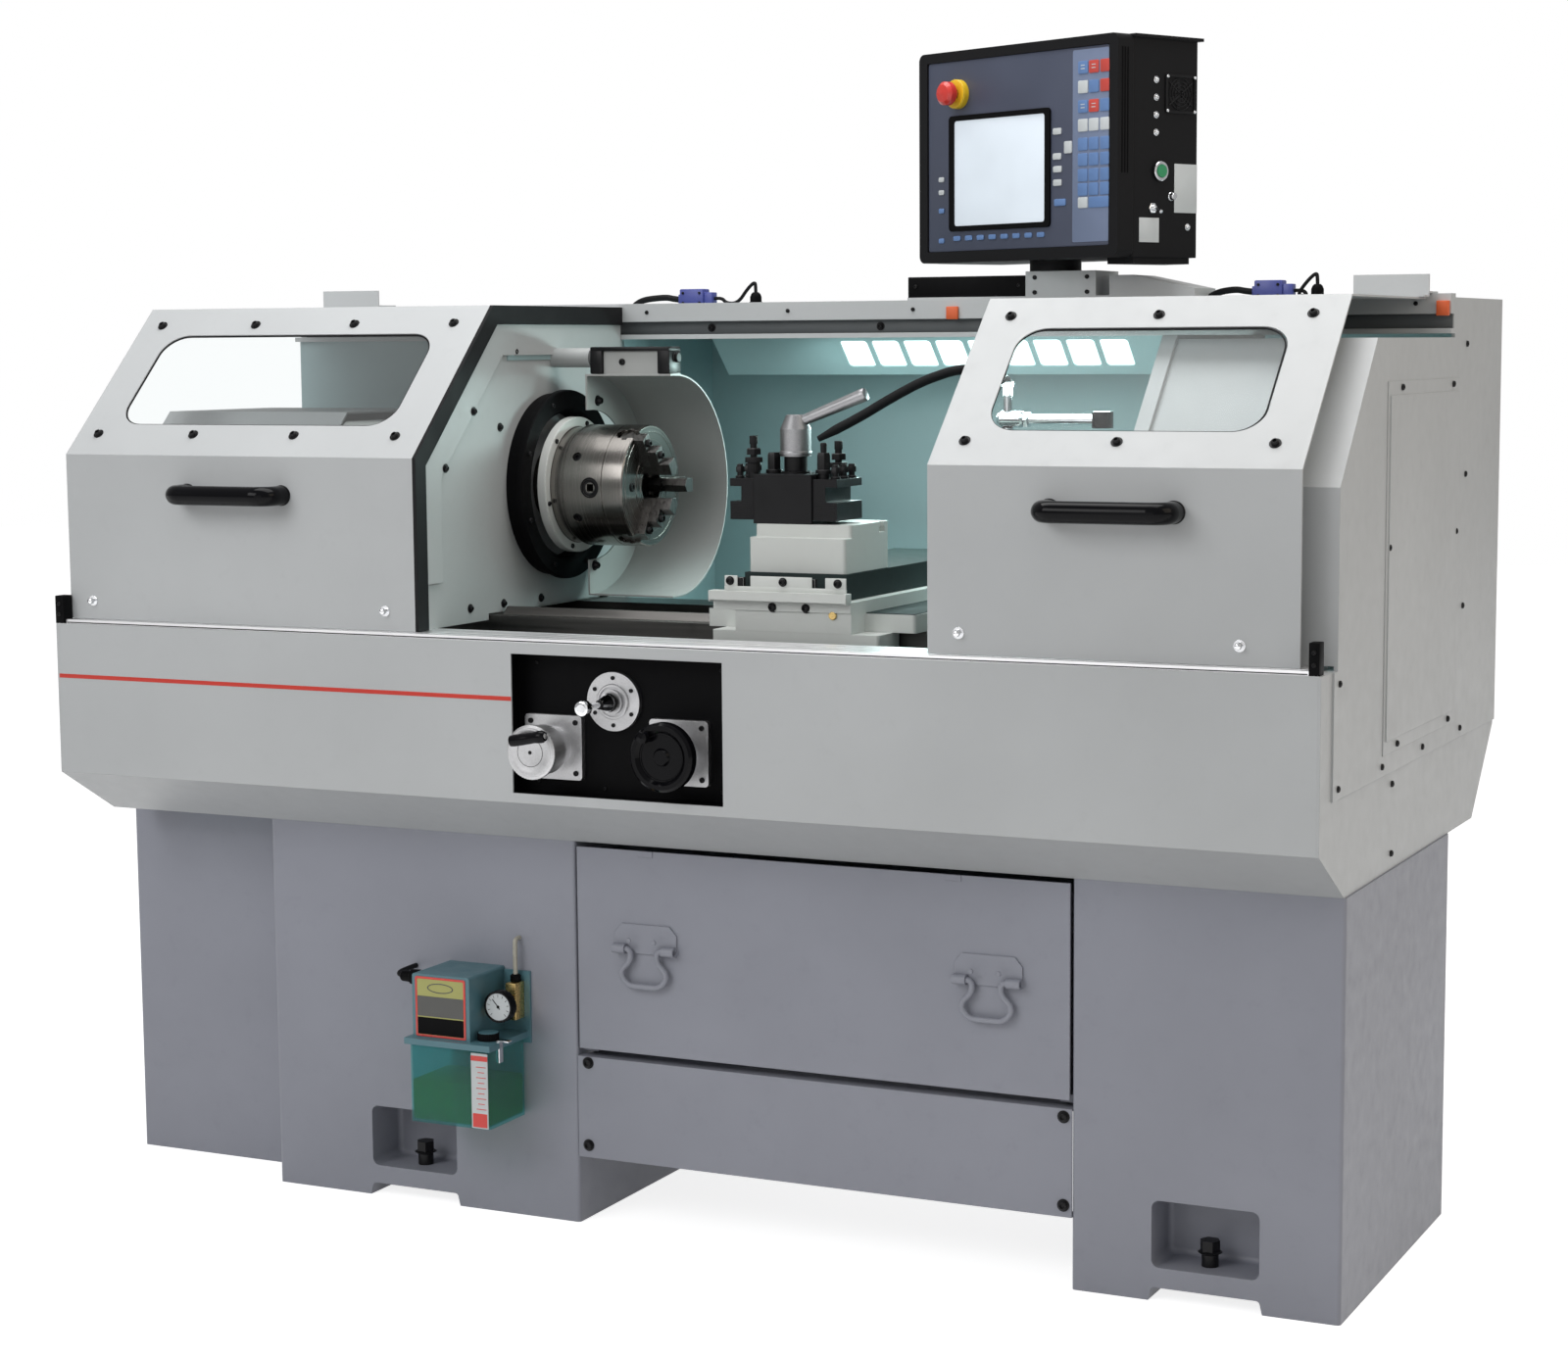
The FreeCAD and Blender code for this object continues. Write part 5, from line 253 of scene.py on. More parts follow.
def socket_screw(radius, height, sides=24):
    """A button or cap screw's head with its hexagon socket, standing on local Z = 0."""
    socket = radius * 0.55
    depth = height * 0.55
    shape = turned([(0, radius), (height * 0.62, radius), (height * 0.9, radius * 0.86),
                    (height, radius * 0.72), (height, socket)], sides)
    bmesh.ops.delete(shape, geom=[f for f in shape.faces if len(f.verts) > 4
                                  and f.calc_center_median().z > height * 0.99], context="FACES")
    rim = [e for e in shape.edges if e.is_boundary]
    floor = bmesh.ops.extrude_edge_only(shape, edges=rim)
    sunk = [v for v in floor["geom"] if isinstance(v, bmesh.types.BMVert)]
    bmesh.ops.translate(shape, verts=sunk, vec=(0, 0, -depth))
    rim = [e for e in shape.edges if e.is_boundary]
    bmesh.ops.contextual_create(shape, geom=rim)
    return shape


def washer(radius, bore, thick):
    """A flat ring that stands on local Z = 0."""
    return turned([(0, bore), (0, radius), (thick, radius), (thick, bore)], 28, True)


def hexagon(across, height):
    """A hexagon nut or head that stands on local Z = 0, with its top corners turned off."""
    corner = across / math.sqrt(3)
    return turned([(0, corner), (height * 0.85, corner), (height, corner * 0.86)], 6)


def ring_frame(outer, inner, depth):
    """A frame between two outlines of as many points, raised along local Z."""
    shape = bmesh.new()
    loops = [[shape.verts.new((x, y, height)) for x, y in outline]
             for outline, height in ((outer, 0), (outer, depth), (inner, depth), (inner, 0))]
    for first, second in zip(loops, loops[1:] + loops[:1]):
        for i in range(len(outer)):
            j = (i + 1) % len(outer)
            shape.faces.new((first[i], first[j], second[j], second[i]))
    return shape


def knurled(radius, depth, ridges, rise, bevel=0.8):
    """A disc with fine ridges round its edge, standing on local Z = 0."""
    outline = []
    for i in range(4 * ridges):
        turn = 2 * math.pi * i / (4 * ridges)
        reach = radius + (rise if i % 4 in (1, 2) else 0.0)
        outline.append((reach * math.cos(turn), reach * math.sin(turn)))
    return raised(outline, depth, bevel)


def tube_piece(name, points, radius, body, material):
    """A smooth round bar through the pull of its points, as a piece."""
    curve = bpy.data.curves.new("pipe", "CURVE")
    curve.dimensions = "3D"
    curve.bevel_depth = radius * MM
    curve.bevel_resolution = 3
    curve.resolution_u = 10
    curve.use_fill_caps = True
    spline = curve.splines.new("NURBS")
    spline.points.add(len(points) - 1)
    for spot, point in zip(spline.points, points):
        spot.co = (*at(*point), 1.0)
    spline.order_u = 3
    spline.use_endpoint_u = True
    holder = bpy.data.objects.new("pipe", curve)
    mesh = bpy.data.meshes.new_from_object(holder)
    bpy.data.objects.remove(holder)
    bpy.data.curves.remove(curve)
    finish_piece(name, mesh, body, (material,))


# ---- materials --------------------------------------------------------------------------
NOISE_LOW, NOISE_HIGH = 0.3, 0.7
FINE_EDGE = 0.6


def shade(color, factor):
    return tuple(min(1.0, channel * factor) for channel in color)


class Graph:
    """A short way to lay out a material's nodes."""

    def __init__(self, name):
        self.material = bpy.data.materials.new(name)
        self.material.use_nodes = True
        self.tree = self.material.node_tree
        self.shader = self.tree.nodes["Principled BSDF"]
        self.spot = self.node("ShaderNodeTexCoord").outputs["Object"]

    def node(self, kind, inputs=None, **settings):
        """A new node; a tuple or a number fills an input, and anything else is linked to it."""
        made = self.tree.nodes.new(kind)
        for key, value in settings.items():
            setattr(made, key, value)
        for key, value in (inputs or {}).items():
            self.feed(made.inputs[key], value)
        return made

    def feed(self, socket, value):
        if isinstance(value, (int, float, tuple)):
            socket.default_value = value
        else:
            self.tree.links.new(value, socket)

    def noise(self, scale, detail=3.0, rough=0.5, stretch=None, spot=None):
        """Noise in the piece's own axes or at another spot; scale counts waves to the metre."""
        spot = self.spot if spot is None else spot
        if stretch is not None:
            mapping = self.node("ShaderNodeMapping", {"Scale": stretch, "Vector": spot})
            spot = mapping.outputs["Vector"]
        made = self.node("ShaderNodeTexNoise", {"Scale": scale, "Detail": detail,
                                                "Roughness": rough, "Vector": spot})
        return made.outputs["Fac"]

    def remap(self, value, low, high, to_low, to_high):
        return self.node("ShaderNodeMapRange",
                         {"From Min": low, "From Max": high, "To Min": to_low, "To Max": to_high,
                          "Value": value}).outputs["Result"]

    def spread(self, value, low, high):
        """A noise's usual range, spread over another one."""
        return self.remap(value, NOISE_LOW, NOISE_HIGH, low, high)

    def mix(self, share, first, second):
        made = self.node("ShaderNodeMix", {"Factor": share}, data_type="RGBA")
        for value, socket in ((first, made.inputs["A"]), (second, made.inputs["B"])):
            self.feed(socket, (*value, 1.0) if isinstance(value, tuple) else value)
        return made.outputs["Result"]

    def tone(self, value, color, dark, light):
        """A colour that goes from a dark to a light shade of it with a noise."""
        return self.mix(self.spread(value, 0.0, 1.0), shade(color, dark), shade(color, light))

    def math(self, kind, *values):
        made = self.node("ShaderNodeMath", operation=kind)
        for value, socket in zip(values, made.inputs):
            self.feed(socket, value)
        return made.outputs["Value"]

    def edges(self, radius):
        """(rounded normal, mask that is 1 on edges) for crisp solids."""
        normal = self.node("ShaderNodeBevel", {"Radius": radius * MM}, samples=4).outputs["Normal"]
        flat = self.node("ShaderNodeNewGeometry").outputs["Normal"]
        dot = self.node("ShaderNodeVectorMath", {0: normal, 1: flat}, operation="DOT_PRODUCT")
        return normal, self.remap(dot.outputs["Value"], 0.995, 0.90, 0.0, 1.0)

    def bump(self, height, strength, depth, normal):
        made = self.node("ShaderNodeBump", {"Strength": strength, "Distance": depth * MM,
                                            "Height": height, "Normal": normal})
        self.set(Normal=made.outputs["Normal"])

    def set(self, **values):
        """Feeds the shader's inputs; a colour is given without its fourth number."""
        for key, value in values.items():
            self.feed(self.shader.inputs[key.replace("_", " ")],
                      (*value, 1.0) if isinstance(value, tuple) else value)


def paint(name, color, rough, grain=900.0, grain_depth=0.05, edge=1.2, drift=0.05, wear=0.10,
          shine=0.5):
    """Sprayed paint: slow colour drift, fine orange peel, soft edges that are rubbed a little."""
    g = Graph(name)
    spots = g.noise(38.0, 5.0, 0.6)
    base = g.tone(g.noise(2.5, 4.0), color, 1 - drift, 1 + drift)
    base = g.mix(g.remap(spots, 0.58, 0.78, 0.0, 0.35), base, shade(color, 1 - 1.6 * drift))
    normal, mask = g.edges(edge)
    rubbed = g.math("MULTIPLY", mask, g.remap(spots, 0.40, 0.62, 0.0, wear * 5))
    g.bump(g.noise(grain, 2.0), 0.35, grain_depth, normal)
    g.set(Base_Color=g.mix(rubbed, base, shade(color, 1.22)),
          Roughness=g.spread(spots, rough - 0.05, rough + 0.07), Specular_IOR_Level=shine)
    return g.material


def metal(name, color, rough, streak=(1.0, 1.0, 1.0), scale=220.0, depth=0.02, stain=0.12):
    """Machined metal: tool marks stretched along a direction, stains and bright edges."""
    g = Graph(name)
    marks = g.noise(scale, 4.0, 0.65, streak)
    stains = g.remap(g.noise(14.0, 5.0, 0.6), 0.55, 0.75, 0.0, stain * 3)
    base = g.mix(stains, g.tone(marks, color, 0.86, 1.10), shade(color, 0.62))
    normal, mask = g.edges(FINE_EDGE)
    g.bump(marks, 0.30, depth, normal)
    g.set(Base_Color=g.mix(g.math("MULTIPLY", mask, 0.6), base, shade(color, 1.35)),
          Roughness=g.spread(marks, rough * 0.8, rough * 1.3), Metallic=1.0)
    return g.material


def turned_metal(name, color, axis, rough):
    """Metal turned in a lathe: fine rings about an axis along X, at a machine (Y, Z)."""
    g = Graph(name)
    parts = g.node("ShaderNodeSeparateXYZ", {"Vector": g.spot}).outputs
    centre = at(0, *axis)
    squares = []
    for i in (1, 2):
        offset = g.math("SUBTRACT", parts[i], centre[i])
        squares.append(g.math("MULTIPLY", offset, offset))
    radius = g.math("SQRT", g.math("ADD", *squares))
    rings = g.node("ShaderNodeCombineXYZ", {"X": radius, "Y": parts[0]}).outputs["Vector"]
    marks = g.noise(900.0, spot=rings)
    stains = g.remap(g.noise(16.0, 5.0, 0.6), 0.52, 0.74, 0.0, 0.18)
    base = g.mix(stains, g.tone(marks, color, 0.91, 1.08), shade(color, 0.66))
    normal, mask = g.edges(0.7)
    g.bump(marks, 0.30, 0.0016, normal)
    g.set(Base_Color=g.mix(g.math("MULTIPLY", mask, 0.5), base, shade(color, 1.3)),
          Roughness=g.spread(marks, rough * 0.75, rough * 1.35), Metallic=1.0, Anisotropic=0.4)
    return g.material


def plastic(name, color, rough, grain=1400.0, depth=0.03, coat=0.0, shine=0.5):
    """Moulded plastic or rubber with a fine grain."""
    g = Graph(name)
    slow = g.noise(12.0, 4.0)
    normal, mask = g.edges(FINE_EDGE)
    g.bump(g.noise(grain, 2.0), 0.4, depth, normal)
    g.set(Base_Color=g.mix(g.math("MULTIPLY", mask, 0.25), g.tone(slow, color, 0.94, 1.06),
                           shade(color, 1.5)),
          Roughness=g.spread(slow, rough - 0.05, rough + 0.08),
          Coat_Weight=coat, Coat_Roughness=0.06, Specular_IOR_Level=shine)
    return g.material


def clear(name, color, rough, solid, scratches):
    """Clear sheet or moulding: mostly see-through, with a tint, gloss and faint scratches."""
    g = Graph(name)
    thin = g.noise(220.0, 3.0, 0.7, (1.0, 0.06, 0.06))
    g.set(Base_Color=shade(color, 0.9), Roughness=g.spread(thin, rough, rough + 0.05))
    clean = g.node("ShaderNodeBsdfTransparent", {"Color": (*color, 1.0)}).outputs["BSDF"]
    fresnel = g.node("ShaderNodeFresnel", {"IOR": 1.45}).outputs["Fac"]
    outside = g.math("SUBTRACT", 1.0, g.node("ShaderNodeNewGeometry").outputs["Backfacing"])
    share = g.math("ADD", g.math("MULTIPLY", fresnel, outside),
                   g.remap(thin, 0.62, 0.8, solid, solid + scratches))
    both = g.node("ShaderNodeMixShader", {"Fac": share, 1: clean, 2: g.shader.outputs["BSDF"]})
    g.feed(g.tree.nodes["Material Output"].inputs["Surface"], both.outputs["Shader"])
    return g.material


def glow(name, color, strength):
    """A lit surface whose light is a little uneven."""
    g = Graph(name)
    tint = g.tone(g.noise(9.0, 2.0), color, 0.93, 1.0)
    g.set(Base_Color=tint, Emission_Color=tint, Emission_Strength=strength, Roughness=0.4)
    return g.material


COVER = paint("cover_paint", (0.502, 0.518, 0.526), 0.40)
BASE = paint("base_paint", (0.286, 0.295, 0.342), 0.46, grain=420.0, grain_depth=0.12, drift=0.07)
INNER = paint("inner_paint", (0.350, 0.480, 0.495), 0.46)
WALL_PAINT = paint("bulkhead_paint", (0.410, 0.425, 0.425), 0.42)
IVORY = paint("casting_paint", (0.600, 0.618, 0.595), 0.38, grain=300.0, grain_depth=0.10)
RAIL = metal("rail_metal", (0.93, 0.93, 0.95), 0.34, (0.02, 1.0, 1.0), 160.0, 0.004, stain=0.05)
GROUND = metal("ground_steel", (0.42, 0.40, 0.38), 0.34, (0.03, 1.0, 1.0), 160.0, 0.004)
BED = metal("bed_steel", (0.122, 0.117, 0.112), 0.36, (0.03, 1.0, 1.0), 120.0, 0.004, stain=0.2)
CAST = metal("cast_iron", (0.30, 0.30, 0.31), 0.42, scale=600.0, depth=0.05)
WAY = paint("slide_paint", (0.030, 0.041, 0.041), 0.62, grain=300.0, wear=0.3, shine=0.04)
BLACKED = paint("blacked_steel", (0.008, 0.008, 0.009), 0.34, grain=700.0, edge=0.8, wear=0.16,
                shine=0.20)
CHUCK = turned_metal("chuck_steel", (0.255, 0.241, 0.226), SPINDLE, 0.22)
JAW = metal("jaw_steel", (0.16, 0.155, 0.150), 0.30, (1.0, 1.0, 0.05), 200.0, 0.006)
CHROME = metal("chrome", (0.80, 0.81, 0.83), 0.10, scale=60.0, depth=0.004)
HUB = metal("hub_steel", (0.34, 0.34, 0.35), 0.38, scale=500.0, depth=0.006)
# A darkened copy of the light cover paint: the darkness is painted shade, standing in for the
# shadow on the guard's concave inner side.
GUARD_SHADED = paint("guard_shaded_paint", (0.370, 0.378, 0.370), 0.44)
SATIN = metal("satin_aluminium", (0.56, 0.56, 0.57), 0.42, scale=500.0, depth=0.006)
BRASS = metal("brass", (0.70, 0.50, 0.20), 0.28)
RUBBER = plastic("rubber", (0.009, 0.009, 0.010), 0.62, 500.0, 0.06, shine=0.18)
BLACK = plastic("black_plastic", (0.003, 0.003, 0.004), 0.10, depth=0.006, shine=0.12)
BLACK_MATT = paint("black_matt", (0.0035, 0.0035, 0.004), 0.50, wear=0.05, shine=0.06)
HOUSING = paint("housing_black", (0.010, 0.010, 0.011), 0.46, wear=0.05, shine=0.10)
SLATE = plastic("slate_plastic", (0.057, 0.067, 0.104), 0.40, shine=0.4)
RED = plastic("red_plastic", (0.62, 0.035, 0.025), 0.32, coat=0.3)
YELLOW = plastic("yellow_plastic", (0.85, 0.55, 0.02), 0.38)
GREEN = plastic("green_plastic", (0.020, 0.260, 0.100), 0.32, coat=0.3)
TEAL = paint("teal_paint", (0.085, 0.190, 0.225), 0.36, grain=350.0)
STRIPE = paint("stripe_red", (0.60, 0.035, 0.020), 0.40, edge=0.2)
ORANGE = plastic("bumper_orange", (0.70, 0.120, 0.030), 0.45)
VIOLET = plastic("switch_violet", (0.060, 0.075, 0.300), 0.36)
SLATE_LIGHT = plastic("slate_light", (0.168, 0.210, 0.318), 0.40, shine=0.4)
KEY_WHITE = plastic("key_white", (0.56, 0.59, 0.60), 0.40)
KEY_BLUE = plastic("key_blue", (0.115, 0.215, 0.440), 0.40)
KEY_RED = plastic("key_red", (0.560, 0.060, 0.045), 0.40)
OLIVE = paint("plate_olive", (0.400, 0.395, 0.130), 0.40, edge=0.2)
OLIVE_DARK = paint("plate_dark", (0.085, 0.085, 0.080), 0.40, edge=0.2)
NYLON = plastic("nylon_tube", (0.42, 0.40, 0.33), 0.30)
# A dark grey paint that stands in for the shade on the back face of the top rail's channel.
CHANNEL_SHADE = paint("channel_painted_shade", (0.095, 0.105, 0.110), 0.45)
PANE = clear("window_pane", (0.97, 0.985, 0.985), 0.03, 0.01, 0.05)
TANK = clear("tank_plastic", (0.48, 0.84, 0.84), 0.10, 0.05, 0.08)
OIL = clear("green_oil", (0.14, 0.58, 0.03), 0.04, 0.16, 0.0)
SCREEN = glow("screen_glass", (0.40, 0.44, 0.48), 1.05)
LAMP = glow("lamp_glow", (0.86, 1.0, 0.98), 1.0)

FINISHES = (
    (COVER, "fascia right_end_cover right_access_panel left_door right_door control_arm "
            "gear_cover top_rail"),
    (GUARD_SHADED, "chuck_guard"),
    (INNER, "rear_enclosure lamp_panel"),
    (WALL_PAINT, "bulkhead"),
    (BASE, "left_pedestal right_pedestal motor_cabinet lower_panel chip_drawer "
           "drawer_bail_left drawer_bail_right"),
    (IVORY, "saddle slide_block tailstock headstock"),
    (RAIL, "front_rail"),
    (GROUND, "spindle_bearings tailstock_quill z_ball_screw"),
    (BED, "bed"),
    (CAST, "motor_pulley spindle_motor"),
    (WAY, "cross_slide"),
    (BLACKED, "toolpost leveling_bolts"),
    (CHUCK, "spindle chuck_body chuck_scroll"),
    (JAW, "chuck_jaw_1 chuck_jaw_2 chuck_jaw_3"),
    (CHROME, "jog_stick tailstock_wheel"),
    (SATIN, "wheel_flanges x_handwheel"),
    (HUB, "toolpost_lever"),
    (RUBBER, "left_door_seal drive_belt coolant_line"),
    (BLACK, "left_handle right_handle z_handwheel"),
    (BLACK_MATT, "recess_panel"),
    (HOUSING, "control_housing control_bezel"),
    (RED, "estop_button"),
    (GREEN, "start_button"),
    (TEAL, "lubricator_pump"),
    (PANE, "left_window right_window"),
    (TANK, "lubricator_tank"),
    (LAMP, "work_lamp"),
)

SLOTS = {material.name: slot for slot, materials in {
    "dark_steel": (BLACKED,), "black_plastic": (BLACK, BLACK_MATT), "black_paint": (CHANNEL_SHADE,),
    "chrome": (CHROME, HUB), "aluminium": (SATIN,), "brass": (BRASS,), "cast_iron": (WAY,),
    "ground_steel": (CHUCK, JAW), "casting_paint": (IVORY, INNER), "base_paint": (BASE,),
    "console_plastic": (VIOLET, SLATE), "red_plastic": (STRIPE, ORANGE, YELLOW),
    "green_plastic": (OIL,), "tank_plastic": (NYLON,), "lamp_white": (KEY_WHITE, SCREEN),
    "rubber": (RUBBER,),
}.items() for material in materials}


def finish_nodes():
    """Gives every solid of the frame its finish."""
    for material, names in FINISHES:
        for name in names.split():
            mesh = NODES[name].data
            mesh.materials.clear()
            mesh.materials.append(material)


# ---- screws and other repeated small things ---------------------------------------------
SINK = 0.2
WASHER_THICK = 1.4


def screws(name, place, body, spots, radius=4.5, height=4, ring=0, material=BLACKED, lift=0):
    """Socket screws at local (x, y) spots of a surface, each on a washer where ring is set."""
    heads = []
    for x, y in spots:
        foot = lift - SINK
        if ring > 0:
            heads.append((washer(ring, radius * 0.6, WASHER_THICK), shift(x, y, foot)))
            foot += WASHER_THICK
        heads.append((socket_screw(radius, height), shift(x, y, foot)))
    build(name, body, material, place, *heads)


def plates(name, place, body, material, spans, edge=0.6, slot=None):
    """Rounded boxes given by their local x, y and z spans, as one piece."""
    build(name, body, material, place, *[box(*span, edge) for span in spans], slot=slot)


def on_ring(radius, turns):
    """Points on a circle at turns in degrees."""
    return [(radius * math.cos(math.radians(turn)), radius * math.sin(math.radians(turn)))
            for turn in turns]


# ---- doors --------------------------------------------------------------------------------
def door_pieces():
    """The screws, studs, window seal and handle collars of each door."""
    bodies = {side: side + "_door_body" for side in ("left", "right")}
    for side, rows, columns in (("left", (296, 46), (-1010, -820, -625, -435)),
                                ("right", (298, 47), (523, 751, 978))):
        screws(side + "_door_screws", DOOR_SLOPE, bodies[side],
               [(x, s) for s in rows for x in columns], 5.6, 5, 8.6)
    for side, spots in (("left", ((-1006, 975), (-439, 976))),
                        ("right", ((527, 976), (941, 973)))):
        studs = []
        for x, z in spots:
            nut = turned([(0, 5.2), (7, 5.2), (9.2, 4.4), (10.4, 2.6), (10.8, 0)], 28)
            studs += [(washer(8.5, 3, 1.6), shift(x, z, -SINK)), (nut, shift(x, z, 1.2))]
        build(side + "_door_studs", bodies[side], CHROME, DOOR_FACE, *studs)
    for side, middle, width in (("left", -720, 530), ("right", 748.5, 409)):
        rim = ring_frame(rounded_outline(width - 0.2, 204.8, 45, 10),
                         rounded_outline(width - 5, 200, 42.6, 10), 1.6)
        build(side + "_window_seal", bodies[side], RUBBER, DOOR_SLOPE,
              (rim, shift(middle, 170.5, -3.1)))
    for side, feet in (("left", (-810, -628)), ("right", (664, 846))):
        build(side + "_handle_feet", bodies[side], BLACK, DOOR_FACE,
              *[(turned([(0, 16.4), (2.4, 16.4), (3.2, 15.7)], 40), shift(x, 1153, -0.1))
                for x in feet])


# ---- apron, wheels and rails ---------------------------------------------------------------
def apron_pieces():
    plates("apron_stripe", front_plane(0), "frame", STRIPE,
           [((APRON_LEFT + 0.4, -199.6), (848.4, 855), (-0.2, 0.45))], 0.2)
    corners = [(x + i, z + j) for x, z in (X_WHEEL, Z_WHEEL) for i in (-39, 39) for j in (-39, 39)]
    screws("flange_screws", front_plane(RECESS_FACE - 10), "frame", corners, 4.2, 3)
    jog = front_plane(RECESS_FACE - 8) @ shift(*JOG_STICK)
    screws("jog_flange_screws", jog, "frame", on_ring(36, range(30, 390, 60)), 3.2, 2.6)
    screws("recess_screws", front_plane(RECESS_FACE), "frame",
           [(-176, 722), (-60, 716), (140, 722), (-176, 905), (140, 905)], 3, 2.4)
    build("jog_collar", "frame", SATIN, jog,
          turned([(-0.2, 27), (2.6, 27), (3.8, 25.6), (3.8, 23), (-0.2, 23)], 48, True))


def wheel_pieces():
    """Rims, caps and grips of the two wheels, painted shade for the X wheel's centre hole and
    groove, and the jog stick's boot and knob.
    """
    x, z = X_WHEEL
    build("x_wheel_rim", "x_wheel_body", SATIN, front_plane(-30.5) @ shift(x, z),
          knurled(41.2, 7.2, 60, 0.5, 0.3),
          turned([(9.3, 36), (10, 35.2), (10, 30), (9.6, 29)], 48))
    build("x_wheel_crank", "x_wheel_body", BLACK,
          towards((x - 27, -53, z + 17.6), (x + 35, -53, z + 28.4)),
          turned([(0, 0), (0.4, 5), (2.4, 8.4), (9, 9.2), (30, 8.8), (44, 8.5), (50, 9.6),
                  (58, 9.6), (62.2, 7), (63, 0)], 36))
    # A small dark disc and a thin dark ring on the X wheel are painted shade: they stand in for its
    # dark centre hole and a groove.
    build("x_wheel_hole_and_groove_shade", "x_wheel_body", BLACKED, front_plane(-40) @ shift(x, z),
          turned([(-0.2, 3), (0.4, 3), (0.7, 2.4), (0.7, 0)], 20),
          turned([(-0.2, 21), (0.35, 21.3), (0.35, 21.9), (-0.2, 22.2)], 56, True))
    wheel = shift(*Z_WHEEL)
    build("z_wheel_collar", "z_wheel_body", SATIN, front_plane(13) @ wheel,
          turned([(0, 30.1), (0, 31.4), (16, 31.4), (18.4, 34), (18.6, 30.1)], 48, True))
    build("z_wheel_boss", "z_wheel_body", BLACK, front_plane(-24.4) @ wheel,
          turned([(0, 36.6), (0.8, 35.8), (0.8, 34.8), (0, 34)], 64, True),
          turned([(-0.5, 5), (1, 4.6), (2, 3.2), (2.2, 0)], 32))
    stick = shift(*JOG_STICK)
    folds = [(0, 12.6)]
    for i in range(5):
        folds += [(3 + 5.4 * i, 14.6 - 1.5 * i), (5.8 + 5.4 * i, 12.2 - 1.5 * i)]
    folds += [(31, 7.2), (34.5, 5.2), (34.5, 0)]
    build("jog_boot", "jog_body", RUBBER, front_plane(RECESS_FACE - 19.5) @ stick,
          turned(folds, 36))
    build("jog_knob", "jog_body", CHROME, front_plane(-66) @ stick,
          turned([(-14, 9.6), (-12, 12.3), (-6, 12.4), (-1, 11), (0.2, 8.6), (0.2, 6),
                  (-1.2, 4.6), (-1.2, 0)], 40),
          turned([(-26, 6.6), (-25, 7.4), (-22.6, 7.4), (-21.6, 6.6)], 6))


def rail_pieces():
    stop = ((-0.5, 22.4), (938, 983.4))
    plates("rail_stops", MACHINE, "frame", BLACK_MATT,
           [((-1065.4, -1048.6), *stop), ((1044.6, 1059.4), *stop)], 1)
    screws("rail_stop_screws", front_plane(-0.5), "frame",
           [(x, z) for x in (-1057, 1052) for z in (953, 970)], 3.2, 2.4)
    plates("rail_line", front_plane(4), "frame", RUBBER,
           [((-1045, 1042), (939.2, 940.8), (-0.1, 0.5))], 0.2)
    # A dark grey strip inside the top rail's channel is painted shade: the channel's back face lies
    # in shadow.
    plates("top_rail_painted_shade", front_plane(709), "frame", CHANNEL_SHADE,
           [((-1050, 1063), (1403.3, 1424.7), (-0.1, 0.7))], 0.2)
    screws("top_rail_screws", front_plane(708.3), "frame",
           [(x, 1414) for x in (-214, 103, 330)], 4.6, 4, 7)
    screws("top_rail_front_screws", front_plane(689.3), "frame",
           [(x, 1441) for x in (-330, -60, 170, 410, 1010)], 3.4, 3)
    plates("rail_bumpers", MACHINE, "frame", ORANGE,
           [((231, 252), (683.5, 689.6), (1424, 1445)),
            ((1043, 1063), (681.5, 689.6), (1422, 1445))], 1.6)


# ---- roof switches ----------------------------------------------------------------------
def roof_switch(name, x, feed, gland_x):
    """An interlock switch on the roof with its actuator, its feed cable, and a gland."""
    build(name + "_switch", "frame", VIOLET, MACHINE,
          box((x, x + 46), (738, 764), (1449.8, 1481), 2.2),
          box((x + 46, x + 62), (741, 761), (1449.8, 1475), 1.6),
          box((x - 5, x + 3), (743, 759), (1454, 1472), 1.4))
    screws(name + "_switch_screws", front_plane(738), "frame",
           [(x + i, z) for z in (1474, 1457) for i in (7, 39)], 2.4, 1.8)
    build(name + "_gland", "frame", BLACK_MATT, MACHINE @ shift(gland_x, 750, ROOF),
          (hexagon(24, 8), shift(0, 0, -SINK)),
          turned([(7.5, 10), (16, 10), (21, 8), (24, 5), (24, 0)], 24))
    tube_piece(name + "_link_cable",
               [(x + 60, 751, 1464), (x + 76, 751, 1466), (x + 84, 751, 1456),
                (gland_x - 34, 750, 1456), (gland_x - 16, 750, 1480),
                (gland_x - 2, 750, 1492), (gland_x, 750, 1484), (gland_x, 750, 1470)],
               3, "frame", RUBBER)
    tube_piece(name + "_feed_cable", feed + [(x - 34, 751, 1468), (x - 16, 751, 1464),
                                             (x - 2, 751, 1463)], 5.4, "frame", RUBBER)


def roof_pieces():
    roof_switch("left", -292, [(-402, 770, 1446), (-392, 762, 1462)], -150)
    roof_switch("right", 738, [(640, 775, 1446), (662, 764, 1462)], 838)


# ---- chuck, guard and bulkhead ------------------------------------------------------------
def chuck_side(turn_deg, x, radius):
    """A place on the chuck's side at a radius, facing outwards; turns start towards the front."""
    turn = math.radians(turn_deg)
    out = (-math.cos(turn), -math.sin(turn))
    return plane((x, SPINDLE[0] + radius * out[0], SPINDLE[1] + radius * out[1]), ALONG,
                 (0, out[1], -out[0]))


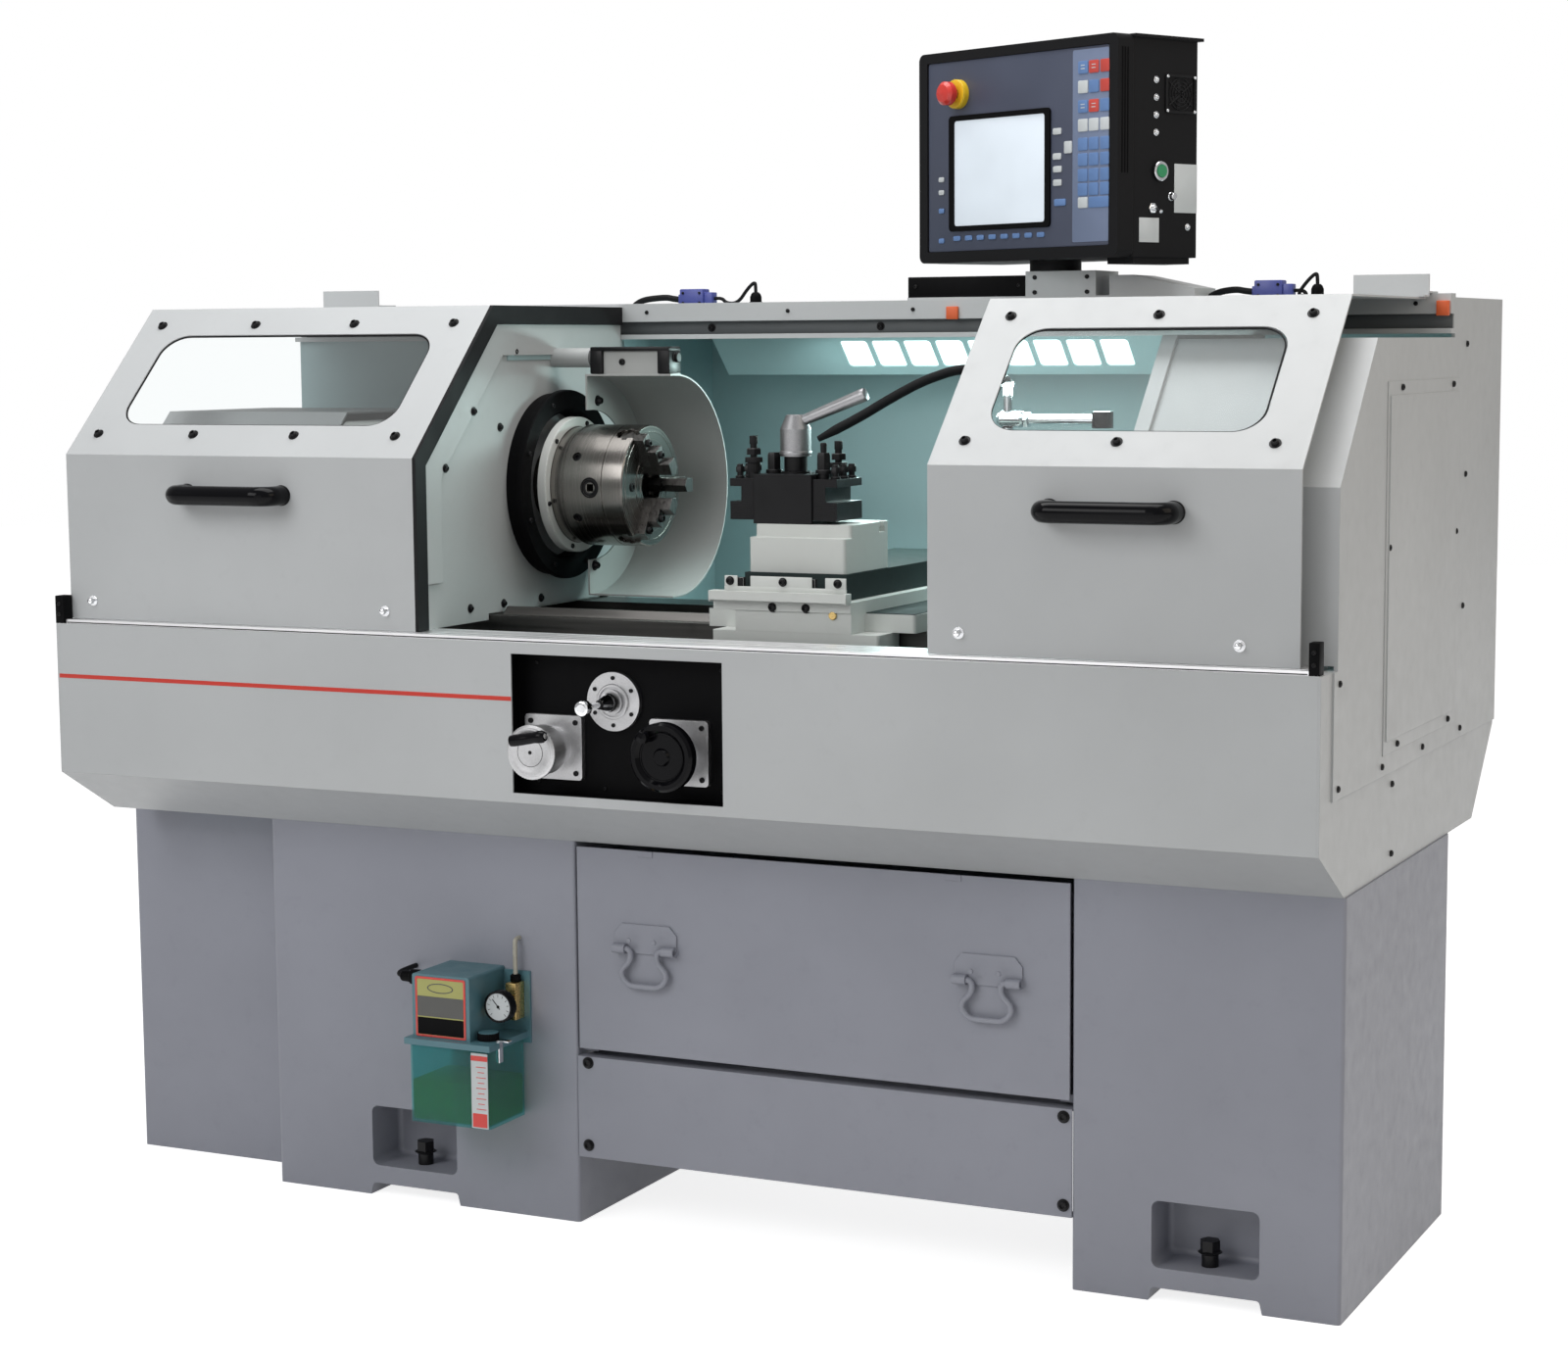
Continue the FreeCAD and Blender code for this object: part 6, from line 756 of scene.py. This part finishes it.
def jaw_pieces(number, turn_deg):
    """The screws of a jaw, and the fine teeth on its steps and sides."""
    body = "jaw_body_%d" % number
    turn = math.radians(turn_deg)
    place = plane((0, *SPINDLE), (0, math.cos(turn), math.sin(turn)),
                  (0, -math.sin(turn), math.cos(turn)))
    build("jaw_%d_screws" % number, body, BLACKED, place,
          *[(socket_screw(6.6, 6, 28), shift(radius, 0, CHUCK_FACE + rise - SINK))
            for radius, rise in ((60, 33.6), (82, 16.6))])
    teeth = []
    for radius, low, high in ((48, 34.6, 50.6), (71, 17.6, 32.6)):
        for i in range(8):
            y = -8.75 + 2.5 * i
            teeth.append(box((radius - 0.4, radius + 0.9), (y - 0.7, y + 0.7),
                             (CHUCK_FACE + low, CHUCK_FACE + high), 0.3, 1))
    for side in (-11, 11):
        for i in range(5):
            z = CHUCK_FACE + 4 + 2.6 * i
            teeth.append(box((44, 90), (side - 0.35, side + 0.35), (z, z + 1.2), 0.2, 1))
    build("jaw_%d_teeth" % number, body, JAW, place, *teeth)


def chuck_pieces():
    body = "spindle_body"
    around = spindle_plane()
    build("backplate_skin", body, IVORY, around,
          turned([(-352.3, 97), (-352.3, 112.5), (-338.6, 112.5), (BACKPLATE_FACE, 111.4),
                  (BACKPLATE_FACE, 97)], 72, True))
    screws("backplate_screws", spindle_plane(BACKPLATE_FACE), body,
           on_ring(104.5, range(15, 375, 60)), 4.2, 3)
    foot, top = CHUCK_FACE - SINK, CHUCK_FACE + 0.5
    build("chuck_face_rings", body, CHUCK, around,
          *[turned([(foot, r), (top, r + 0.4), (top, r + 1.2), (foot, r + 1.6)], 72, True)
            for r in (36.5, 52, 88)])
    # The black square deep in each key socket is painted shade for the pinion's square hole; the
    # blacked rings round it make the dark socket wider.
    for turn in (0, 120, 240):
        build("key_socket_%d" % turn, body, (BLACKED, BLACK_MATT),
              chuck_side(turn, CHUCK_FACE - 60.4, 98),
              turned([(-0.3, 8.6), (0.5, 8.8), (0.9, 9.6), (0.9, 12.6), (0.3, 13.4), (-0.3, 13.4)],
                     40, True),
              turned([(0, 13.9), (1.9, 13.9), (2.3, 14.6), (2.1, 16.6), (0.2, 17.2)], 44, True),
              (box((-5.8, 5.8), (-5.8, 5.8), (-15.9, -14.6), 0.4, 1), STILL, 1))
    build("chuck_body_screws", body, BLACKED, STILL,
          *[(socket_screw(7.8, 7.4, 28),
             chuck_side(turn, CHUCK_FACE - 90.4, 91) @ shift(0, 0, -SINK))
            for turn in range(30, 390, 60)])
    screws("chuck_face_screws", spindle_plane(CHUCK_FACE), body, on_ring(66, (60, 180, 300)),
           7, 2.6)
    for number, turn in enumerate((0, 120, 240), start=1):
        jaw_pieces(number, turn)


def guard_pieces():
    """The strap on the guard's hinge block, with the screws of the guard."""
    y, leg = (447, 487.8), (1338.6, 1376.6)
    plates("guard_hinge_block", MACHINE, "guard_body", BLACKED,
           [((-306.5, -158.5), (447, 487.6), (1375.4, 1382.6)),
            ((-307, -284), y, leg), ((-181, -158.2), y, leg)], 2, "black_paint")
    screws("guard_side_screws", spindle_plane(-309), "guard_body",
           [(15, 139), (-3, -134)], 6, 7.5, 9)
    screws("guard_hinge_screws", front_plane(453), "guard_body", [(-249, 1358)], 5.4)
    build("guard_pin_cap", "frame", BLACKED, end_plane(0, 470, 1365),
          turned([(-157.6, 8.3), (-152.8, 8.3), (-152, 7.4), (-152, 0)], 28), slot="black_paint")


def bulkhead_pieces():
    build("splash_ring_skin", "frame", BLACK_MATT, spindle_plane(),
          turned([(WALL_FACE - SINK, 119.5), (WALL_FACE - SINK, 151.5), (-364.5, 151.5),
                  (-364.5, 157.5), (-357, 157), (SPLASH_RING_FACE, 155.5),
                  (SPLASH_RING_FACE, 127.6), (-363.8, 119.5)], 96, True),
          slot="black_paint")
    screws("splash_ring_screws", spindle_plane(SPLASH_RING_FACE), "frame",
           on_ring(141.5, range(22, 382, 45)), 4.2, 3.4)
    wall = end_plane(WALL_FACE)
    screws("bulkhead_edge_screws", wall, "frame", [(116, 1195), (203, 1282)], 4.6, 4, 7.2, lift=6)
    screws("bulkhead_screws", wall, "frame",
           [(292, 1254.5), (293.5, 968), (413, 967.7), (191, 968)], 4.6, 4, 7.2)
    plates("bulkhead_strip", wall, "frame", INNER, [((318, 686), (1362, 1388), (-SINK, 2.2))])
    screws("bulkhead_strip_screws", wall, "frame", [(340, 1376), (508, 1376)],
           4.4, 4, 6.8, lift=2.2)


# ---- carriage ----------------------------------------------------------------------------
def carriage_pieces():
    front = front_plane(165)
    screws("cover_screws", front, "carriage", [(165, 990), (221, 990)], 6.6, 5.6, 8.2)
    # Thin dark plates on the saddle's top, on each side of the cross slide, are painted shadow:
    # that part of the saddle lies in shade.
    shadow_span = ((216.5, 678.5), (979.8, 981.4))
    plates("saddle_painted_shadow", MACHINE, "carriage", WAY,
           [((296, 376.5), *shadow_span), ((29.5, 100), *shadow_span)], 0.5)
    build("oil_plug", "carriage", BRASS, front @ shift(265, 980),
          turned([(-0.2, 6.4), (2.6, 6.4), (3.4, 5.6), (3.4, 0)], 24))
    plates("way_wipers", front_plane(163.5), "carriage", RUBBER,
           [(span, (1013, 1034.5), (-0.5, 6.6))
            for span in ((104.5, 119.5), (130.5, 195.5), (210.5, 239.5))], 1)
    sheet, tab, fold = (154.2, 156.4), (1020, 1037), ((144.8, 165), (997, 1014.2))
    plates("slide_flange", MACHINE, "carriage", IVORY,
           [((88.3, 110), sheet, tab), ((132, 235), sheet, tab), ((257, 291.7), sheet, tab),
            ((88, 292), (153.8, 156.8), (1013.2, 1021)),
            ((64.8, 67), *fold), ((293, 295.2), *fold)], 0.8)
    screws("bracket_screws", front_plane(sheet[0]), "carriage",
           [(x, 1029) for x in (98, 187, 278)], 5.4, 5, 6.8)


def toolpost_pieces():
    """The screws and ribs of the toolpost and its holders, and the lever's hub and bar."""
    shapes = []
    for side in (-1, 1):
        near = TOOLPOST[0] + side * 50.3
        for y in (237.6, TOOLPOST[1], 296.4):
            x = near + side * 30.5
            shapes += [(hexagon(13, 9), shift(x, y, 1190)),
                       (socket_screw(5.4, 4), shift(x, y, 1198.6)),
                       (turned([(0, 7.6), (3, 7.6), (4, 6.6)], 24), shift(x, y, 1180.8))]
        stud = shift(near + side * 9, 241)
        shapes += [(knurled(9.4, 15, 26, 0.5), stud @ shift(0, 0, 1190.2)),
                   (socket_screw(5.3, 5), stud @ shift(0, 0, 1231))]
    for x, y, foot in ((96.7, 241, 1205), (214, 298, 1196)):
        stud = shift(x, y, foot)
        shapes += [(knurled(13, 8, 30, 0.5), stud),
                   (hexagon(21, 10), stud @ shift(0, 0, 12)),
                   (knurled(6, 13, 18, 0.4), stud @ shift(0, 0, 28)),
                   (turned([(-15.4, 5.6), (30, 5.6)], 24), stud)]
    for x, y, foot in ((121, 262, 1187.8), (215.3, 241, 1189)):
        shapes += [(turned([(0, 12.6), (5, 12.6), (6, 11.6)], 32), shift(x, y, foot)),
                   (hexagon(19, 30), shift(x, y, foot + 2))]
    build("toolpost_screws", "cross_slide_body", BLACKED, MACHINE, *shapes)
    hub = MACHINE @ shift(*TOOLPOST)
    build("toolpost_hub_trim", "lever_body", HUB, hub,
          (turned([(0, 24.4), (1.4, 25.2), (5, 25.2), (6.4, 24.4)], 48), shift(0, 0, 1216)),
          (turned([(0, 15.3), (1.4, 14.6), (2.2, 12.6), (2.2, 0)], 40), shift(0, 0, 1275.6)))
    build("toolpost_hub_collar", "lever_body", BLACKED, hub,
          turned([(1191.4, 16.1), (1191.4, 18), (1213.6, 18), (1213.6, 16.1)], 44, True))
    rise = math.radians(21)
    x, y, z = TOOLPOST[0] + 6, TOOLPOST[1], 1266
    build("toolpost_lever_skin", "lever_body", HUB,
          towards((x, y, z), (x + math.cos(rise), y, z + math.sin(rise))),
          turned([(4, 8.4), (112, 10.5), (117.6, 10.7), (120.4, 9.7), (121, 8.6), (121, 0)],
                 36))
    for name, span in (("left", (69.7, 101.7)), ("right", (210.3, 242.3))):
        rows = [1121 + 2.6 * i for i in range(9)]
        build(name + "_holder_ribs", "cross_slide_body", BLACKED, front_plane(221),
              *[box(span, (z, z + 1.1), (-0.2, 0.35), 0.15, 1) for z in rows])


def coolant_pieces():
    build("tap_skin", "carriage", CHROME, end_plane(0, STANDPIPE[1], 1262),
          turned([(341.6, 8.5), (347.6, 13.5), (382.4, 13.5), (388.4, 8.5), (508, 8.5)], 32),
          (hexagon(24, 8), shift(0, 0, 388)))
    plates("tap_knob_skin", MACHINE, "carriage", BLACK,
           [((506.5, 534.5), (626.5, 653.5), (1248.5, 1275.5))], 2.4)
    build("standpipe_skin", "carriage", CHROME, MACHINE @ shift(*STANDPIPE),
          turned([(981, 9.5), (1248, 9.5)], 28),
          turned([(979.9, 18.4), (989.4, 18.4), (990.4, 16), (990.4, 9.6)], 28),
          turned([(1274, 7.5), (1314, 7.5), (1315, 9.6), (1322, 9.6)], 28))
    build("hose_clip", "carriage", CHROME,
          towards((352, 634.6, 1328), (342, 625.6, 1338)),
          turned([(0, 8.2), (0, 9.8), (12, 9.8), (12, 8.2)], 28, True))


# ---- console --------------------------------------------------------------------------------
def console_keys():
    """The keys of the console's face, each with its place and the number of its colour."""
    white, blue, red = range(3)
    marks = {"w": white, "b": blue, "r": red}
    keys = []
    for row, z in (("brr", 276), ("wbr", 246), ("brb", 216), ("www", 187), ("bbb", 158),
                   ("bbb", 134), ("bbb", 110), ("bbb", 88)):
        keys += [(x, z, 21.6, 19.6, marks[mark]) for x, mark in zip((-58, -34, -9), row)]
    keys += [(-57.5, 67.5, 21.6, 17, white), (-21.2, 67.5, 46, 17, blue)]
    keys += [(x, z, 19, 10, white)
             for x, z in ((-116, 181), (-116, 142), (-115, 122), (-115, 101))]
    keys += [(-91, 155, 17.5, 19, white), (-109, 70, 26, 11, blue)]
    keys += [(-352 + 28.4 * i, 21, 17, 8, blue) for i in range(8)]
    keys += [(-390, z, 13, 8, mark)
             for z, mark in ((118, white), (97, white), (67, blue), (18, blue))]
    return [(slab(width, height, 1.6, 2.4, 0.6), shift(x, z, -1.6), mark)
            for x, z, width, height, mark in keys]


def console_pieces():
    body = "console_body"
    build("console_faceplate", body, (SLATE, SLATE_LIGHT), CONSOLE_FACE,
          (slab(421, 307, 1.4, 4, 0.4), shift(-211.5, 154, -3.1)),
          (slab(80, 297, 0.4, 3, 0.1), shift(-41.5, 155, -1.75), 1))
    screen = shift(-250, 126, -1.8)
    build("screen_frame", body, BLACK_MATT, CONSOLE_FACE @ screen,
          ring_frame(rounded_outline(239, 187, 7, 5),
                     rounded_outline(215, 170, 5, 5), 3.4))
    build("screen_glass", body, SCREEN, CONSOLE_FACE @ screen, slab(215.4, 170.4, 1.2, 4, 0.3))
    build("stop_button_ring", body, YELLOW, CONSOLE_FACE @ shift(-347, 254),
          turned([(-3.1, 9.6), (-3.1, 23.6), (8, 23.6), (9.4, 22.4), (9.4, 9.6)], 56, True))
    build("console_keys", body, (KEY_WHITE, KEY_BLUE, KEY_RED), CONSOLE_FACE, *console_keys(),
          slot="console_plastic")
    build("key_marks", body, KEY_WHITE, CONSOLE_FACE,
          *[(slab(9, 1.4, 0.3, 0.5), shift(x, z + rise, -0.1)) for z in (276, 216)
            for x in (-58, -34) for rise in (3, -2)])


def console_side_pieces():
    body = "console_body"
    side = plane(CONSOLE_CORNER + CONSOLE_RIGHT * 18, CONSOLE_BACK, UP)
    shapes = [(ring_frame(rounded_outline(68, 60, 4), rounded_outline(60, 52, 3), 2.6),
               shift(0, 0, -SINK))]
    for radius in (6, 12, 18, 24):
        shapes.append(turned([(1.4, radius), (2, radius + 0.8), (1.4, radius + 1.6),
                              (0.8, radius + 0.8)], 40, True))
    for turn in (35, 145, 215, 325):
        shapes.append((box((2, 31), (-0.9, 0.9), (0.6, 2), 0.3, 1), spin(turn)))
    for i in range(7):
        shapes.append((box((7, 23), (-3.4, 3.4), (-0.1, 0.7), 0.3, 1), spin(51.4 * i)))
    build("fan_grille", body, BLACKED, side @ shift(139, 236), *shapes, slot="black_plastic")
    screws("housing_screws", side, body,
           [(85, 256), (85, 229), (85, 202), (85, 175), (157, 30)], 3.8, 3, 5.4, CHROME)
    screws("fan_screws", side, body, [(x, z) for z in (262.5, 209.5) for x in (108.5, 169.5)],
           2.6, 2.2, 0, CHROME, 2.2)
    toggle = shift(78, 58)
    build("side_switches", body, CHROME, side,
          (turned([(3.6, 10.6), (3.6, 15.4), (5.4, 15.4), (6.4, 14.4), (6.4, 10.6)], 40, True),
           shift(93, 115.5)),
          (hexagon(15, 3), toggle @ shift(0, 0, -SINK)),
          (turned([(2.6, 5), (6, 5), (7, 4)], 24), toggle),
          (turned([(0, 2), (12, 2.6), (15, 3), (16.6, 2), (16.8, 0)], 20),
           toggle @ shift(0, 0, 6) @ spin(24, "X")),
          (turned([(-0.2, 7), (2, 7), (3, 6), (9, 5.6), (10, 4.8), (10, 0)], 28),
           shift(119, 77)))
    plates("side_plates", side, body, KEY_WHITE,
           [((127, 178), (52, 128), (-0.1, 0.7)), ((49, 93), (5, 43), (-0.1, 0.7))], 0.3)
    bezel = plane(CONSOLE_CORNER + CONSOLE_RIGHT * 20, CONSOLE_BACK, UP)
    build("bezel_ribs", body, BLACK_MATT, bezel,
          *[box((x, x + 2.6), (111, 303), (-0.4, 0.9), 0.4, 1) for x in (8, 14, 20)])


def arm_pieces():
    arm = front_plane(ARM_FRONT)
    screws("arm_plate_screws", arm, "frame", [(172, 1478), (355, 1478)], 3.4, 2.8, lift=-4)
    screws("arm_post_screws", arm, "frame",
           [(x, z) for z in (1490, 1466) for x in (384, 474)], 3.6, 3)
    screws("arm_foot_screws", MACHINE @ shift(0, 0, ROOF + 10), "frame",
           [(640, 702), (640, 790)], 3.6, 3)
    plates("arm_channel_skin", MACHINE, "frame", BLACK_MATT,
           [((158.6, 368), (695.6, 696.4), (1460.2, 1493.6))], 0.3, "black_paint")


# ---- right end, base and drawer -----------------------------------------------------------
def end_pieces():
    end = end_plane(RIGHT_FACE)
    screws("access_screws", end, "frame",
           [(391, 1318), (703, 1318), (330, 1090), (736, 1090), (391, 800),
            (703, 800)], 4.8, lift=1.5)
    screws("end_cover_screws", end, "frame",
           [(796, 1379), (800, 1176), (797, 969), (81, 920), (79, 775),
            (314, 775), (551, 775), (793, 775)], 4.8, 3.4)
    screws("end_base_screws", end, "frame", [(383, 741), (384, 638)], 4.8, lift=-3)


def drawer_pieces():
    """The flange behind the drawer's lower edge, the panel's screws and the handles' rivets."""
    plates("panel_flange", MACHINE, "frame", BASE,
           [((-164, 656), (PANEL_FACE + 1, PANEL_FACE + 90),
             (PANEL_TOP - 4, PANEL_TOP - 2))])
    screws("panel_screws", front_plane(PANEL_FACE), "frame",
           [(-150, 261), (-151, 128), (648, 259), (648, 126)], 7, 5, 9.5)
    build("bail_rivets", "drawer_body", BASE, front_plane(DRAWER_FACE),
          *[(turned([(0, 4.2), (1.4, 3.8), (2.2, 2.2), (2.4, 0)], 24), shift(x, 467))
            for x in (-65, -21, 508, 552)], slot="chrome")


# ---- lubricator ---------------------------------------------------------------------------
def oval(across, up):
    """An ellipse's outline, in steps of a quarter radian."""
    return [(across * math.cos(step / 4), up * math.sin(step / 4)) for step in range(25)]


def pump_pieces():
    """The bare plate of the pump box: red rim, olive field, and two dark strips."""
    red, olive, dark, black = range(4)
    build("pump_plate", "frame", (RED, OLIVE, OLIVE_DARK, BLACK_MATT),
          front_plane(24) @ shift(-353, 0),
          (ring_frame(rounded_outline(92, 96, 3), rounded_outline(85, 89, 2), 1),
           shift(0, 353, -0.1), red),
          (slab(86, 90, 0.6, 2), shift(0, 353, -0.1), olive),
          (slab(84, 32, 0.5, 1), shift(0, 354, 0.45), dark),
          (slab(84, 27, 0.5, 1), shift(0, 322.5, 0.45), black),
          (ring_frame(oval(24, 8), oval(22, 6.4), 0.4), shift(0, 384, 0.45), dark),
          slot="teal_paint")


def tank_pieces():
    """The oil in the tank, and the scale on its front."""
    plates("tank_oil", MACHINE, "frame", OIL, [((-405.6, -265.4), (19.6, 124.4), (171.4, 236))], 4)
    white, red = range(2)
    build("tank_scale", "frame", (KEY_WHITE, RED), front_plane(16),
          (slab(30, 120, 0.7, 1), shift(-279, 229, -0.1), white),
          (slab(30, 8, 0.5, 1), shift(-279, 281, 0.5), red),
          (slab(26, 22, 0.5, 1), shift(-279, 182, 0.5), red),
          *[(slab(12 if i % 2 else 18, 1.2, 0.4, 0.3), shift(-276, 200 + 8.4 * i, 0.55), red)
            for i in range(9)])


def gauge_pieces():
    """The pressure gauge: rim, dial, ticks, needle and its cap."""
    white, black = range(2)
    ticks = [(box((-2.2, 2.2), (-0.4, 0.4), (0, 0.3), 0.1, 1),
              shift(0, 0, 0.8) @ spin(225 - 27 * i) @ shift(17.6, 0), black) for i in range(11)]
    build("gauge_face", "frame", (KEY_WHITE, BLACK), front_plane(56) @ shift(-267, 356),
          (turned([(-14, 20.2), (-13, 25.6), (0.5, 25.6), (2.2, 24.6), (2.2, 22.2), (0.4, 21.6),
                   (0.4, 20.2)], 56, True), STILL, black),
          (turned([(-0.2, 21.8), (0.9, 21.6), (0.9, 0)], 56), STILL, white), *ticks,
          (box((-5, 15.5), (-0.7, 0.7), (0, 0.5), 0.2, 1), shift(0, 0, 1.1) @ spin(130), black),
          (turned([(0.9, 2.6), (2, 2.2), (2, 0)], 20), STILL, black))


def fitting_pieces():
    """The brass fittings and the tube behind the tank, its cap and clip, and the pump's cable."""
    plates("brass_block_skin", MACHINE, "frame", BRASS,
           [((-280.5, -261.5), (99.4, 127.6), (325.4, 384.6))], 1.6)
    build("brass_fittings", "frame", BRASS, front_plane(99.6) @ shift(-272, 356),
          turned([(0, 6.6), (44, 6.6)], 28), (hexagon(14, 9), shift(0, 0, 14)))
    tube_piece("oil_tube_skin", [(-272, 118, 382), (-272, 118, 410), (-272, 118, 440),
                                 (-272, 118.5, 450), (-272, 124, 452.2), (-272, 132, 452.2)],
               3.7, "frame", NYLON)
    build("filler_cap", "frame", BLACK_MATT, MACHINE,
          (knurled(16.3, 12, 30, 0.7), shift(-280, 46, 304.6)),
          (turned([(384, 7.6), (386, 8.4), (394, 8.4), (396, 6), (396, 4)], 24), shift(-272, 118)))
    gland = end_plane(0, 72, 387)
    build("pump_gland", "frame", CHROME, gland,
          turned([(-420, 11.4), (-418, 12.6), (-414, 12.6), (-413, 11.4), (-411, 13),
                  (-404.6, 13)], 32))
    build("pump_plug", "frame", BLACK_MATT, gland,
          turned([(-456, 5.6), (-453, 8.4), (-438, 9.2), (-436, 12), (-421, 12.4),
                  (-419.6, 11)], 32))
    tube_piece("pump_cable", [(-448, 72, 387), (-460, 72, 388), (-466, 82, 390),
                              (-467, 108, 391), (-467, 133, 391)], 4.2, "frame", RUBBER)
    plates("tank_clip", MACHINE, "frame", CHROME,
           [((-262.4, -257), (40, 52), (270, 306)), ((-262.4, -240), (40, 52), (304, 306.5))], 0.8)


PARTS = (door_pieces, apron_pieces, wheel_pieces, rail_pieces, roof_pieces, chuck_pieces,
         guard_pieces, bulkhead_pieces, carriage_pieces, toolpost_pieces, coolant_pieces,
         console_pieces, console_side_pieces, arm_pieces, end_pieces, drawer_pieces, pump_pieces,
         tank_pieces, gauge_pieces, fitting_pieces)


# ---- camera, floor and light ------------------------------------------------------------
IMAGE_WIDTH = 1600
FOCAL_PX = 3041.68
SENSOR_MM = 36.0
CENTRE_PX = (832.01, 708.10)
IMAGE_HALF = (800.0, 692.5)
CAMERA_AT = (2145.08, -3874.05, 1385.14)
CAMERA_YAW = math.radians(25.312)
CAMERA_PITCH = math.radians(-6.694)
CAMERA_ROLL = math.radians(-0.372)


def make_camera():
    camera = bpy.data.cameras.new("camera")
    camera.sensor_width = SENSOR_MM
    camera.lens = FOCAL_PX / IMAGE_WIDTH * SENSOR_MM
    camera.shift_x = (IMAGE_HALF[0] - CENTRE_PX[0]) / IMAGE_WIDTH
    camera.shift_y = (CENTRE_PX[1] - IMAGE_HALF[1]) / IMAGE_WIDTH
    camera.clip_end = 60.0
    forward = Vector((-math.sin(CAMERA_YAW) * math.cos(CAMERA_PITCH),
                      math.cos(CAMERA_YAW) * math.cos(CAMERA_PITCH), math.sin(CAMERA_PITCH)))
    level = Vector((math.cos(CAMERA_YAW), math.sin(CAMERA_YAW), 0.0))
    over = level.cross(forward)
    right = level * math.cos(CAMERA_ROLL) + over * math.sin(CAMERA_ROLL)
    up = over * math.cos(CAMERA_ROLL) - level * math.sin(CAMERA_ROLL)
    holder = bpy.data.objects.new("camera", camera)
    turn = Matrix((right, up, -forward)).transposed().to_4x4()
    holder.matrix_world = Matrix.Translation(at(*CAMERA_AT)) @ turn
    bpy.context.scene.collection.objects.link(holder)
    bpy.context.scene.camera = holder


def make_floor():
    """A pale floor that is white to the camera and in reflections but still takes shadow."""
    mesh = bpy.data.meshes.new("floor")
    reach = 14.0
    corners = [(-reach, -reach, 0), (reach, -reach, 0), (reach, reach, 0), (-reach, reach, 0)]
    mesh.from_pydata(corners, [], [(0, 1, 2, 3)])
    floor = bpy.data.objects.new("floor", mesh)
    bpy.context.scene.collection.objects.link(floor)
    g = Graph("floor_white")
    rays = g.node("ShaderNodeLightPath").outputs
    seen = g.math("MAXIMUM", rays["Is Camera Ray"],
                  g.math("MAXIMUM", rays["Is Glossy Ray"], rays["Is Transmission Ray"]))
    g.set(Base_Color=g.mix(g.noise(0.8, 2.0), (0.62, 0.62, 0.62), (0.66, 0.66, 0.66)),
          Roughness=0.7, Emission_Color=(1.0, 1.0, 1.0),
          Emission_Strength=g.math("MULTIPLY", seen, 0.80))
    mesh.materials.append(g.material)


def make_world():
    """White to the camera and through clear sheet, and a soft even light on the object."""
    world = bpy.data.worlds.new("studio")
    bpy.context.scene.world = world
    world.use_nodes = True
    tree = world.node_tree
    back = tree.nodes["Background"]
    back.inputs["Color"].default_value = (1.0, 1.0, 1.0, 1.0)
    path = tree.nodes.new("ShaderNodeLightPath")
    seen = tree.nodes.new("ShaderNodeMath")
    seen.operation = "MAXIMUM"
    tree.links.new(path.outputs["Is Camera Ray"], seen.inputs[0])
    tree.links.new(path.outputs["Is Transmission Ray"], seen.inputs[1])
    level = tree.nodes.new("ShaderNodeMapRange")
    level.inputs["To Min"].default_value = 0.42
    level.inputs["To Max"].default_value = 1.0
    tree.links.new(seen.outputs[0], level.inputs["Value"])
    tree.links.new(level.outputs["Result"], back.inputs["Strength"])


def area_light(name, spot, target, size, power, color=(1.0, 1.0, 1.0)):
    light = bpy.data.lights.new(name, "AREA")
    light.shape = "RECTANGLE"
    light.size, light.size_y = size
    light.energy = power
    light.color = color
    holder = bpy.data.objects.new(name, light)
    start = at(*spot)
    holder.location = start
    holder.rotation_euler = (at(*target) - start).to_track_quat("-Z", "Y").to_euler()
    bpy.context.scene.collection.objects.link(holder)


def make_lights():
    area_light("key", (-1500, -3200, 3000), (-100, 200, 900), (2.4, 1.8), 53.0)
    area_light("front_fill", (600, -4200, 1600), (0, 300, 800), (3.0, 2.0), 9.0)
    area_light("right_fill", (2900, 0, 2350), (1065, 450, 1150), (1.6, 1.6), 12.6,
               (1.0, 0.86, 0.68))
    area_light("top", (0, 300, 3600), (0, 300, 1000), (3.0, 1.6), 62.0)
    area_light("work_light", (260, 770, 1320), (200, 420, 1000), (0.56, 0.06), 4.6,
               (0.74, 1.0, 0.97))
    area_light("wall_wash", (330, 640, 1335), (360, 850, 1120), (0.8, 0.1), 1.1,
               (0.80, 1.0, 0.98))


finish_nodes()
for make_part in PARTS:
    make_part()
make_camera()
make_floor()
make_world()
make_lights()

bpy.context.scene.view_settings.view_transform = "Standard"
